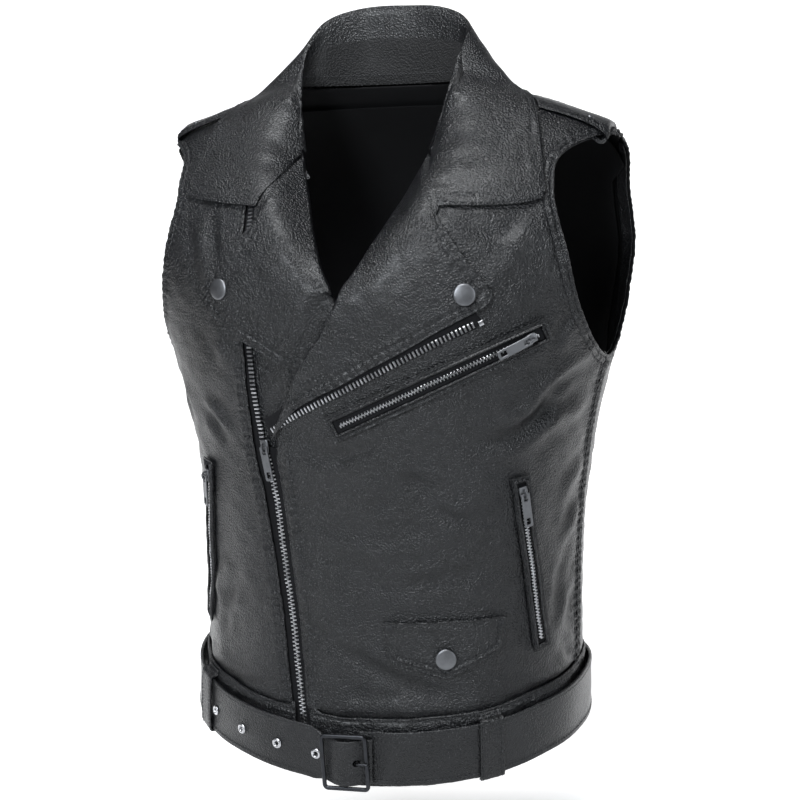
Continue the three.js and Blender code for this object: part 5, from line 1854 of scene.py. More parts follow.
def row_from(run: Run, inward: float, trim: tuple[float, float] = (0.0, 0.0), step: float = 2.0) -> Array:
    """A stitching line beside an edge.

    Args:
        run: the edge.
        inward: how far to the left of its direction.
        trim: lengths left off its start and end.
        step: spacing of the line's points.

    Returns:
        Its points along the cloth.
    """
    path = offset_path(spline(flat(run), step), inward)
    head, tail = int(trim[0] / step), int(trim[1] / step)
    path = path[head : len(path) - tail]
    return spline(path[:: max(int(6 / step), 1)], step) if len(path) > 12 else path


# The sewn body -------------------------------------------------------------------------------


@dataclass
class StitchedPanel:
    """A sheet with its stitching lines sewn through it."""

    sheet: Sheet
    lines: list[Array]
    pucker: float = 0.55
    pitch: float = 7.6
    gauge: float = 3.6

    def build(self) -> Sheet:
        """Makes the panel, then its stitches.

        Returns:
            The sheet with its seams in.
        """
        sheet = self.sheet
        seams = [
            Seam(line, pucker=self.pucker, pitch=self.pitch, seed=70 + k) for k, line in enumerate(self.lines)
        ]
        sheet.relief = sheet.relief.plus(*seams)
        sheet.cut.dense = self.lines
        sheet.build()
        rows = [stitches(*sheet.surface(line, 0.12), self.gauge) for line in self.lines]
        if rows:
            put(f"{sheet.name}_stitching", Shape.join(rows), Finish.THREAD, "vest")
        return sheet


def turned_under(side: Side, depth: float = 2.1, run_in: float = 3.6) -> Height:
    """Height rule of a panel whose seam allowances dip under their neighbours.

    Args:
        side: the chart.
        depth: how deep the allowances lie.
        run_in: how far before the seam the dip starts.

    Returns:
        The rule.
    """

    def low(s: Array, z: Array) -> Array:
        """Height of the panel's lower face."""
        girth = FIGURE.half_girth(-560)
        share = np.abs(s) / girth
        share = share if side is Side.FRONT else 1 - share
        past = FIGURE.waist.read("seam", share) + run_in - z
        if side is Side.FRONT:
            past = np.maximum(past, np.where(z < -215, np.abs(s) - FIGURE.seam_arc(z) + run_in, -1))
            past = np.maximum(past, np.where(z > -75, np.abs(s) - FIGURE.side_arc(z) + run_in, -1))
        return -LEATHER - depth * smooth_step(past / run_in)

    return low


@dataclass
class Fronts:
    """Both fronts, the under-lap and their facings."""

    left_lines: tuple[float, float] = (2.6, 8.6)
    thick: float = LEATHER

    def edges(self, mirror: bool) -> list[Array]:
        """Stitching lines of the armhole, shoulder and side seam.

        Args:
            mirror: for the wearer's right front.

        Returns:
            The lines.
        """
        way = -1 if mirror else 1
        turn = mirrored if mirror else list
        near, far = self.left_lines
        hole = turn(PATTERN.right_hole if mirror else PATTERN.front_hole)
        lines = [row_from(hole, way * near), row_from(hole, way * far)]
        lines += [row_from(turn(PATTERN.side), way * d, (2, 4)) for d in (2.2, 7.6)]
        lines += [row_from(turn(PATTERN.shoulder), way * 2.4, (4, 18))]
        return lines

    def left(self) -> Sheet:
        """Builds the wearer's left front with its puckered zip strip."""
        zip_edge = along(-318, -538, 12, lambda z: (zip_row("left_edge", z), z))
        strip = row_from(STRIP_EDGE, 0)
        ledge = Ledge(strip, 0.8, 1.6)
        ladder = Seam(row_from(STRIP_EDGE, -4.6), 0, 1, 0.42, 3.7, 4.6, 90)
        relief = SPREAD[Side.FRONT].plus(ledge, ladder)
        sheet = Sheet(
            "front_left_leather", Cut(Side.FRONT, PATTERN.front_left()), turned_under(Side.FRONT), LEATHER,
            relief,
            nodes=("front_left",), inside=Finish.LINING,
        )
        lines = [*self.edges(False), row_from(zip_edge, 2.0, (2, 2)), row_from(STRIP_EDGE, -1.5, (1, 1))]
        return StitchedPanel(sheet, lines).build()

    def right(self) -> Sheet:
        """Builds the wearer's right front."""
        zip_edge = along(-97, -538, 24, lambda z: (zip_row("right_edge", z), z))
        sheet = Sheet(
            "front_right_leather", Cut(Side.FRONT, PATTERN.front_right()), turned_under(Side.FRONT), LEATHER,
            SPREAD[Side.FRONT], nodes=("front_right",), inside=Finish.LINING,
        )
        lines = [*self.edges(True), row_from(zip_edge, -4.2, (2, 2)), row_from(zip_edge, -7.4, (2, 2))]
        return StitchedPanel(sheet, lines).build()

    def under(self) -> Sheet:
        """Builds the under-lap with its extension seam."""
        seam = row_from([(-43, -242), (-44, -266), (-57, -288), (-66, -302)], 0)
        sheet = Sheet(
            "underlap_leather", Cut(Side.FRONT, PATTERN.underlap()), -6.9, LEATHER, SPREAD[Side.FRONT],
            nodes=("underlap_right",), inside=Finish.LINING,
        )
        return StitchedPanel(sheet, [seam]).build()

    def build(self) -> None:
        """Makes all three."""
        self.left()
        self.right()
        self.under()


@dataclass
class Back:
    """The back panel, its lining and the armhole facings."""

    def build(self) -> None:
        """Makes the pieces."""
        hole, side, shoulder = PATTERN.back_hole, PATTERN.back_side, PATTERN.back_shoulder
        lines = []
        for turn, way in ((list, 1), (mirrored, -1)):
            lines += [row_from(turn(hole), -way * d) for d in (2.6, 8.6)]
            lines += [row_from(turn(side), -way * d, (2, 4)) for d in (2.4, 7.6)]
            lines += [row_from(turn(shoulder), -way * d, (4, 18)) for d in (2.4, 7.6)]
        relief = SPREAD[Side.BACK]
        sheet = Sheet(
            "back_leather", Cut(Side.BACK, PATTERN.back()), turned_under(Side.BACK), LEATHER, relief,
            nodes=("back_panel",), inside=Finish.LINING,
        )
        StitchedPanel(sheet, lines).build()
        Sheet(
            "back_lining", Cut(Side.BACK, PATTERN.lining(), cell=7), -6.6, 1.0, relief, Finish.LINING,
            nodes=("lining_back",),
        ).build()
        for side_of, low in ((Side.FRONT, -4.4), (Side.BACK, -4.3)):
            for hand in ("left", "right"):
                self.facing(side_of, hand, low)

    @staticmethod
    def facing(side: Side, hand: str, low: float) -> None:
        """Builds one armhole facing.

        Args:
            side: front or back.
            hand: the wearer's left or right.
            low: height of its lower face.
        """
        runs = PATTERN.facing(side)
        if hand == "right":
            runs = [mirrored(run) for run in runs]
        where = f"{side.value}_{hand}"
        sheet = Sheet(
            f"armhole_facing_{where}_leather", Cut(side, runs), low, 1.0, SPREAD[side],
            nodes=(f"armhole_facing_{where}",), held=Held.FOLDED,
        )
        length = float(np.linalg.norm(np.diff(spline(flat(runs[0]), 3), axis=0), axis=1).sum())
        sheet.flat_size = (14.0, length)
        sheet.build()


@dataclass
class Waistband:
    """The waistband's three lengths with the ridges over the belt."""

    ridges: tuple[float, ...] = (2.6, 6.0, 9.4)

    def build(self) -> None:
        """Makes the lengths and their stitching."""
        for where, (side, runs) in PATTERN.bands().items():
            name = f"waistband_{where}"
            span = (runs[0][0][0], runs[0][-1][0])
            rows = []
            for low, drop in (("seam", -3.2), ("hem", 2.4)):
                line = along(*span, 40, lambda s: (s, FIGURE.waist_row(low, s, side) + drop))
                rows.append(row_from(line, 0, (3, 3)))
            relief = SPREAD[side].plus(*[
                Crease(
                    along(*span, 12, lambda s: (s, FIGURE.waist_row("seam", s, side) - ridge)), -0.8, 1.5,
                    seed=k,
                )
                for k, ridge in enumerate(self.ridges)
            ])
            sheet = Sheet(
                f"{name}_leather", Cut(side, runs, cell=3.2), -1.2, 2.6, relief, nodes=(name,),
                inside=Finish.LINING,
            )
            StitchedPanel(sheet, rows, pucker=0.25).build()


@dataclass
class Lapels:
    """Both lapels, folded out and rounded down into the roll."""

    radius: float = 4.2
    drop: float = 3.0
    gorge_line: tuple[Point, ...] = ((56, -70), (61, -84), (69, -101), (74.5, -113.5), (77, -119))

    def settle(self, height: Array, away: Array, points: Array, way: float) -> Array:
        """Rounds a height down at the roll line, and lets it dip under the collar's leaf.

        Args:
            height: the plain height.
            away: distance to the roll line.
            points: pattern positions along the cloth.
            way: 1 for the wearer's left lapel, -1 for the right.

        Returns:
            The height with the roll.
        """
        inward = np.clip(1 - away / self.radius, 0, 1)
        gorge = spline(flat([(way * s, z) for s, z in self.gorge_line]), 3)
        under = nearest(gorge, points, 20)
        dip = smooth_step((under.distance * under.sign * way + 1.5) / 3) * (under.distance < 14)
        return height - self.drop * (1 - np.sqrt(1 - inward**2)) - 1.8 * dip

    def left(self) -> None:
        """Builds the left lapel."""
        roll = spline(flat([*PATTERN.lapel_fold, *LEFT_ROLL]), 3)

        def low(s: Array, z: Array) -> Array:
            """Height of its lower face."""
            points = np.stack([s, FIGURE.climb(z)], axis=1)
            away = nearest(roll, points, 20).distance
            settled = np.where(z < -225, 1.0, smooth_step(away / 9))
            return self.settle(1.9 + 0.3 * settled, away, points, 1)

        runs = PATTERN.left_lapel()
        edge = [*runs[1][1:], *runs[2][1:], *runs[3][1:]]
        rows = [row_from(edge, d, (2, 4)) for d in (2.4, 8.4)]
        sheet = Sheet(
            "lapel_left_leather", Cut(Side.FRONT, runs, cell=3.0), low, LEATHER, SPREAD[Side.FRONT],
            nodes=("lapel_left",), held=Held.FOLDED, rests=("front_left",),
        )
        StitchedPanel(sheet, rows).build()

    def right(self) -> None:
        """Builds the right lapel, which dips under the left front's roll."""
        fold = spline(flat(mirrored(PATTERN.lapel_fold)), 3)
        path = np.array([(0.0, -180.0), *LEFT_ROLL])[::-1]

        def low(s: Array, z: Array) -> Array:
            """Height of its lower face."""
            roll_s = np.interp(z, path[:, 1], path[:, 0])
            clear = np.where(z > -178, 16.0, roll_s - 7 - s)
            height = -4.3 + 6.0 * smooth_step(clear / 16)
            points = np.stack([s, FIGURE.climb(z)], axis=1)
            away = nearest(fold, points, 20).distance
            return self.settle(height, away, points, -1)

        runs = PATTERN.right_lapel()
        edge = [*runs[2], *runs[3][1:], *runs[4][1:]]
        rows = [row_from(edge, -d, (2, 4)) for d in (2.4, 8.4)]
        sheet = Sheet(
            "lapel_right_leather", Cut(Side.FRONT, runs, cell=3.0), low, LEATHER, SPREAD[Side.FRONT],
            nodes=("lapel_right",), held=Held.FOLDED, rests=("front_right",),
        )
        StitchedPanel(sheet, rows).build()

    def build(self) -> None:
        """Makes both lapels."""
        self.left()
        self.right()


@dataclass
class Flap:
    """The pocket flap with its double stitching and bartacks."""

    low: float = 0.7
    thick: float = 2.4

    def build(self) -> None:
        """Makes the flap and its bars."""
        runs = PATTERN.flap()
        edge = [point for run in runs[1:] for point in run[:-1]]
        rows = [row_from(list(reversed(edge)), d, (2, 2)) for d in (2.2, 7.4)]
        rows.append(row_from(runs[0], -2.4, (4, 4)))
        sheet = Sheet(
            "pocket_flap_leather", Cut(Side.FRONT, runs, cell=2.6), self.low, self.thick, SPREAD[Side.FRONT],
            nodes=("pocket_flap",), held=Held.LAID, rests=("front_left",),
        )
        built = StitchedPanel(sheet, rows, pucker=0.26).build()
        bars = []
        for s in (38.5, 132.5):
            for k in range(5):
                line = flat([(s - 2 + k, -456.5), (s - 2 + k, -463.5)])
                bars.append(stitches(*built.surface(spline(line, 1), 0.3), 7.2, 6.6, 0.9))
        put("pocket_flap_bartacks", Shape.join(bars), Finish.THREAD, "vest")


# Collar, straps, belt ------------------------------------------------------------------------

COLLAR_COLUMNS = (
    "index", "seam_x", "seam_y", "seam_z", "fold_left", "fold_right", "fold_y", "fold_z",
    "edge_x", "edge_y", "edge_z", "bulge", "right_rise",
)
COLLAR_ROWS = (
    (0, 52, -9.5, 0, 0, 50, 56, 0, 76, -24, 5, 0),
    (28, 50, -9.5, 28, 27, 49, 55, 34, 75, -25, 5, 0),
    (52, 41, -9.5, 56, 48, 41, 50, 66, 69, -28, 5, 0),
    (69, 28, -9.5, 73, 61, 31, 41, 96, 57, -31, 6, 0),
    (78, 17, -9.5, 75, 68, 22, 28, 118, 38, -30, 6, 0),
    (79, 4, -11, 71, 71, 14, 15, 131, 15, -29, 7, 0),
    (76, -9, -18, 69, 69, 4.6, 0, 140, -6, -47, 7, 0),
    (72, -17, -29, 66, 66, -9, -19, 148.5, -28, -69, 7, 0),
    (68, -21, -37, 64.5, 64.5, -14, -28, 154.5, -46, -87, 7, 2),
    (65.5, -24.5, -44, 63, 63, -18.5, -37, 158, -56, -99, 6, 5),
    (63.5, -27.5, -51, 61.6, 61.6, -22.6, -44.5, 159.5, -61, -107, 5, 8),
    (62, -30, -56, 60.4, 60.4, -26, -50.5, 154, -66, -111, 5, 8.5),
    (60.8, -32.5, -60, 59.2, 59.2, -29, -55.5, 128, -80, -111.5, 5, 6.5),
    (59.5, -34.5, -64, 58.2, 58.2, -31.5, -60, 102, -88, -111.5, 5, 4),
    (58.6, -36, -67, 57.4, 57.4, -33.5, -63.5, 78.5, -92, -110.5, 4, 1),
)


def outside(points: Array) -> Array:
    """How far points lie outside the figure, as a share of its size.

    Args:
        points: the points.

    Returns:
        Below 0 inside, above 0 outside.
    """
    x, y, z = points[..., 0], points[..., 1], points[..., 2]
    read = FIGURE.body.read
    centre = read("centre", z)
    front = y < centre
    depth = np.clip((centre - y) / 20, 0, 1)
    away = np.maximum(np.abs(x) - FIGURE.fold.read("x", z), 0) / FIGURE.SINK_WIDTH
    sink = np.where(front, FIGURE.fold.read("sink", z) * depth * np.exp(-away * away), 0)
    reach = np.abs(np.where(front, read("front", z), read("back", z)) - centre)
    power = np.where(front, read("square_front", z), read("square_back", z))
    wide = np.abs(x) / read("half", z)
    deep = np.abs(y - sink - centre) / reach
    return (wide**power + deep**power) ** (1 / power) - 1


def pushed_out(points: Array, clear: Array | float) -> Array:
    """Moves points out until they clear the figure.

    Args:
        points: the points.
        clear: the distance wanted.

    Returns:
        The moved points.
    """
    out = points.copy()
    for _ in range(4):
        slope = np.zeros_like(out)
        for k in range(3):
            step = np.zeros(3)
            step[k] = 0.5
            slope[..., k] = outside(out + step) - outside(out - step)
        size = np.linalg.norm(slope, axis=-1, keepdims=True)
        away = outside(out)[..., None] / size
        wanted = np.broadcast_to(np.asarray(clear, float), out.shape[:-1])[..., None]
        out = out + slope / size * np.maximum(wanted - away, 0)
    return out


def refine(grid: Array, step: float, axis: int) -> Array:
    """Adds rows or columns to a grid by smooth curves.

    Args:
        grid: the points.
        step: the spacing wanted.
        axis: 0 for rows, 1 for columns.

    Returns:
        The finer grid.
    """
    turned = grid if axis == 0 else grid.swapaxes(0, 1)
    gaps = np.linalg.norm(np.diff(turned, axis=0), axis=2).mean(axis=1)
    share = np.concatenate([[0], gaps.cumsum()])
    count = max(int(round(share[-1] / step)), 2)
    at = np.linspace(0, share[-1], count + 1)
    i = np.clip(np.searchsorted(share, at, side="right") - 1, 0, len(share) - 2)
    t = ((at - share[i]) / (share[i + 1] - share[i]))[:, None, None]
    ends = np.concatenate([2 * turned[:1] - turned[1:2], turned, 2 * turned[-1:] - turned[-2:-1]])
    a, b, c, d = ends[i], ends[i + 1], ends[i + 2], ends[i + 3]
    bend = (2 * a - 5 * b + 4 * c - d) * t**2
    fine = 0.5 * (2 * b + (c - a) * t + bend + (3 * b - a - 3 * c + d) * t**3)
    return fine if axis == 0 else fine.swapaxes(0, 1)


def grid_normals(grid: Array) -> Array:
    """Normals of a grid of points."""
    normal = np.cross(np.gradient(grid, axis=0), np.gradient(grid, axis=1))
    return normal / np.maximum(np.linalg.norm(normal, axis=2, keepdims=True), 1e-9)


def grid_area(grid: Array) -> float:
    """Area of a grid of points."""
    a = np.diff(grid, axis=0)[:, :-1]
    b = np.diff(grid, axis=1)[:-1]
    return float(np.linalg.norm(np.cross(a, b), axis=2).sum())


def grid_lengths(grid: Array, axis: int) -> Array:
    """Arc length along rows or columns from their start."""
    gaps = np.linalg.norm(np.diff(grid, axis=axis), axis=2)
    start = np.zeros((1, grid.shape[1])) if axis == 0 else np.zeros((grid.shape[0], 1))
    return np.concatenate([start, gaps.cumsum(axis=axis)], axis=axis)


@dataclass
class Strip:
    """A strip of leather given by a grid of middle-surface points, with stitched lines along it."""

    name: str
    grid: Array
    thick: float
    nodes: tuple[str, ...]
    held: Held
    outward: float = 1.0
    finish: Finish = Finish.LEATHER
    rests: tuple[str, ...] = ()
    lines: list[Array] = field(default_factory=list)
    pucker: float = 0.3
    pitch: float = 7.6
    ripple: float = 0.25
    inner_columns: int = 0

    def dressed(self) -> Array:
        """The grid with its ripples, ditches and puckers.

        Returns:
            The points.
        """
        along_rows = grid_lengths(self.grid, 0)
        across = grid_lengths(self.grid, 1)
        flat_points = np.stack([along_rows.ravel(), across.ravel()], axis=1)
        height = self.ripple * ripple(flat_points, 46, 5)
        for k, line in enumerate(self.lines):
            path = np.stack([self.sample(along_rows, line), self.sample(across, line)], axis=1)
            seam = Seam(path, 0.3, 0.9, self.pucker, self.pitch, 5.5, 30 + k)
            height = height + seam.at(flat_points)
        shape = self.grid.shape[:2]
        return self.grid + grid_normals(self.grid) * height.reshape(shape)[..., None] * self.outward

    @staticmethod
    def sample(values: Array, line: Array) -> Array:
        """Reads a grid of numbers or points at fractional rows and columns.

        Args:
            values: the grid.
            line: rows and columns.

        Returns:
            The values.
        """
        rows, columns = values.shape[:2]
        r, c = np.clip(line[:, 0], 0, rows - 1.001), np.clip(line[:, 1], 0, columns - 1.001)
        i, j = r.astype(int), c.astype(int)
        f, g = r - i, c - j
        if values.ndim == 3:
            f, g = f[:, None], g[:, None]
        low = values[i, j] * (1 - g) + values[i, j + 1] * g
        high = values[i + 1, j] * (1 - g) + values[i + 1, j + 1] * g
        return low * (1 - f) + high * f

    def build(self) -> Array:
        """Makes the strip and its stitches.

        Returns:
            The dressed grid.
        """
        grid = self.dressed()
        shape = grid_shell(grid, self.thick)
        columns = grid.shape[1]
        shape.second = np.array([max(v % columns for v in face) < self.inner_columns for face in shape.faces])
        # The collar stand's faces take the darker copy of the leather: painted shade.
        inside = Finish.SHADED_INNER_LEATHER if self.inner_columns else None
        piece = put(f"{self.name}_leather", shape, self.finish, "vest", self.nodes, inside)
        long = float(grid_lengths(grid, 0)[-1].max())
        wide = float(grid_lengths(grid, 1)[:, -1].max())
        declare(piece, (wide, long), self.held, self.rests, grid_area(grid))
        normals = grid_normals(grid) * self.outward
        rows = []
        for line in self.lines:
            face = self.sample(grid + normals * (self.thick / 2 + 0.12), line)
            rows.append(stitches(face, self.sample(normals, line)))
        if rows:
            put(f"{self.name}_stitching", Shape.join(rows), Finish.THREAD, "vest")
        return grid


def line_at(lengths: Array, distance: float, axis: int, trim: int = 2, from_end: bool = True) -> Array:
    """A line at an even distance from one edge of a grid.

    Args:
        lengths: arc lengths across the grid.
        distance: distance from the edge.
        axis: 1 for a line along the rows at a distance across, 0 for the other way.
        trim: rows left off at both ends.
        from_end: whether the far edge is meant.

    Returns:
        Fractional rows and columns.
    """
    table = lengths if axis == 1 else lengths.T
    at = np.arange(trim, len(table) - trim)
    found = []
    for i in at:
        row = table[i]
        goal = row[-1] - distance if from_end else distance
        found.append(np.interp(goal, row, np.arange(len(row))))
    pair = [at.astype(float), np.array(found)]
    return np.stack(pair if axis == 1 else pair[::-1], axis=1)


@dataclass
class Collar:
    """Stand, fold and leaf of the collar in one turned piece."""

    fold_radius: float = 2.6
    near: float = 2.7
    clear: float = 3.2
    ply: float = 1.9
    shares: tuple[float, ...] = (0.12, 0.28, 0.5, 0.76, 1.0)

    def path(self, row: Array, side: int) -> Array:
        """Section of the collar from its neck seam over the fold to its edge.

        Args:
            row: one row of the table.
            side: 1 for the wearer's left, -1 for the right.

        Returns:
            The section's points.
        """
        at = dict(zip(COLLAR_COLUMNS[1:], row))
        seam = np.array([side * at["seam_x"], at["seam_y"], at["seam_z"]])
        if at["seam_y"] <= 0:
            seam = self.neck_seam(side, at["seam_z"])
        top = np.array([side * at["fold_left" if side > 0 else "fold_right"], at["fold_y"], at["fold_z"]])
        rise = 0 if side > 0 else at["right_rise"]
        edge = np.array([side * at["edge_x"], at["edge_y"], at["edge_z"] + rise])
        up = (top - seam) / np.linalg.norm(top - seam)
        out = edge - seam
        out = out - up * (out @ up)
        out /= np.linalg.norm(out)
        r = self.fold_radius
        over = top + out * 2 * r - up * r
        if over[2] < -14:
            over = pushed_out(over[None], self.near)[0]
        points = [seam, top - up * r, top + out * r, over]
        for share in self.shares:
            p = over + (edge - over) * share + out * at["bulge"] * 4 * share * (1 - share)
            if p[2] < -12:
                p = pushed_out(p[None], self.near + (self.clear - self.near) * share)[0]
            points.append(p)
        return np.array(points)

    @staticmethod
    def neck_seam(side: int, z: float) -> Array:
        """Foot of the stand, just inside the neck edge of a front."""
        neck = Curves(NECK_COLUMNS, NECK_ROWS)
        low = z - 1.7
        p, _ = FIGURE.lift(Side.FRONT, FIGURE.arc_of(float(neck.read("x", low)), low), low, -0.9)
        return np.array([side * (p[0] - 1.7), p[1] + 0.6, z])

    def grid(self) -> Array:
        """Middle surface of the whole collar."""
        rows = np.array(COLLAR_ROWS, float)
        fine = []
        for i in range(len(rows) - 1):
            a, b, c, d = rows[max(i - 1, 0)], rows[i], rows[i + 1], rows[min(i + 2, len(rows) - 1)]
            for t in (0, 0.5):
                bend = (2 * a - 5 * b + 4 * c - d) * t * t
                fine.append(0.5 * (2 * b + (c - a) * t + bend + (3 * b - a - 3 * c + d) * t**3))
        fine.append(rows[-1])
        fine[1][0] = (fine[0][0] + fine[2][0]) / 2
        right = [self.path(row, -1) for row in reversed(fine)]
        left = [self.path(row, 1) for row in fine[1:]]
        return np.array([*right, *left])

    def build(self) -> None:
        """Makes the collar and its edge stitching."""
        coarse = self.grid()
        grid = refine(refine(coarse, 2.6, 0), 2.2, 1)
        for _ in range(14):
            grid[1:-1] += 0.25 * (grid[2:] - 2 * grid[1:-1] + grid[:-2])
        across = grid_lengths(grid, 1)
        lines = [line_at(across, d, 1, 3) for d in (2.6, 12.2)]
        lines.append(line_at(across, 8.5, 1, 6, from_end=False))
        strip = Strip("collar", grid, self.ply, ("collar",), Held.FOLDED, 1.0, lines=lines)
        strip.rests = ("front_left", "front_right", "back_panel")
        lengths = grid_lengths(coarse, 1).mean(axis=0)
        strip.inner_columns = int(lengths[1] / lengths[-1] * grid.shape[1] * 0.84)
        middle = grid[len(grid) // 2]
        normal = grid_normals(grid)[len(grid) // 2, -4]
        strip.outward = 1.0 if normal[1] > 0 and middle[-1, 1] > 0 else -1.0
        strip.build()


@dataclass
class ShoulderStrap:
    """An epaulette over the shoulder seam, rolled down at the armhole."""

    side: int
    lift: float = 0.85
    thick: float = 2.4
    roll: float = 4.2
    rows: tuple[tuple[float, ...], ...] = (
        (120, 14, 20, 0, 0, 0), (148, 16, 21, 0, 0, 2.5), (160, 19, 22, 0, 0, 3.5), (174, 22, 23, 0, 1, 5.5),
        (188, 24, 23.5, -0.5, 3, 7.5), (197, 26, 24, -1, 5, 8.5),
    )

    @staticmethod
    def shoulder_z(x: Array, y: Array) -> Array:
        """Height of the shoulder over a plan position."""
        low, high = np.full(x.shape, -140.0), np.full(x.shape, -11.0)
        for _ in range(26):
            middle = (low + high) / 2
            inside = outside(np.stack([x, y, middle], axis=-1)) < 0
            low, high = np.where(inside, middle, low), np.where(inside, high, middle)
        return (low + high) / 2

    def grid(self) -> Array:
        """Middle surface of the strap."""
        right = 1 if self.side < 0 else 0
        lines = []
        for x, centre, half, drop, right_in, right_rise in self.rows:
            y = centre + half * np.linspace(-1, 1, 11)
            clear = np.maximum(x - right * right_in, 134 + (15 - y) * 0.43)
            tilt = np.linspace(0.2, 1, 11)
            z = self.shoulder_z(np.minimum(clear, 205), y) - drop + right * right_rise * tilt
            lines.append(np.stack([self.side * clear, y, z], axis=1))
        surface = pushed_out(np.array(lines), 0.0)
        up = np.array([self.side * 0.405, 0, 0.91])
        up /= np.linalg.norm(up)
        laid = surface + up * (self.lift + self.thick / 2)
        way = laid[-1] - laid[-2]
        way /= np.linalg.norm(way, axis=1, keepdims=True)
        out = up - way * (way @ up)[:, None]
        out /= np.linalg.norm(out, axis=1, keepdims=True)
        curl = []
        for turn in np.linspace(0.35, math.pi, 7):
            curl.append(laid[-1] + way * self.roll * math.sin(turn) - out * self.roll * (1 - math.cos(turn)))
        tail = [curl[-1] - way * step for step in (4.0, 9.0)]
        return np.array([*laid, *curl, *tail])

    def build(self) -> None:
        """Makes the strap, its stitches and its rivet."""
        hand = "left" if self.side > 0 else "right"
        grid = refine(refine(self.grid(), 2.2, 0), 2.2, 1)
        across = grid_lengths(grid, 1)
        lines = [line_at(across, d, 1, 2, end) for d in (2.4, 7.0) for end in (True, False)]
        way = grid_normals(grid)[4, 8][2]
        strip = Strip(
            f"epaulette_{hand}", grid, self.thick, (f"epaulette_{hand}",), Held.FOLDED,
            1.0 if way > 0 else -1.0, lines=lines, rests=("front_left", "back_panel"), pucker=0.2,
        )
        built = strip.build()
        normals = grid_normals(built) * strip.outward
        spot = np.array([[len(built) - 18.0, built.shape[1] * 0.24]])
        origin = Strip.sample(built + normals * (self.thick / 2), spot)[0]
        normal = Strip.sample(normals, spot)[0]
        place = Place.at(origin, origin + np.array([0, 5.0, 0]), normal / np.linalg.norm(normal))
        cap = lathe([(0, -0.6), (2.2, -0.6), (2.6, 0.1), (2.2, 0.7), (1.2, 1.05), (0, 1.15)], 20)
        put(f"epaulette_{hand}_rivet", Shape(place.move(cap.points), cap.faces), Finish.GUNMETAL, "vest")


HALF_WAIST = 488
BELT_HALF = 23.0
BELT_PLY = 3.0
BELT_ROWS = (
    (0.02, 1.9), (0.04, 1.9), (0.06, 2.2), (0.085, 4), (0.11, 4.7), (0.3, 4.7), (0.6, 4.7), (1.0, 4.7),
    (1.4, 4.7), (1.7, 4.7), (1.89, 4.7), (1.93, 4.7), (1.955, 5.2), (1.968, 6.3), (1.98, 8.8), (1.992, 11.8),
    (2.005, 12.8), (2.018, 11.8), (2.03, 8.8), (2.041, 6.4), (2.055, 5.5),
)
EYELET_ROWS = ((-0.285, -2, 4.7), (-0.207, -1.5, 4.7), (-0.127, -1, 4.7), (-0.05, -0.5, 5))
BUCKLE_SHARE = 0.005
BUCKLE_DROP = -2.0
PRONG_SHARE = 2.0268


def waist_place(share: float, drop: float, height: float) -> Place:
    """Local frame on the belt line, X to the wearer's left.

    Args:
        share: share of the half girth.
        drop: height over the belt's middle.
        height: distance out from the figure.

    Returns:
        The frame.
    """
    origin, normal = FIGURE.waist_point(share, drop, height)
    ahead, _ = FIGURE.waist_point(share + 0.01, drop, height)
    return Place.at(origin, ahead, normal)


def chart_place(s: float, z: float, height: float, ds: float, dz: float) -> Place:
    """Local frame on the front, X along a pattern direction.

    Args:
        s: pattern arc.
        z: height above the origin.
        height: distance out from the figure.
        ds: direction's arc.
        dz: direction's height.

    Returns:
        The frame.
    """
    origin, normal = FIGURE.lift(Side.FRONT, s, z, height)
    ahead, _ = FIGURE.lift(Side.FRONT, s + ds, z + dz, height)
    return Place.at(origin, ahead, normal)


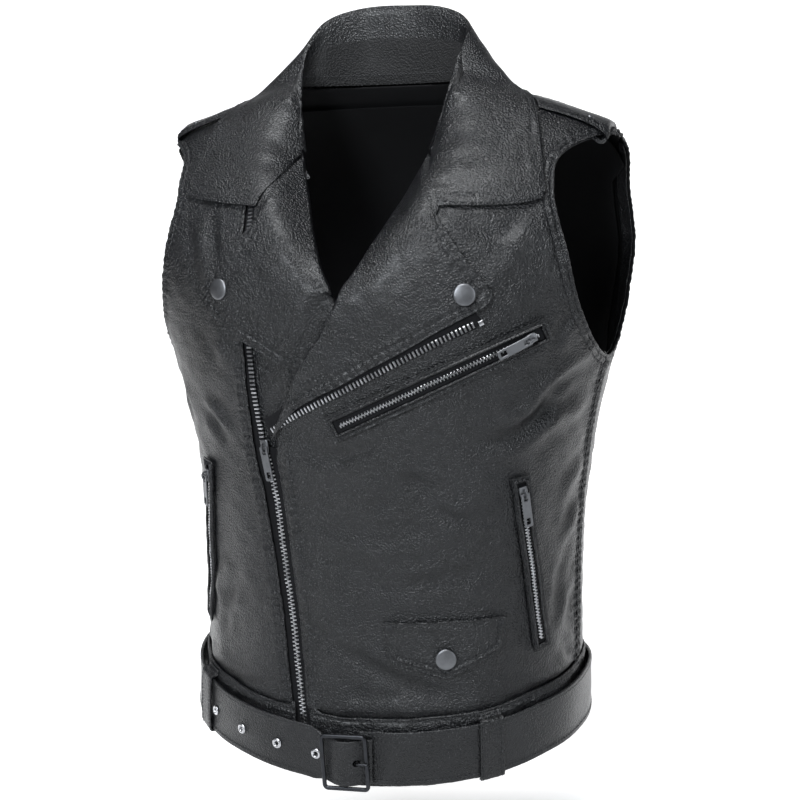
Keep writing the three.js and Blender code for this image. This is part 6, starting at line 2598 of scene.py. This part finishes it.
@dataclass
class Belt:
    """The waist belt with its eyelets, buckle and loops."""

    half: float = BELT_HALF
    ply: float = BELT_PLY
    loop_half: float = 10.0
    loops: tuple[tuple[str, float, float], ...] = (
        ("front_left", 0.2535, -2), ("front_right", 1.682, 0), ("back_left", 0.74, 0),
        ("back_right", 1.26, 0),
    )
    loop_path: tuple[Point, ...] = (
        (30.5, 2.9), (27.8, 3.1), (25.6, 4.4), (25, 7.6), (22.6, 9.7), (0, 9.9), (-22.6, 9.7), (-25, 7.6),
        (-25.4, 4.4), (-26.2, 3.1), (-27, 2.9),
    )

    def strap(self) -> None:
        """Builds the strap with its holes."""
        rise = Curves(("share", "inside"), BELT_ROWS)
        shares = np.concatenate(
            [np.arange(0.02, 0.11, 0.006), np.arange(0.11, 1.93, 0.0085), np.arange(1.93, 2.0551, 0.0035)],
        )
        across = rim_spaced(2 * self.half, 3.2)
        rows = []
        for share in shares:
            narrow = 3.8 * float(smooth_step((share - 1.94) / 0.03))
            shift = BUCKLE_DROP * float(smooth_step((share - 1.93) / 0.04))
            height = float(rise.read("inside", share)) + self.ply / 2
            drops = shift + (across - self.half) * (self.half - narrow) / self.half
            rows.append([FIGURE.waist_point(float(share), float(drop), height)[0] for drop in drops])
        grid = np.array(rows)
        widths = grid_lengths(grid, 1)
        lines = [line_at(widths, 3.4, 1, 4, end) for end in (True, False)]
        strip = Strip(
            "belt", grid, self.ply, ("belt_strap",), Held.STRETCHED, 1.0, Finish.BELT_LEATHER,
            ("waistband_left", "waistband_right", "waistband_back"), lines, 0.12, 9.0, 0.3,
        )
        normal = grid_normals(grid)[20, 6]
        _, out = FIGURE.waist_point(float(shares[20]), 0, 0)
        strip.outward = 1.0 if normal @ out > 0 else -1.0
        strip.build()
        self.drill()

    def drill(self) -> None:
        """Cuts the eyelet holes and the prong's hole through the strap."""
        drills = []
        for share, drop, height in (*EYELET_ROWS, (PRONG_SHARE - 2, BUCKLE_DROP, 10)):
            place = waist_place(share + 2 if share < 0 else share, drop, height)
            tool = lathe([(0, -7), (3.1, -7), (3.1, 7), (0, 7)], 28)
            drills.append(Shape(place.move(tool.points), tool.faces))
        both = Shape.join(drills)
        mesh = bpy.data.meshes.new("drills")
        mesh.from_pydata((both.points * MM).tolist(), [], both.faces)
        cutter = bpy.data.objects.new("drills", mesh)
        bpy.context.scene.collection.objects.link(cutter)
        strap = bpy.data.objects["belt_leather"]
        change = strap.modifiers.new("holes", "BOOLEAN")
        change.operation = "DIFFERENCE"
        change.solver = "EXACT"
        change.object = cutter
        graph = bpy.context.evaluated_depsgraph_get()
        holed = bpy.data.meshes.new_from_object(strap.evaluated_get(graph))
        strap.modifiers.clear()
        strap.data = holed
        bpy.data.objects.remove(cutter)

    def eyelets(self) -> None:
        """Builds the four nickel eyelets."""
        profile = [
            (1.9, -2.6), (2.35, -2.6), (2.35, 0.35), (4.3, 0.3), (4.55, 0.5), (4.5, 0.85), (4.0, 1.3),
            (3.2, 1.55),
            (2.4, 1.45), (2.0, 1.05), (1.9, -2.6),
        ]
        for number, (share, drop, height) in enumerate(EYELET_ROWS, 1):
            place = waist_place(share + 2, drop, height + self.ply)
            ring = lathe(profile, 40)
            put(
                f"eyelet_{number}_ring", Shape(place.move(ring.points), ring.faces), Finish.NICKEL, "vest",
                (f"eyelet_{number}",),
            )

    def buckle(self) -> None:
        """Builds the buckle's frame, centre bar and prong."""
        place = waist_place(BUCKLE_SHARE, BUCKLE_DROP, 11.9)
        wide, tall, corner = 43 / 2 - 1.8, 50 / 2 - 1.8, 3.2
        corners = ((1, 1), (-1, 1), (-1, -1), (1, -1))
        path = []
        for k, (a, b) in enumerate(corners):
            start = k * math.pi / 2
            for step in np.linspace(0, math.pi / 2, 7):
                turn = start + step
                path.append((
                    a * (wide - corner) + corner * math.cos(turn),
                    b * (tall - corner) + corner * math.sin(turn), 0,
                ))
        line = np.array(path)
        ups = np.tile([0.0, 0.0, 1.0], (len(line), 1))
        ring = sweep(line, rounded(3.6, 3.0, 16, 2.8), ups, loop=True)
        bar_line = np.stack([np.zeros(9), np.linspace(-tall, tall, 9), np.full(9, -0.8)], axis=1)
        bar = sweep(bar_line, rounded(2.4, 1.4, 12), np.tile([0.0, 0.0, 1.0], (9, 1)))
        whole = Shape.join([ring, bar])
        put(
            "buckle_frame_metal", Shape(place.move(whole.points), whole.faces), Finish.BLACKENED, "vest",
            ("buckle_frame",),
        )
        prong = spline([(1.8, 0, -1.5), (7.4, 0, -2.1), (10.4, 0, 0.4), (12.6, 0, 2.6), (21.3, 0, 2.7)], 0.8)
        tongue = sweep(prong, rounded(2.0, 1.4, 12, 2.4), np.tile([0.0, 0.0, 1.0], (len(prong), 1)))
        put(
            "buckle_prong_metal", Shape(place.move(tongue.points), tongue.faces), Finish.BLACKENED,
            "vest", ("buckle_prong",),
        )

    def loop(self, where: str, share: float, shift: float) -> None:
        """Builds one belt loop.

        Args:
            where: its place in the names.
            share: share of the half girth at its middle.
            shift: how far it leans along the belt.
        """
        path = spline([(d, h) for d, h in self.loop_path], 1.3)
        across = rim_spaced(2 * self.loop_half, 2.2)
        rows = []
        for drop, height in path:
            lean = shift * (1 - abs(drop) / self.loop_path[0][0]) * 0.4
            rows.append([
                FIGURE.waist_point(share + (w - self.loop_half) / HALF_WAIST, float(drop) + lean, float(height))[0]
                for w in across
            ])
        grid = np.array(rows)
        widths = grid_lengths(grid, 1)
        lines = [line_at(widths, 2.4, 1, 2, end) for end in (True, False)]
        normal = grid_normals(grid)[len(grid) // 2, 3]
        _, out = FIGURE.waist_point(share, 0, 0)
        Strip(
            f"belt_loop_{where}", grid, 1.8, (f"belt_loop_{where}",), Held.FOLDED,
            1.0 if normal @ out > 0 else -1.0, lines=lines, rests=("belt_strap",), pucker=0.15,
        ).build()

    def build(self) -> None:
        """Makes the belt and everything on it."""
        self.strap()
        self.eyelets()
        self.buckle()
        for row in self.loops:
            self.loop(*row)


# Zips ----------------------------------------------------------------------------------------


@dataclass
class ZipTapes:
    """The main zip's tapes and rows of teeth."""

    low: float = -4.1
    thick: float = 1.0
    pitch: float = 3.5

    def tape(self, name: str, runs: list[Run], low: float, size: Point) -> Sheet:
        """Builds one tape.

        Args:
            name: the CAD node.
            runs: its outline.
            low: height of its lower face.
            size: width and length of the woven tape.

        Returns:
            The sheet.
        """
        sheet = Sheet(
            f"{name}_cloth", Cut(Side.FRONT, runs, cell=3.0, edge=1.0), low, self.thick, SPREAD[Side.FRONT],
            Finish.TAPE, nodes=(name,), held=Held.HUNG,
        )
        sheet.flat_size = size
        sheet.build()
        return sheet

    def row(self, name: str, sheet: Sheet, run: Run, reach: float, both: bool, side: float) -> None:
        """Builds a row of teeth on a tape.

        Args:
            name: the piece's name.
            sheet: the tape.
            run: where the teeth stand.
            reach: a tooth's length over the tape.
            both: whether the two rows are meshed.
            side: which side of the run the tape is on.
        """
        path = spline(flat(run), 0.8)
        points, normals = sheet.surface(path, 0.1)
        shape = teeth(points, normals, self.pitch, reach, both, side)
        put(name, shape, Finish.NICKEL, "vest", smooth=35)

    def build(self) -> None:
        """Makes tapes and teeth."""
        right_edge = along(-597, -94, 30, lambda z: (zip_row("right_edge", z) - 8, z))
        chain = along(-94, -597, 30, lambda z: (zip_row("chain", z) - 0.5, z))
        right = self.tape("zip_tape_right", linked(right_edge, chain), self.low, (17.0, 503.0))
        inner = along(-597, -312, 16, lambda z: (zip_row("chain", z) + 0.5, z))
        outer = along(-312, -597, 16, lambda z: (zip_row("left_edge", z) + 8, z))
        left = self.tape("zip_tape_left", linked(inner, outer), self.low, (18.0, 285.0))
        closed = along(-596, -316, 20, lambda z: (zip_row("chain", z), z))
        self.row("zip_chain_closed", left, closed, 3.1, True, 1.0)
        open_right = along(-312, -97, 20, lambda z: (zip_row("chain", z) - 0.5, z))
        self.row("zip_teeth_right", right, open_right, 4.8, False, 1.0)
        upper = offset_path(spline(flat(OPEN_TEETH), 8), 14)
        upper_run = [(float(s), float(FIGURE.height(w))) for s, w in upper][::-1]
        lapel_tape = self.tape("zip_tape_left_open", linked(OPEN_TEETH, upper_run), 0.7, (14.0, 205.0))
        self.row("zip_teeth_left", lapel_tape, OPEN_TEETH, 5.0, False, 1.0)
        self.stop("zip_stop_left", lapel_tape, OPEN_TEETH[-1])

    @staticmethod
    def stop(name: str, sheet: Sheet, spot: Point) -> None:
        """Builds the metal stop at the end of a row of teeth.

        Args:
            name: the piece's name.
            sheet: the tape that it is pressed on.
            spot: where it is.
        """
        origin, normal = sheet.surface(flat([spot]), 0.3)
        ahead, _ = FIGURE.lift(Side.FRONT, spot[0] + 5, spot[1] + 2.2, 1.7)
        place = Place.at(origin[0], ahead, normal[0])
        line = np.stack([np.linspace(-0.5, 3.2, 5), np.full(5, 0.8), np.zeros(5)], axis=1)
        bar = sweep(line, rounded(4.4, 1.8, 12, 3.0), np.tile([0.0, 0.0, 1.0], (5, 1)))
        put(name, Shape(place.move(bar.points), bar.faces), Finish.NICKEL, "vest")


def both_sides(path: Array, half: float) -> tuple[Array, Array]:
    """A path moved to either side."""
    return offset_path(path, half), offset_path(path, -half)


def extended(path: Run, ends: float) -> Run:
    """A path lengthened at both ends."""
    def step(start: Point, end: Point) -> Point:
        """The end moved on."""
        length = math.hypot(end[0] - start[0], end[1] - start[1])
        return (end[0] + (end[0] - start[0]) / length * ends, end[1] + (end[1] - start[1]) / length * ends)

    return [step(path[1], path[0]), *path[1:-1], step(path[-2], path[-1])]


@dataclass
class PocketZip:
    """A pocket zip: piped leather frame, tape and chain."""

    name: str
    path: Run
    frame_half: float
    window_half: float
    low: float = 0.6
    thick: float = 1.8

    def host(self) -> str:
        """The front that the pocket is sewn to."""
        return "front_right" if self.path[0][0] < 0 else "front_left"

    def ring(self, half: float, ends: float) -> Array:
        """Points round the path at a distance, in matching order.

        Args:
            half: distance to either side.
            ends: how far past the path's ends.

        Returns:
            The ring's points along the cloth.
        """
        line = spline(flat(extended(self.path, ends)), 1.0)
        line = line[np.linspace(0, len(line) - 1, 90).astype(int)]
        left, right = both_sides(line, half)
        cap = np.linspace(0, 1, 10)[1:-1, None]
        far = left[-1] * (1 - cap) + right[-1] * cap
        near = right[0] * (1 - cap) + left[0] * cap
        return np.vstack([left, far, right[::-1], near])

    def build(self) -> None:
        """Makes the pocket's pieces."""
        inner = self.ring(self.window_half, 4.0)
        outer = self.ring(self.frame_half, self.frame_half - self.window_half + 4)
        shares = np.concatenate([[0, 0.06, 0.14, 0.24, 0.34], np.linspace(0.45, 0.86, 4), [0.94, 1.0]])
        width = self.frame_half - self.window_half
        beads = {0: 0.2, 0.06: 1.1, 0.14: 1.6, 0.24: 1.1, 0.34: 0.1, 0.86: 0.3, 0.94: 0.55}
        rows = []
        relief = SPREAD[Side.FRONT]
        for share in shares:
            ring = inner * (1 - share) + outer * share
            lift = self.low + self.thick / 2 + beads.get(float(share), 0.0) + relief.at(ring)
            s, z = ring[:, 0], FIGURE.height(ring[:, 1])
            rows.append(FIGURE.lift(Side.FRONT, s, z, lift)[0])
        grid = np.array(rows).swapaxes(0, 1)
        piece = put(
            f"welt_{self.name}_leather", grid_shell(grid, self.thick, loop=True), Finish.LEATHER, "vest",
            (f"welt_{self.name}",),
        )
        whole = float(np.linalg.norm(np.diff(outer, axis=0), axis=1).sum())
        size = (2 * self.frame_half, whole / 2)
        declare(piece, size, Held.LAID, (self.host(),), width * whole * 1.3)
        self.tape_and_teeth()
        self.stitch(inner, outer)

    def stitch(self, inner: Array, outer: Array) -> None:
        """Sews the frame down.

        Args:
            inner: its inner edge.
            outer: its outer edge.
        """
        relief = SPREAD[Side.FRONT]
        ring = inner * 0.38 + outer * 0.62
        ring = np.vstack([ring, ring[:1]])
        s, z = ring[:, 0], FIGURE.height(ring[:, 1])
        points, normals = FIGURE.lift(Side.FRONT, s, z, self.low + self.thick + relief.at(ring) + 0.1)
        put(f"welt_{self.name}_stitching", stitches(points, normals), Finish.THREAD, "vest")

    def tape_and_teeth(self) -> None:
        """Builds the tape and the closed chain on it."""
        line = extended(self.path, 3.4)
        half = self.window_half - 0.6
        left, right = both_sides(spline(flat(line), 4), half)

        def back(points: Array) -> Run:
            """Positions with plain heights."""
            return [(float(s), float(FIGURE.height(w))) for s, w in points]

        node = f"zip_tape_{self.name}"
        sheet = Sheet(
            f"{node}_cloth", Cut(Side.FRONT, linked(back(right), back(left[::-1])), cell=2.4, edge=0.8),
            self.low, 1.0,
            SPREAD[Side.FRONT], Finish.TAPE, nodes=(node,), held=Held.LAID, rests=(self.host(),),
        )
        length = float(np.linalg.norm(np.diff(left, axis=0), axis=1).sum())
        sheet.flat_size = (max(2 * half, 10.0), length * min(half / 5, 1))
        sheet.build()
        path = spline(flat(self.path), 0.8)
        points, normals = sheet.surface(path, 0.0)
        shape = teeth(points, normals, 2.9, 2.2, True)
        put(f"zip_chain_{self.name}", shape, Finish.NICKEL, "vest", smooth=35)


def plate(outer: Sequence[Point], holes: Sequence[Sequence[Point]], thick: float, bevel: float) -> Shape:
    """A flat plate with holes and bevelled edges.

    Args:
        outer: its outline, anticlockwise.
        holes: outlines of its holes, anticlockwise.
        thick: its thickness.
        bevel: width of the bevels.

    Returns:
        The shape, centred on Z.
    """
    loops = [np.array(outer, float), *[np.array(hole, float) for hole in holes]]
    points: list[Array] = []
    edges: list[tuple[int, int]] = []
    rings: list[tuple[range, Array]] = []
    for k, loop in enumerate(loops):
        nxt, last = np.roll(loop, -1, axis=0) - loop, loop - np.roll(loop, 1, axis=0)
        way = nxt / np.linalg.norm(nxt, axis=1, keepdims=True) + last / np.linalg.norm(
            last, axis=1, keepdims=True,
        )
        way /= np.linalg.norm(way, axis=1, keepdims=True)
        inward = np.stack([-way[:, 1], way[:, 0]], axis=1) * (bevel if k == 0 else -bevel)
        start = sum(len(p) for p in points)
        inner = loop + inward
        points.append(inner)
        count = len(loop)
        edges += [(start + i, start + (i + 1) % count) for i in range(count)]
        rings.append((range(start, start + count), loop))
    flat_points = np.vstack(points)
    made = delaunay_2d_cdt([Vector(p) for p in flat_points], edges, [], 0, 1e-5)
    out = np.array([v[:] for v in made[0]])
    faces = []
    for face in made[2]:
        centre = out[list(face)].mean(axis=0)[None]
        if Cut.inside(points[0], centre)[0] and not any(Cut.inside(p, centre)[0] for p in points[1:]):
            faces.append(tuple(face))
    total = len(out)
    top = np.column_stack([out, np.full(total, thick / 2)])
    bottom = np.column_stack([out, np.full(total, -thick / 2)])
    rims, more = [], []
    offset = 2 * total
    for ids, loop in rings:
        count = len(loop)
        high = np.column_stack([loop, np.full(count, thick / 2 - bevel)])
        low = np.column_stack([loop, np.full(count, bevel - thick / 2)])
        rims += [high, low]
        for i in range(count):
            k = (i + 1) % count
            a, b = ids[i], ids[k]
            ha, hb, la, lb = offset + i, offset + k, offset + count + i, offset + count + k
            more += [(a, b, hb, ha), (ha, hb, lb, la), (la, lb, b + total, a + total)]
        offset += 2 * count
    under = [tuple(v + total for v in reversed(face)) for face in faces]
    return Shape(np.vstack([top, bottom, *rims]), [*faces, *under, *more])


@dataclass
class Slider:
    """A zip slider with its arch and its hanging pull tab."""

    name: str
    s: float
    z: float
    to_s: float
    to_z: float
    base: float
    reach: float = 30.0
    wide: float = 8.0
    thick: float = 1.3

    @property
    def body(self) -> str:
        """The moving body of the tab."""
        return f"tab_{self.name}"

    def place(self) -> Place:
        """Local frame of the slider, X towards the tab's end."""
        return chart_place(self.s, self.z, self.base, self.to_s - self.s, self.to_z - self.z)

    def slider(self) -> None:
        """Builds the slider's body and arch."""
        spans = (
            (-6.0, 6.4, 2.2), (-5.4, 7.6, 2.5), (-2.0, 8.0, 2.6), (2.0, 7.2, 2.6), (5.2, 6.2, 2.5),
            (6.0, 5.0, 2.1),
        )
        rows = []
        for x, wide, tall in spans:
            ring = rounded(wide, tall, 20, 4.0)
            rows.append(np.column_stack([np.full(20, x), ring[:, 0], ring[:, 1] + 1.3]))
        points = np.vstack(rows)
        faces = []
        for i in range(len(spans) - 1):
            for j in range(20):
                k = (j + 1) % 20
                faces.append((i * 20 + j, i * 20 + k, (i + 1) * 20 + k, (i + 1) * 20 + j))
        faces += [tuple(range(20)), tuple((len(spans) - 1) * 20 + j for j in reversed(range(20)))]
        line = spline(
            [(-3.2, 0, 2.2), (-2.9, 0, 4.6), (-1.4, 0, 5.9), (1.4, 0, 5.9), (2.9, 0, 4.6), (3.2, 0, 2.2)],
            0.6,
        )
        arch = sweep(line, rounded(2.0, 1.1, 12, 3.0), np.tile([0.0, 1.0, 0.0], (len(line), 1)))
        whole = Shape.join([Shape(points, faces), arch])
        put(
            f"slider_{self.name}_metal", Shape(self.place().move(whole.points), whole.faces),
            Finish.GUNMETAL, "vest",
            (f"slider_{self.name}",), smooth=40,
        )

    def tab(self) -> None:
        """Builds the pull tab on its own body."""
        half, rim, reach = self.wide / 2, 0.65, self.reach
        outer = self.rounded_loop(
            [(-rim, -half), (reach, -half), (reach, half), (-rim, half)], (1.2, 1.8, 1.8, 1.2),
        )
        upper = self.rounded_loop([(rim, -1.9), (rim + 5.6, -1.9), (rim + 5.6, 1.9), (rim, 1.9)], (0.6,) * 4)
        lower = self.rounded_loop(
            [(reach - 8, -2), (reach - 2.4, -2), (reach - 2.4, 2), (reach - 8, 2)], (0.8,) * 4,
        )
        shape = plate(outer, (upper, lower), self.thick, 0.28)
        raised = shape.points + np.array([0, 0, 2.6 + (4 - 1.3) / 2])
        put(
            f"pull_{self.name}_metal", Shape(self.place().move(raised), shape.faces), Finish.GUNMETAL,
            self.body,
            (f"pull_{self.name}",), smooth=30,
        )

    @staticmethod
    def rounded_loop(corners: Sequence[Point], radii: Sequence[float]) -> list[Point]:
        """A rectangle with rounded corners, anticlockwise.

        Args:
            corners: its corners.
            radii: a radius for each.

        Returns:
            The loop's points.
        """
        loop = []
        count = len(corners)
        for k in range(count):
            corner = np.array(corners[k])
            before = np.array(corners[k - 1]) - corner
            after = np.array(corners[(k + 1) % count]) - corner
            before, after = before / np.linalg.norm(before), after / np.linalg.norm(after)
            centre = corner + (before + after) * radii[k]
            for t in np.linspace(0, math.pi / 2, 5):
                point = centre - after * radii[k] * math.cos(t) - before * radii[k] * math.sin(t)
                loop.append((float(point[0]), float(point[1])))
        return loop

    def build(self) -> None:
        """Makes slider and tab."""
        self.slider()
        self.tab()


@dataclass
class Snap:
    """A domed snap cap."""

    name: str
    s: float
    z: float
    height: float

    def build(self) -> None:
        """Makes the cap."""
        profile = [
            (0, 0), (8, 0), (8.7, 0.35), (8.95, 0.9), (8.8, 1.45), (8.2, 1.9), (7.2, 2.15), (5, 2.55),
            (2.5, 2.8), (0, 2.9),
        ]
        place = chart_place(self.s, self.z, self.height, 10, 0)
        cap = lathe(profile, 48)
        put(
            f"snap_{self.name}_metal", Shape(place.move(cap.points), cap.faces), Finish.GUNMETAL, "vest",
            (f"snap_{self.name}",),
        )


# Studio --------------------------------------------------------------------------------------


@dataclass
class Softbox:
    """A soft area light."""

    name: str
    place: tuple[float, float, float]
    aim: tuple[float, float, float]
    size: Point
    watts: float
    shade: tuple[float, float, float] = (1.0, 1.0, 1.0)

    def build(self) -> None:
        """Makes the light."""
        data = bpy.data.lights.new(self.name, "AREA")
        data.shape = "RECTANGLE"
        data.size, data.size_y = self.size
        data.energy = self.watts
        data.color = self.shade
        light = bpy.data.objects.new(self.name, data)
        light.location = self.place
        way = Vector(self.aim) - Vector(self.place)
        light.rotation_euler = way.to_track_quat("-Z", "Y").to_euler()
        bpy.context.scene.collection.objects.link(light)


@dataclass
class Studio:
    """White sweep, soft light and the camera."""

    floor: float = -0.665
    camera_yaw: float = 17.6
    camera_pitch: float = 12.1
    camera_roll: float = -1.64
    distance: float = 1.156
    target: tuple[float, float, float] = (0.0134, 0.0, -0.291)
    focal: float = 1267 / 800 * 36

    def sweep(self) -> None:
        """Builds the paper sweep, a floor that curves up behind the vest."""
        depth = np.concatenate(
            [np.linspace(-4.0, 1.6, 12), 1.6 + 1.1 * np.sin(np.linspace(0.1, math.pi / 2, 16))],
        )
        rise = np.concatenate([np.zeros(12), 1.1 * (1 - np.cos(np.linspace(0.1, math.pi / 2, 16)))])
        depth, rise = np.append(depth, 2.7), np.append(rise, 4.0)
        across = np.linspace(-4, 4, 17)
        points = [(x, y, self.floor + h) for y, h in zip(depth, rise) for x in across]
        wide = len(across)
        faces = [
            (i * wide + j, i * wide + j + 1, (i + 1) * wide + j + 1, (i + 1) * wide + j)
            for i in range(len(depth) - 1) for j in range(wide - 1)
        ]
        mesh = bpy.data.meshes.new("paper_sweep")
        mesh.from_pydata(points, [], faces)
        mesh.materials.append(PaperFinish().make())
        mesh.shade_smooth()
        paper = bpy.data.objects.new("paper_sweep", mesh)
        bpy.context.scene.collection.objects.link(paper)

    def lights(self) -> None:
        """Places the soft lights and the plain surround."""
        aim = (0.0, 0.0, -0.3)
        Softbox("key", (-0.3, -1.5, 0.5), (0.05, 0, -0.25), (0.5, 0.5), 19, (0.9, 0.95, 1.0)).build()
        Softbox("side", (1.5, -0.75, 0.15), aim, (0.25, 1.0), 6, (0.9, 0.95, 1.0)).build()
        Softbox("top", (-0.1, -0.5, 1.2), (0, 0, -0.2), (0.9, 0.35), 22, (0.96, 0.98, 1.0)).build()
        world = bpy.data.worlds.new("surround")
        world.use_nodes = True
        shade = world.node_tree.nodes["Background"]
        shade.inputs["Color"].default_value = (0.93, 0.95, 1.0, 1)
        shade.inputs["Strength"].default_value = 0.1
        bpy.context.scene.world = world
        bpy.context.scene.view_settings.view_transform = "Standard"

    def camera(self) -> None:
        """Sets the camera as in the photograph."""
        yaw, pitch, roll = (math.radians(v) for v in (self.camera_yaw, self.camera_pitch, self.camera_roll))
        back = Vector((math.sin(yaw) * math.cos(pitch), -math.cos(yaw) * math.cos(pitch), math.sin(pitch)))
        right = (-back).cross(Vector((0, 0, 1))).normalized()
        up = right.cross(-back)
        turned = right * math.cos(roll) + up * math.sin(roll)
        top = up * math.cos(roll) - right * math.sin(roll)
        data = bpy.data.cameras.new("camera")
        data.lens = self.focal
        data.sensor_width = 36
        camera = bpy.data.objects.new("camera", data)
        place = Matrix((turned, top, back)).transposed().to_4x4()
        place.translation = Vector(self.target) + back * self.distance
        camera.matrix_world = place
        bpy.context.scene.collection.objects.link(camera)
        bpy.context.scene.camera = camera

    def build(self) -> None:
        """Makes the studio."""
        self.sweep()
        self.lights()
        self.camera()


def main() -> None:
    """Builds the vest piece by piece, then the studio."""
    logging.basicConfig(level=logging.INFO, format="%(name)s %(message)s")
    makers: list[object] = [
        Fronts(), Back(), Waistband(), Lapels(), Flap(), Collar(), ShoulderStrap(1), ShoulderStrap(-1),
        Belt(),
        ZipTapes(),
        PocketZip("chest", CHEST_PATH, 11.5, 6.2),
        PocketZip("hand_left", HAND_PATH, 8.8, 4.4),
        PocketZip("hand_right", mirrored(HAND_PATH), 8.8, 4.4),
        Slider("main", -72, -310, -66.5, -346, -2.6),
        Slider("chest", 158, -216.5, 134, -226.6, 2.1),
        Slider("hand_left", 152.8, -348, 157.6, -382, 2.1),
        Slider("hand_right", -152.8, -348, -157.6, -382, 2.1),
        Snap("lapel_left", 105.5, -179, 4.4),
        Snap("lapel_right", -108, -177, 3.6),
        Snap("flap", 85.5, -486, 3.5),
        Studio(),
    ]
    for maker in makers:
        LOG.info("building %s", type(maker).__name__)
        maker.build()


if __name__ == "__main__":
    main()
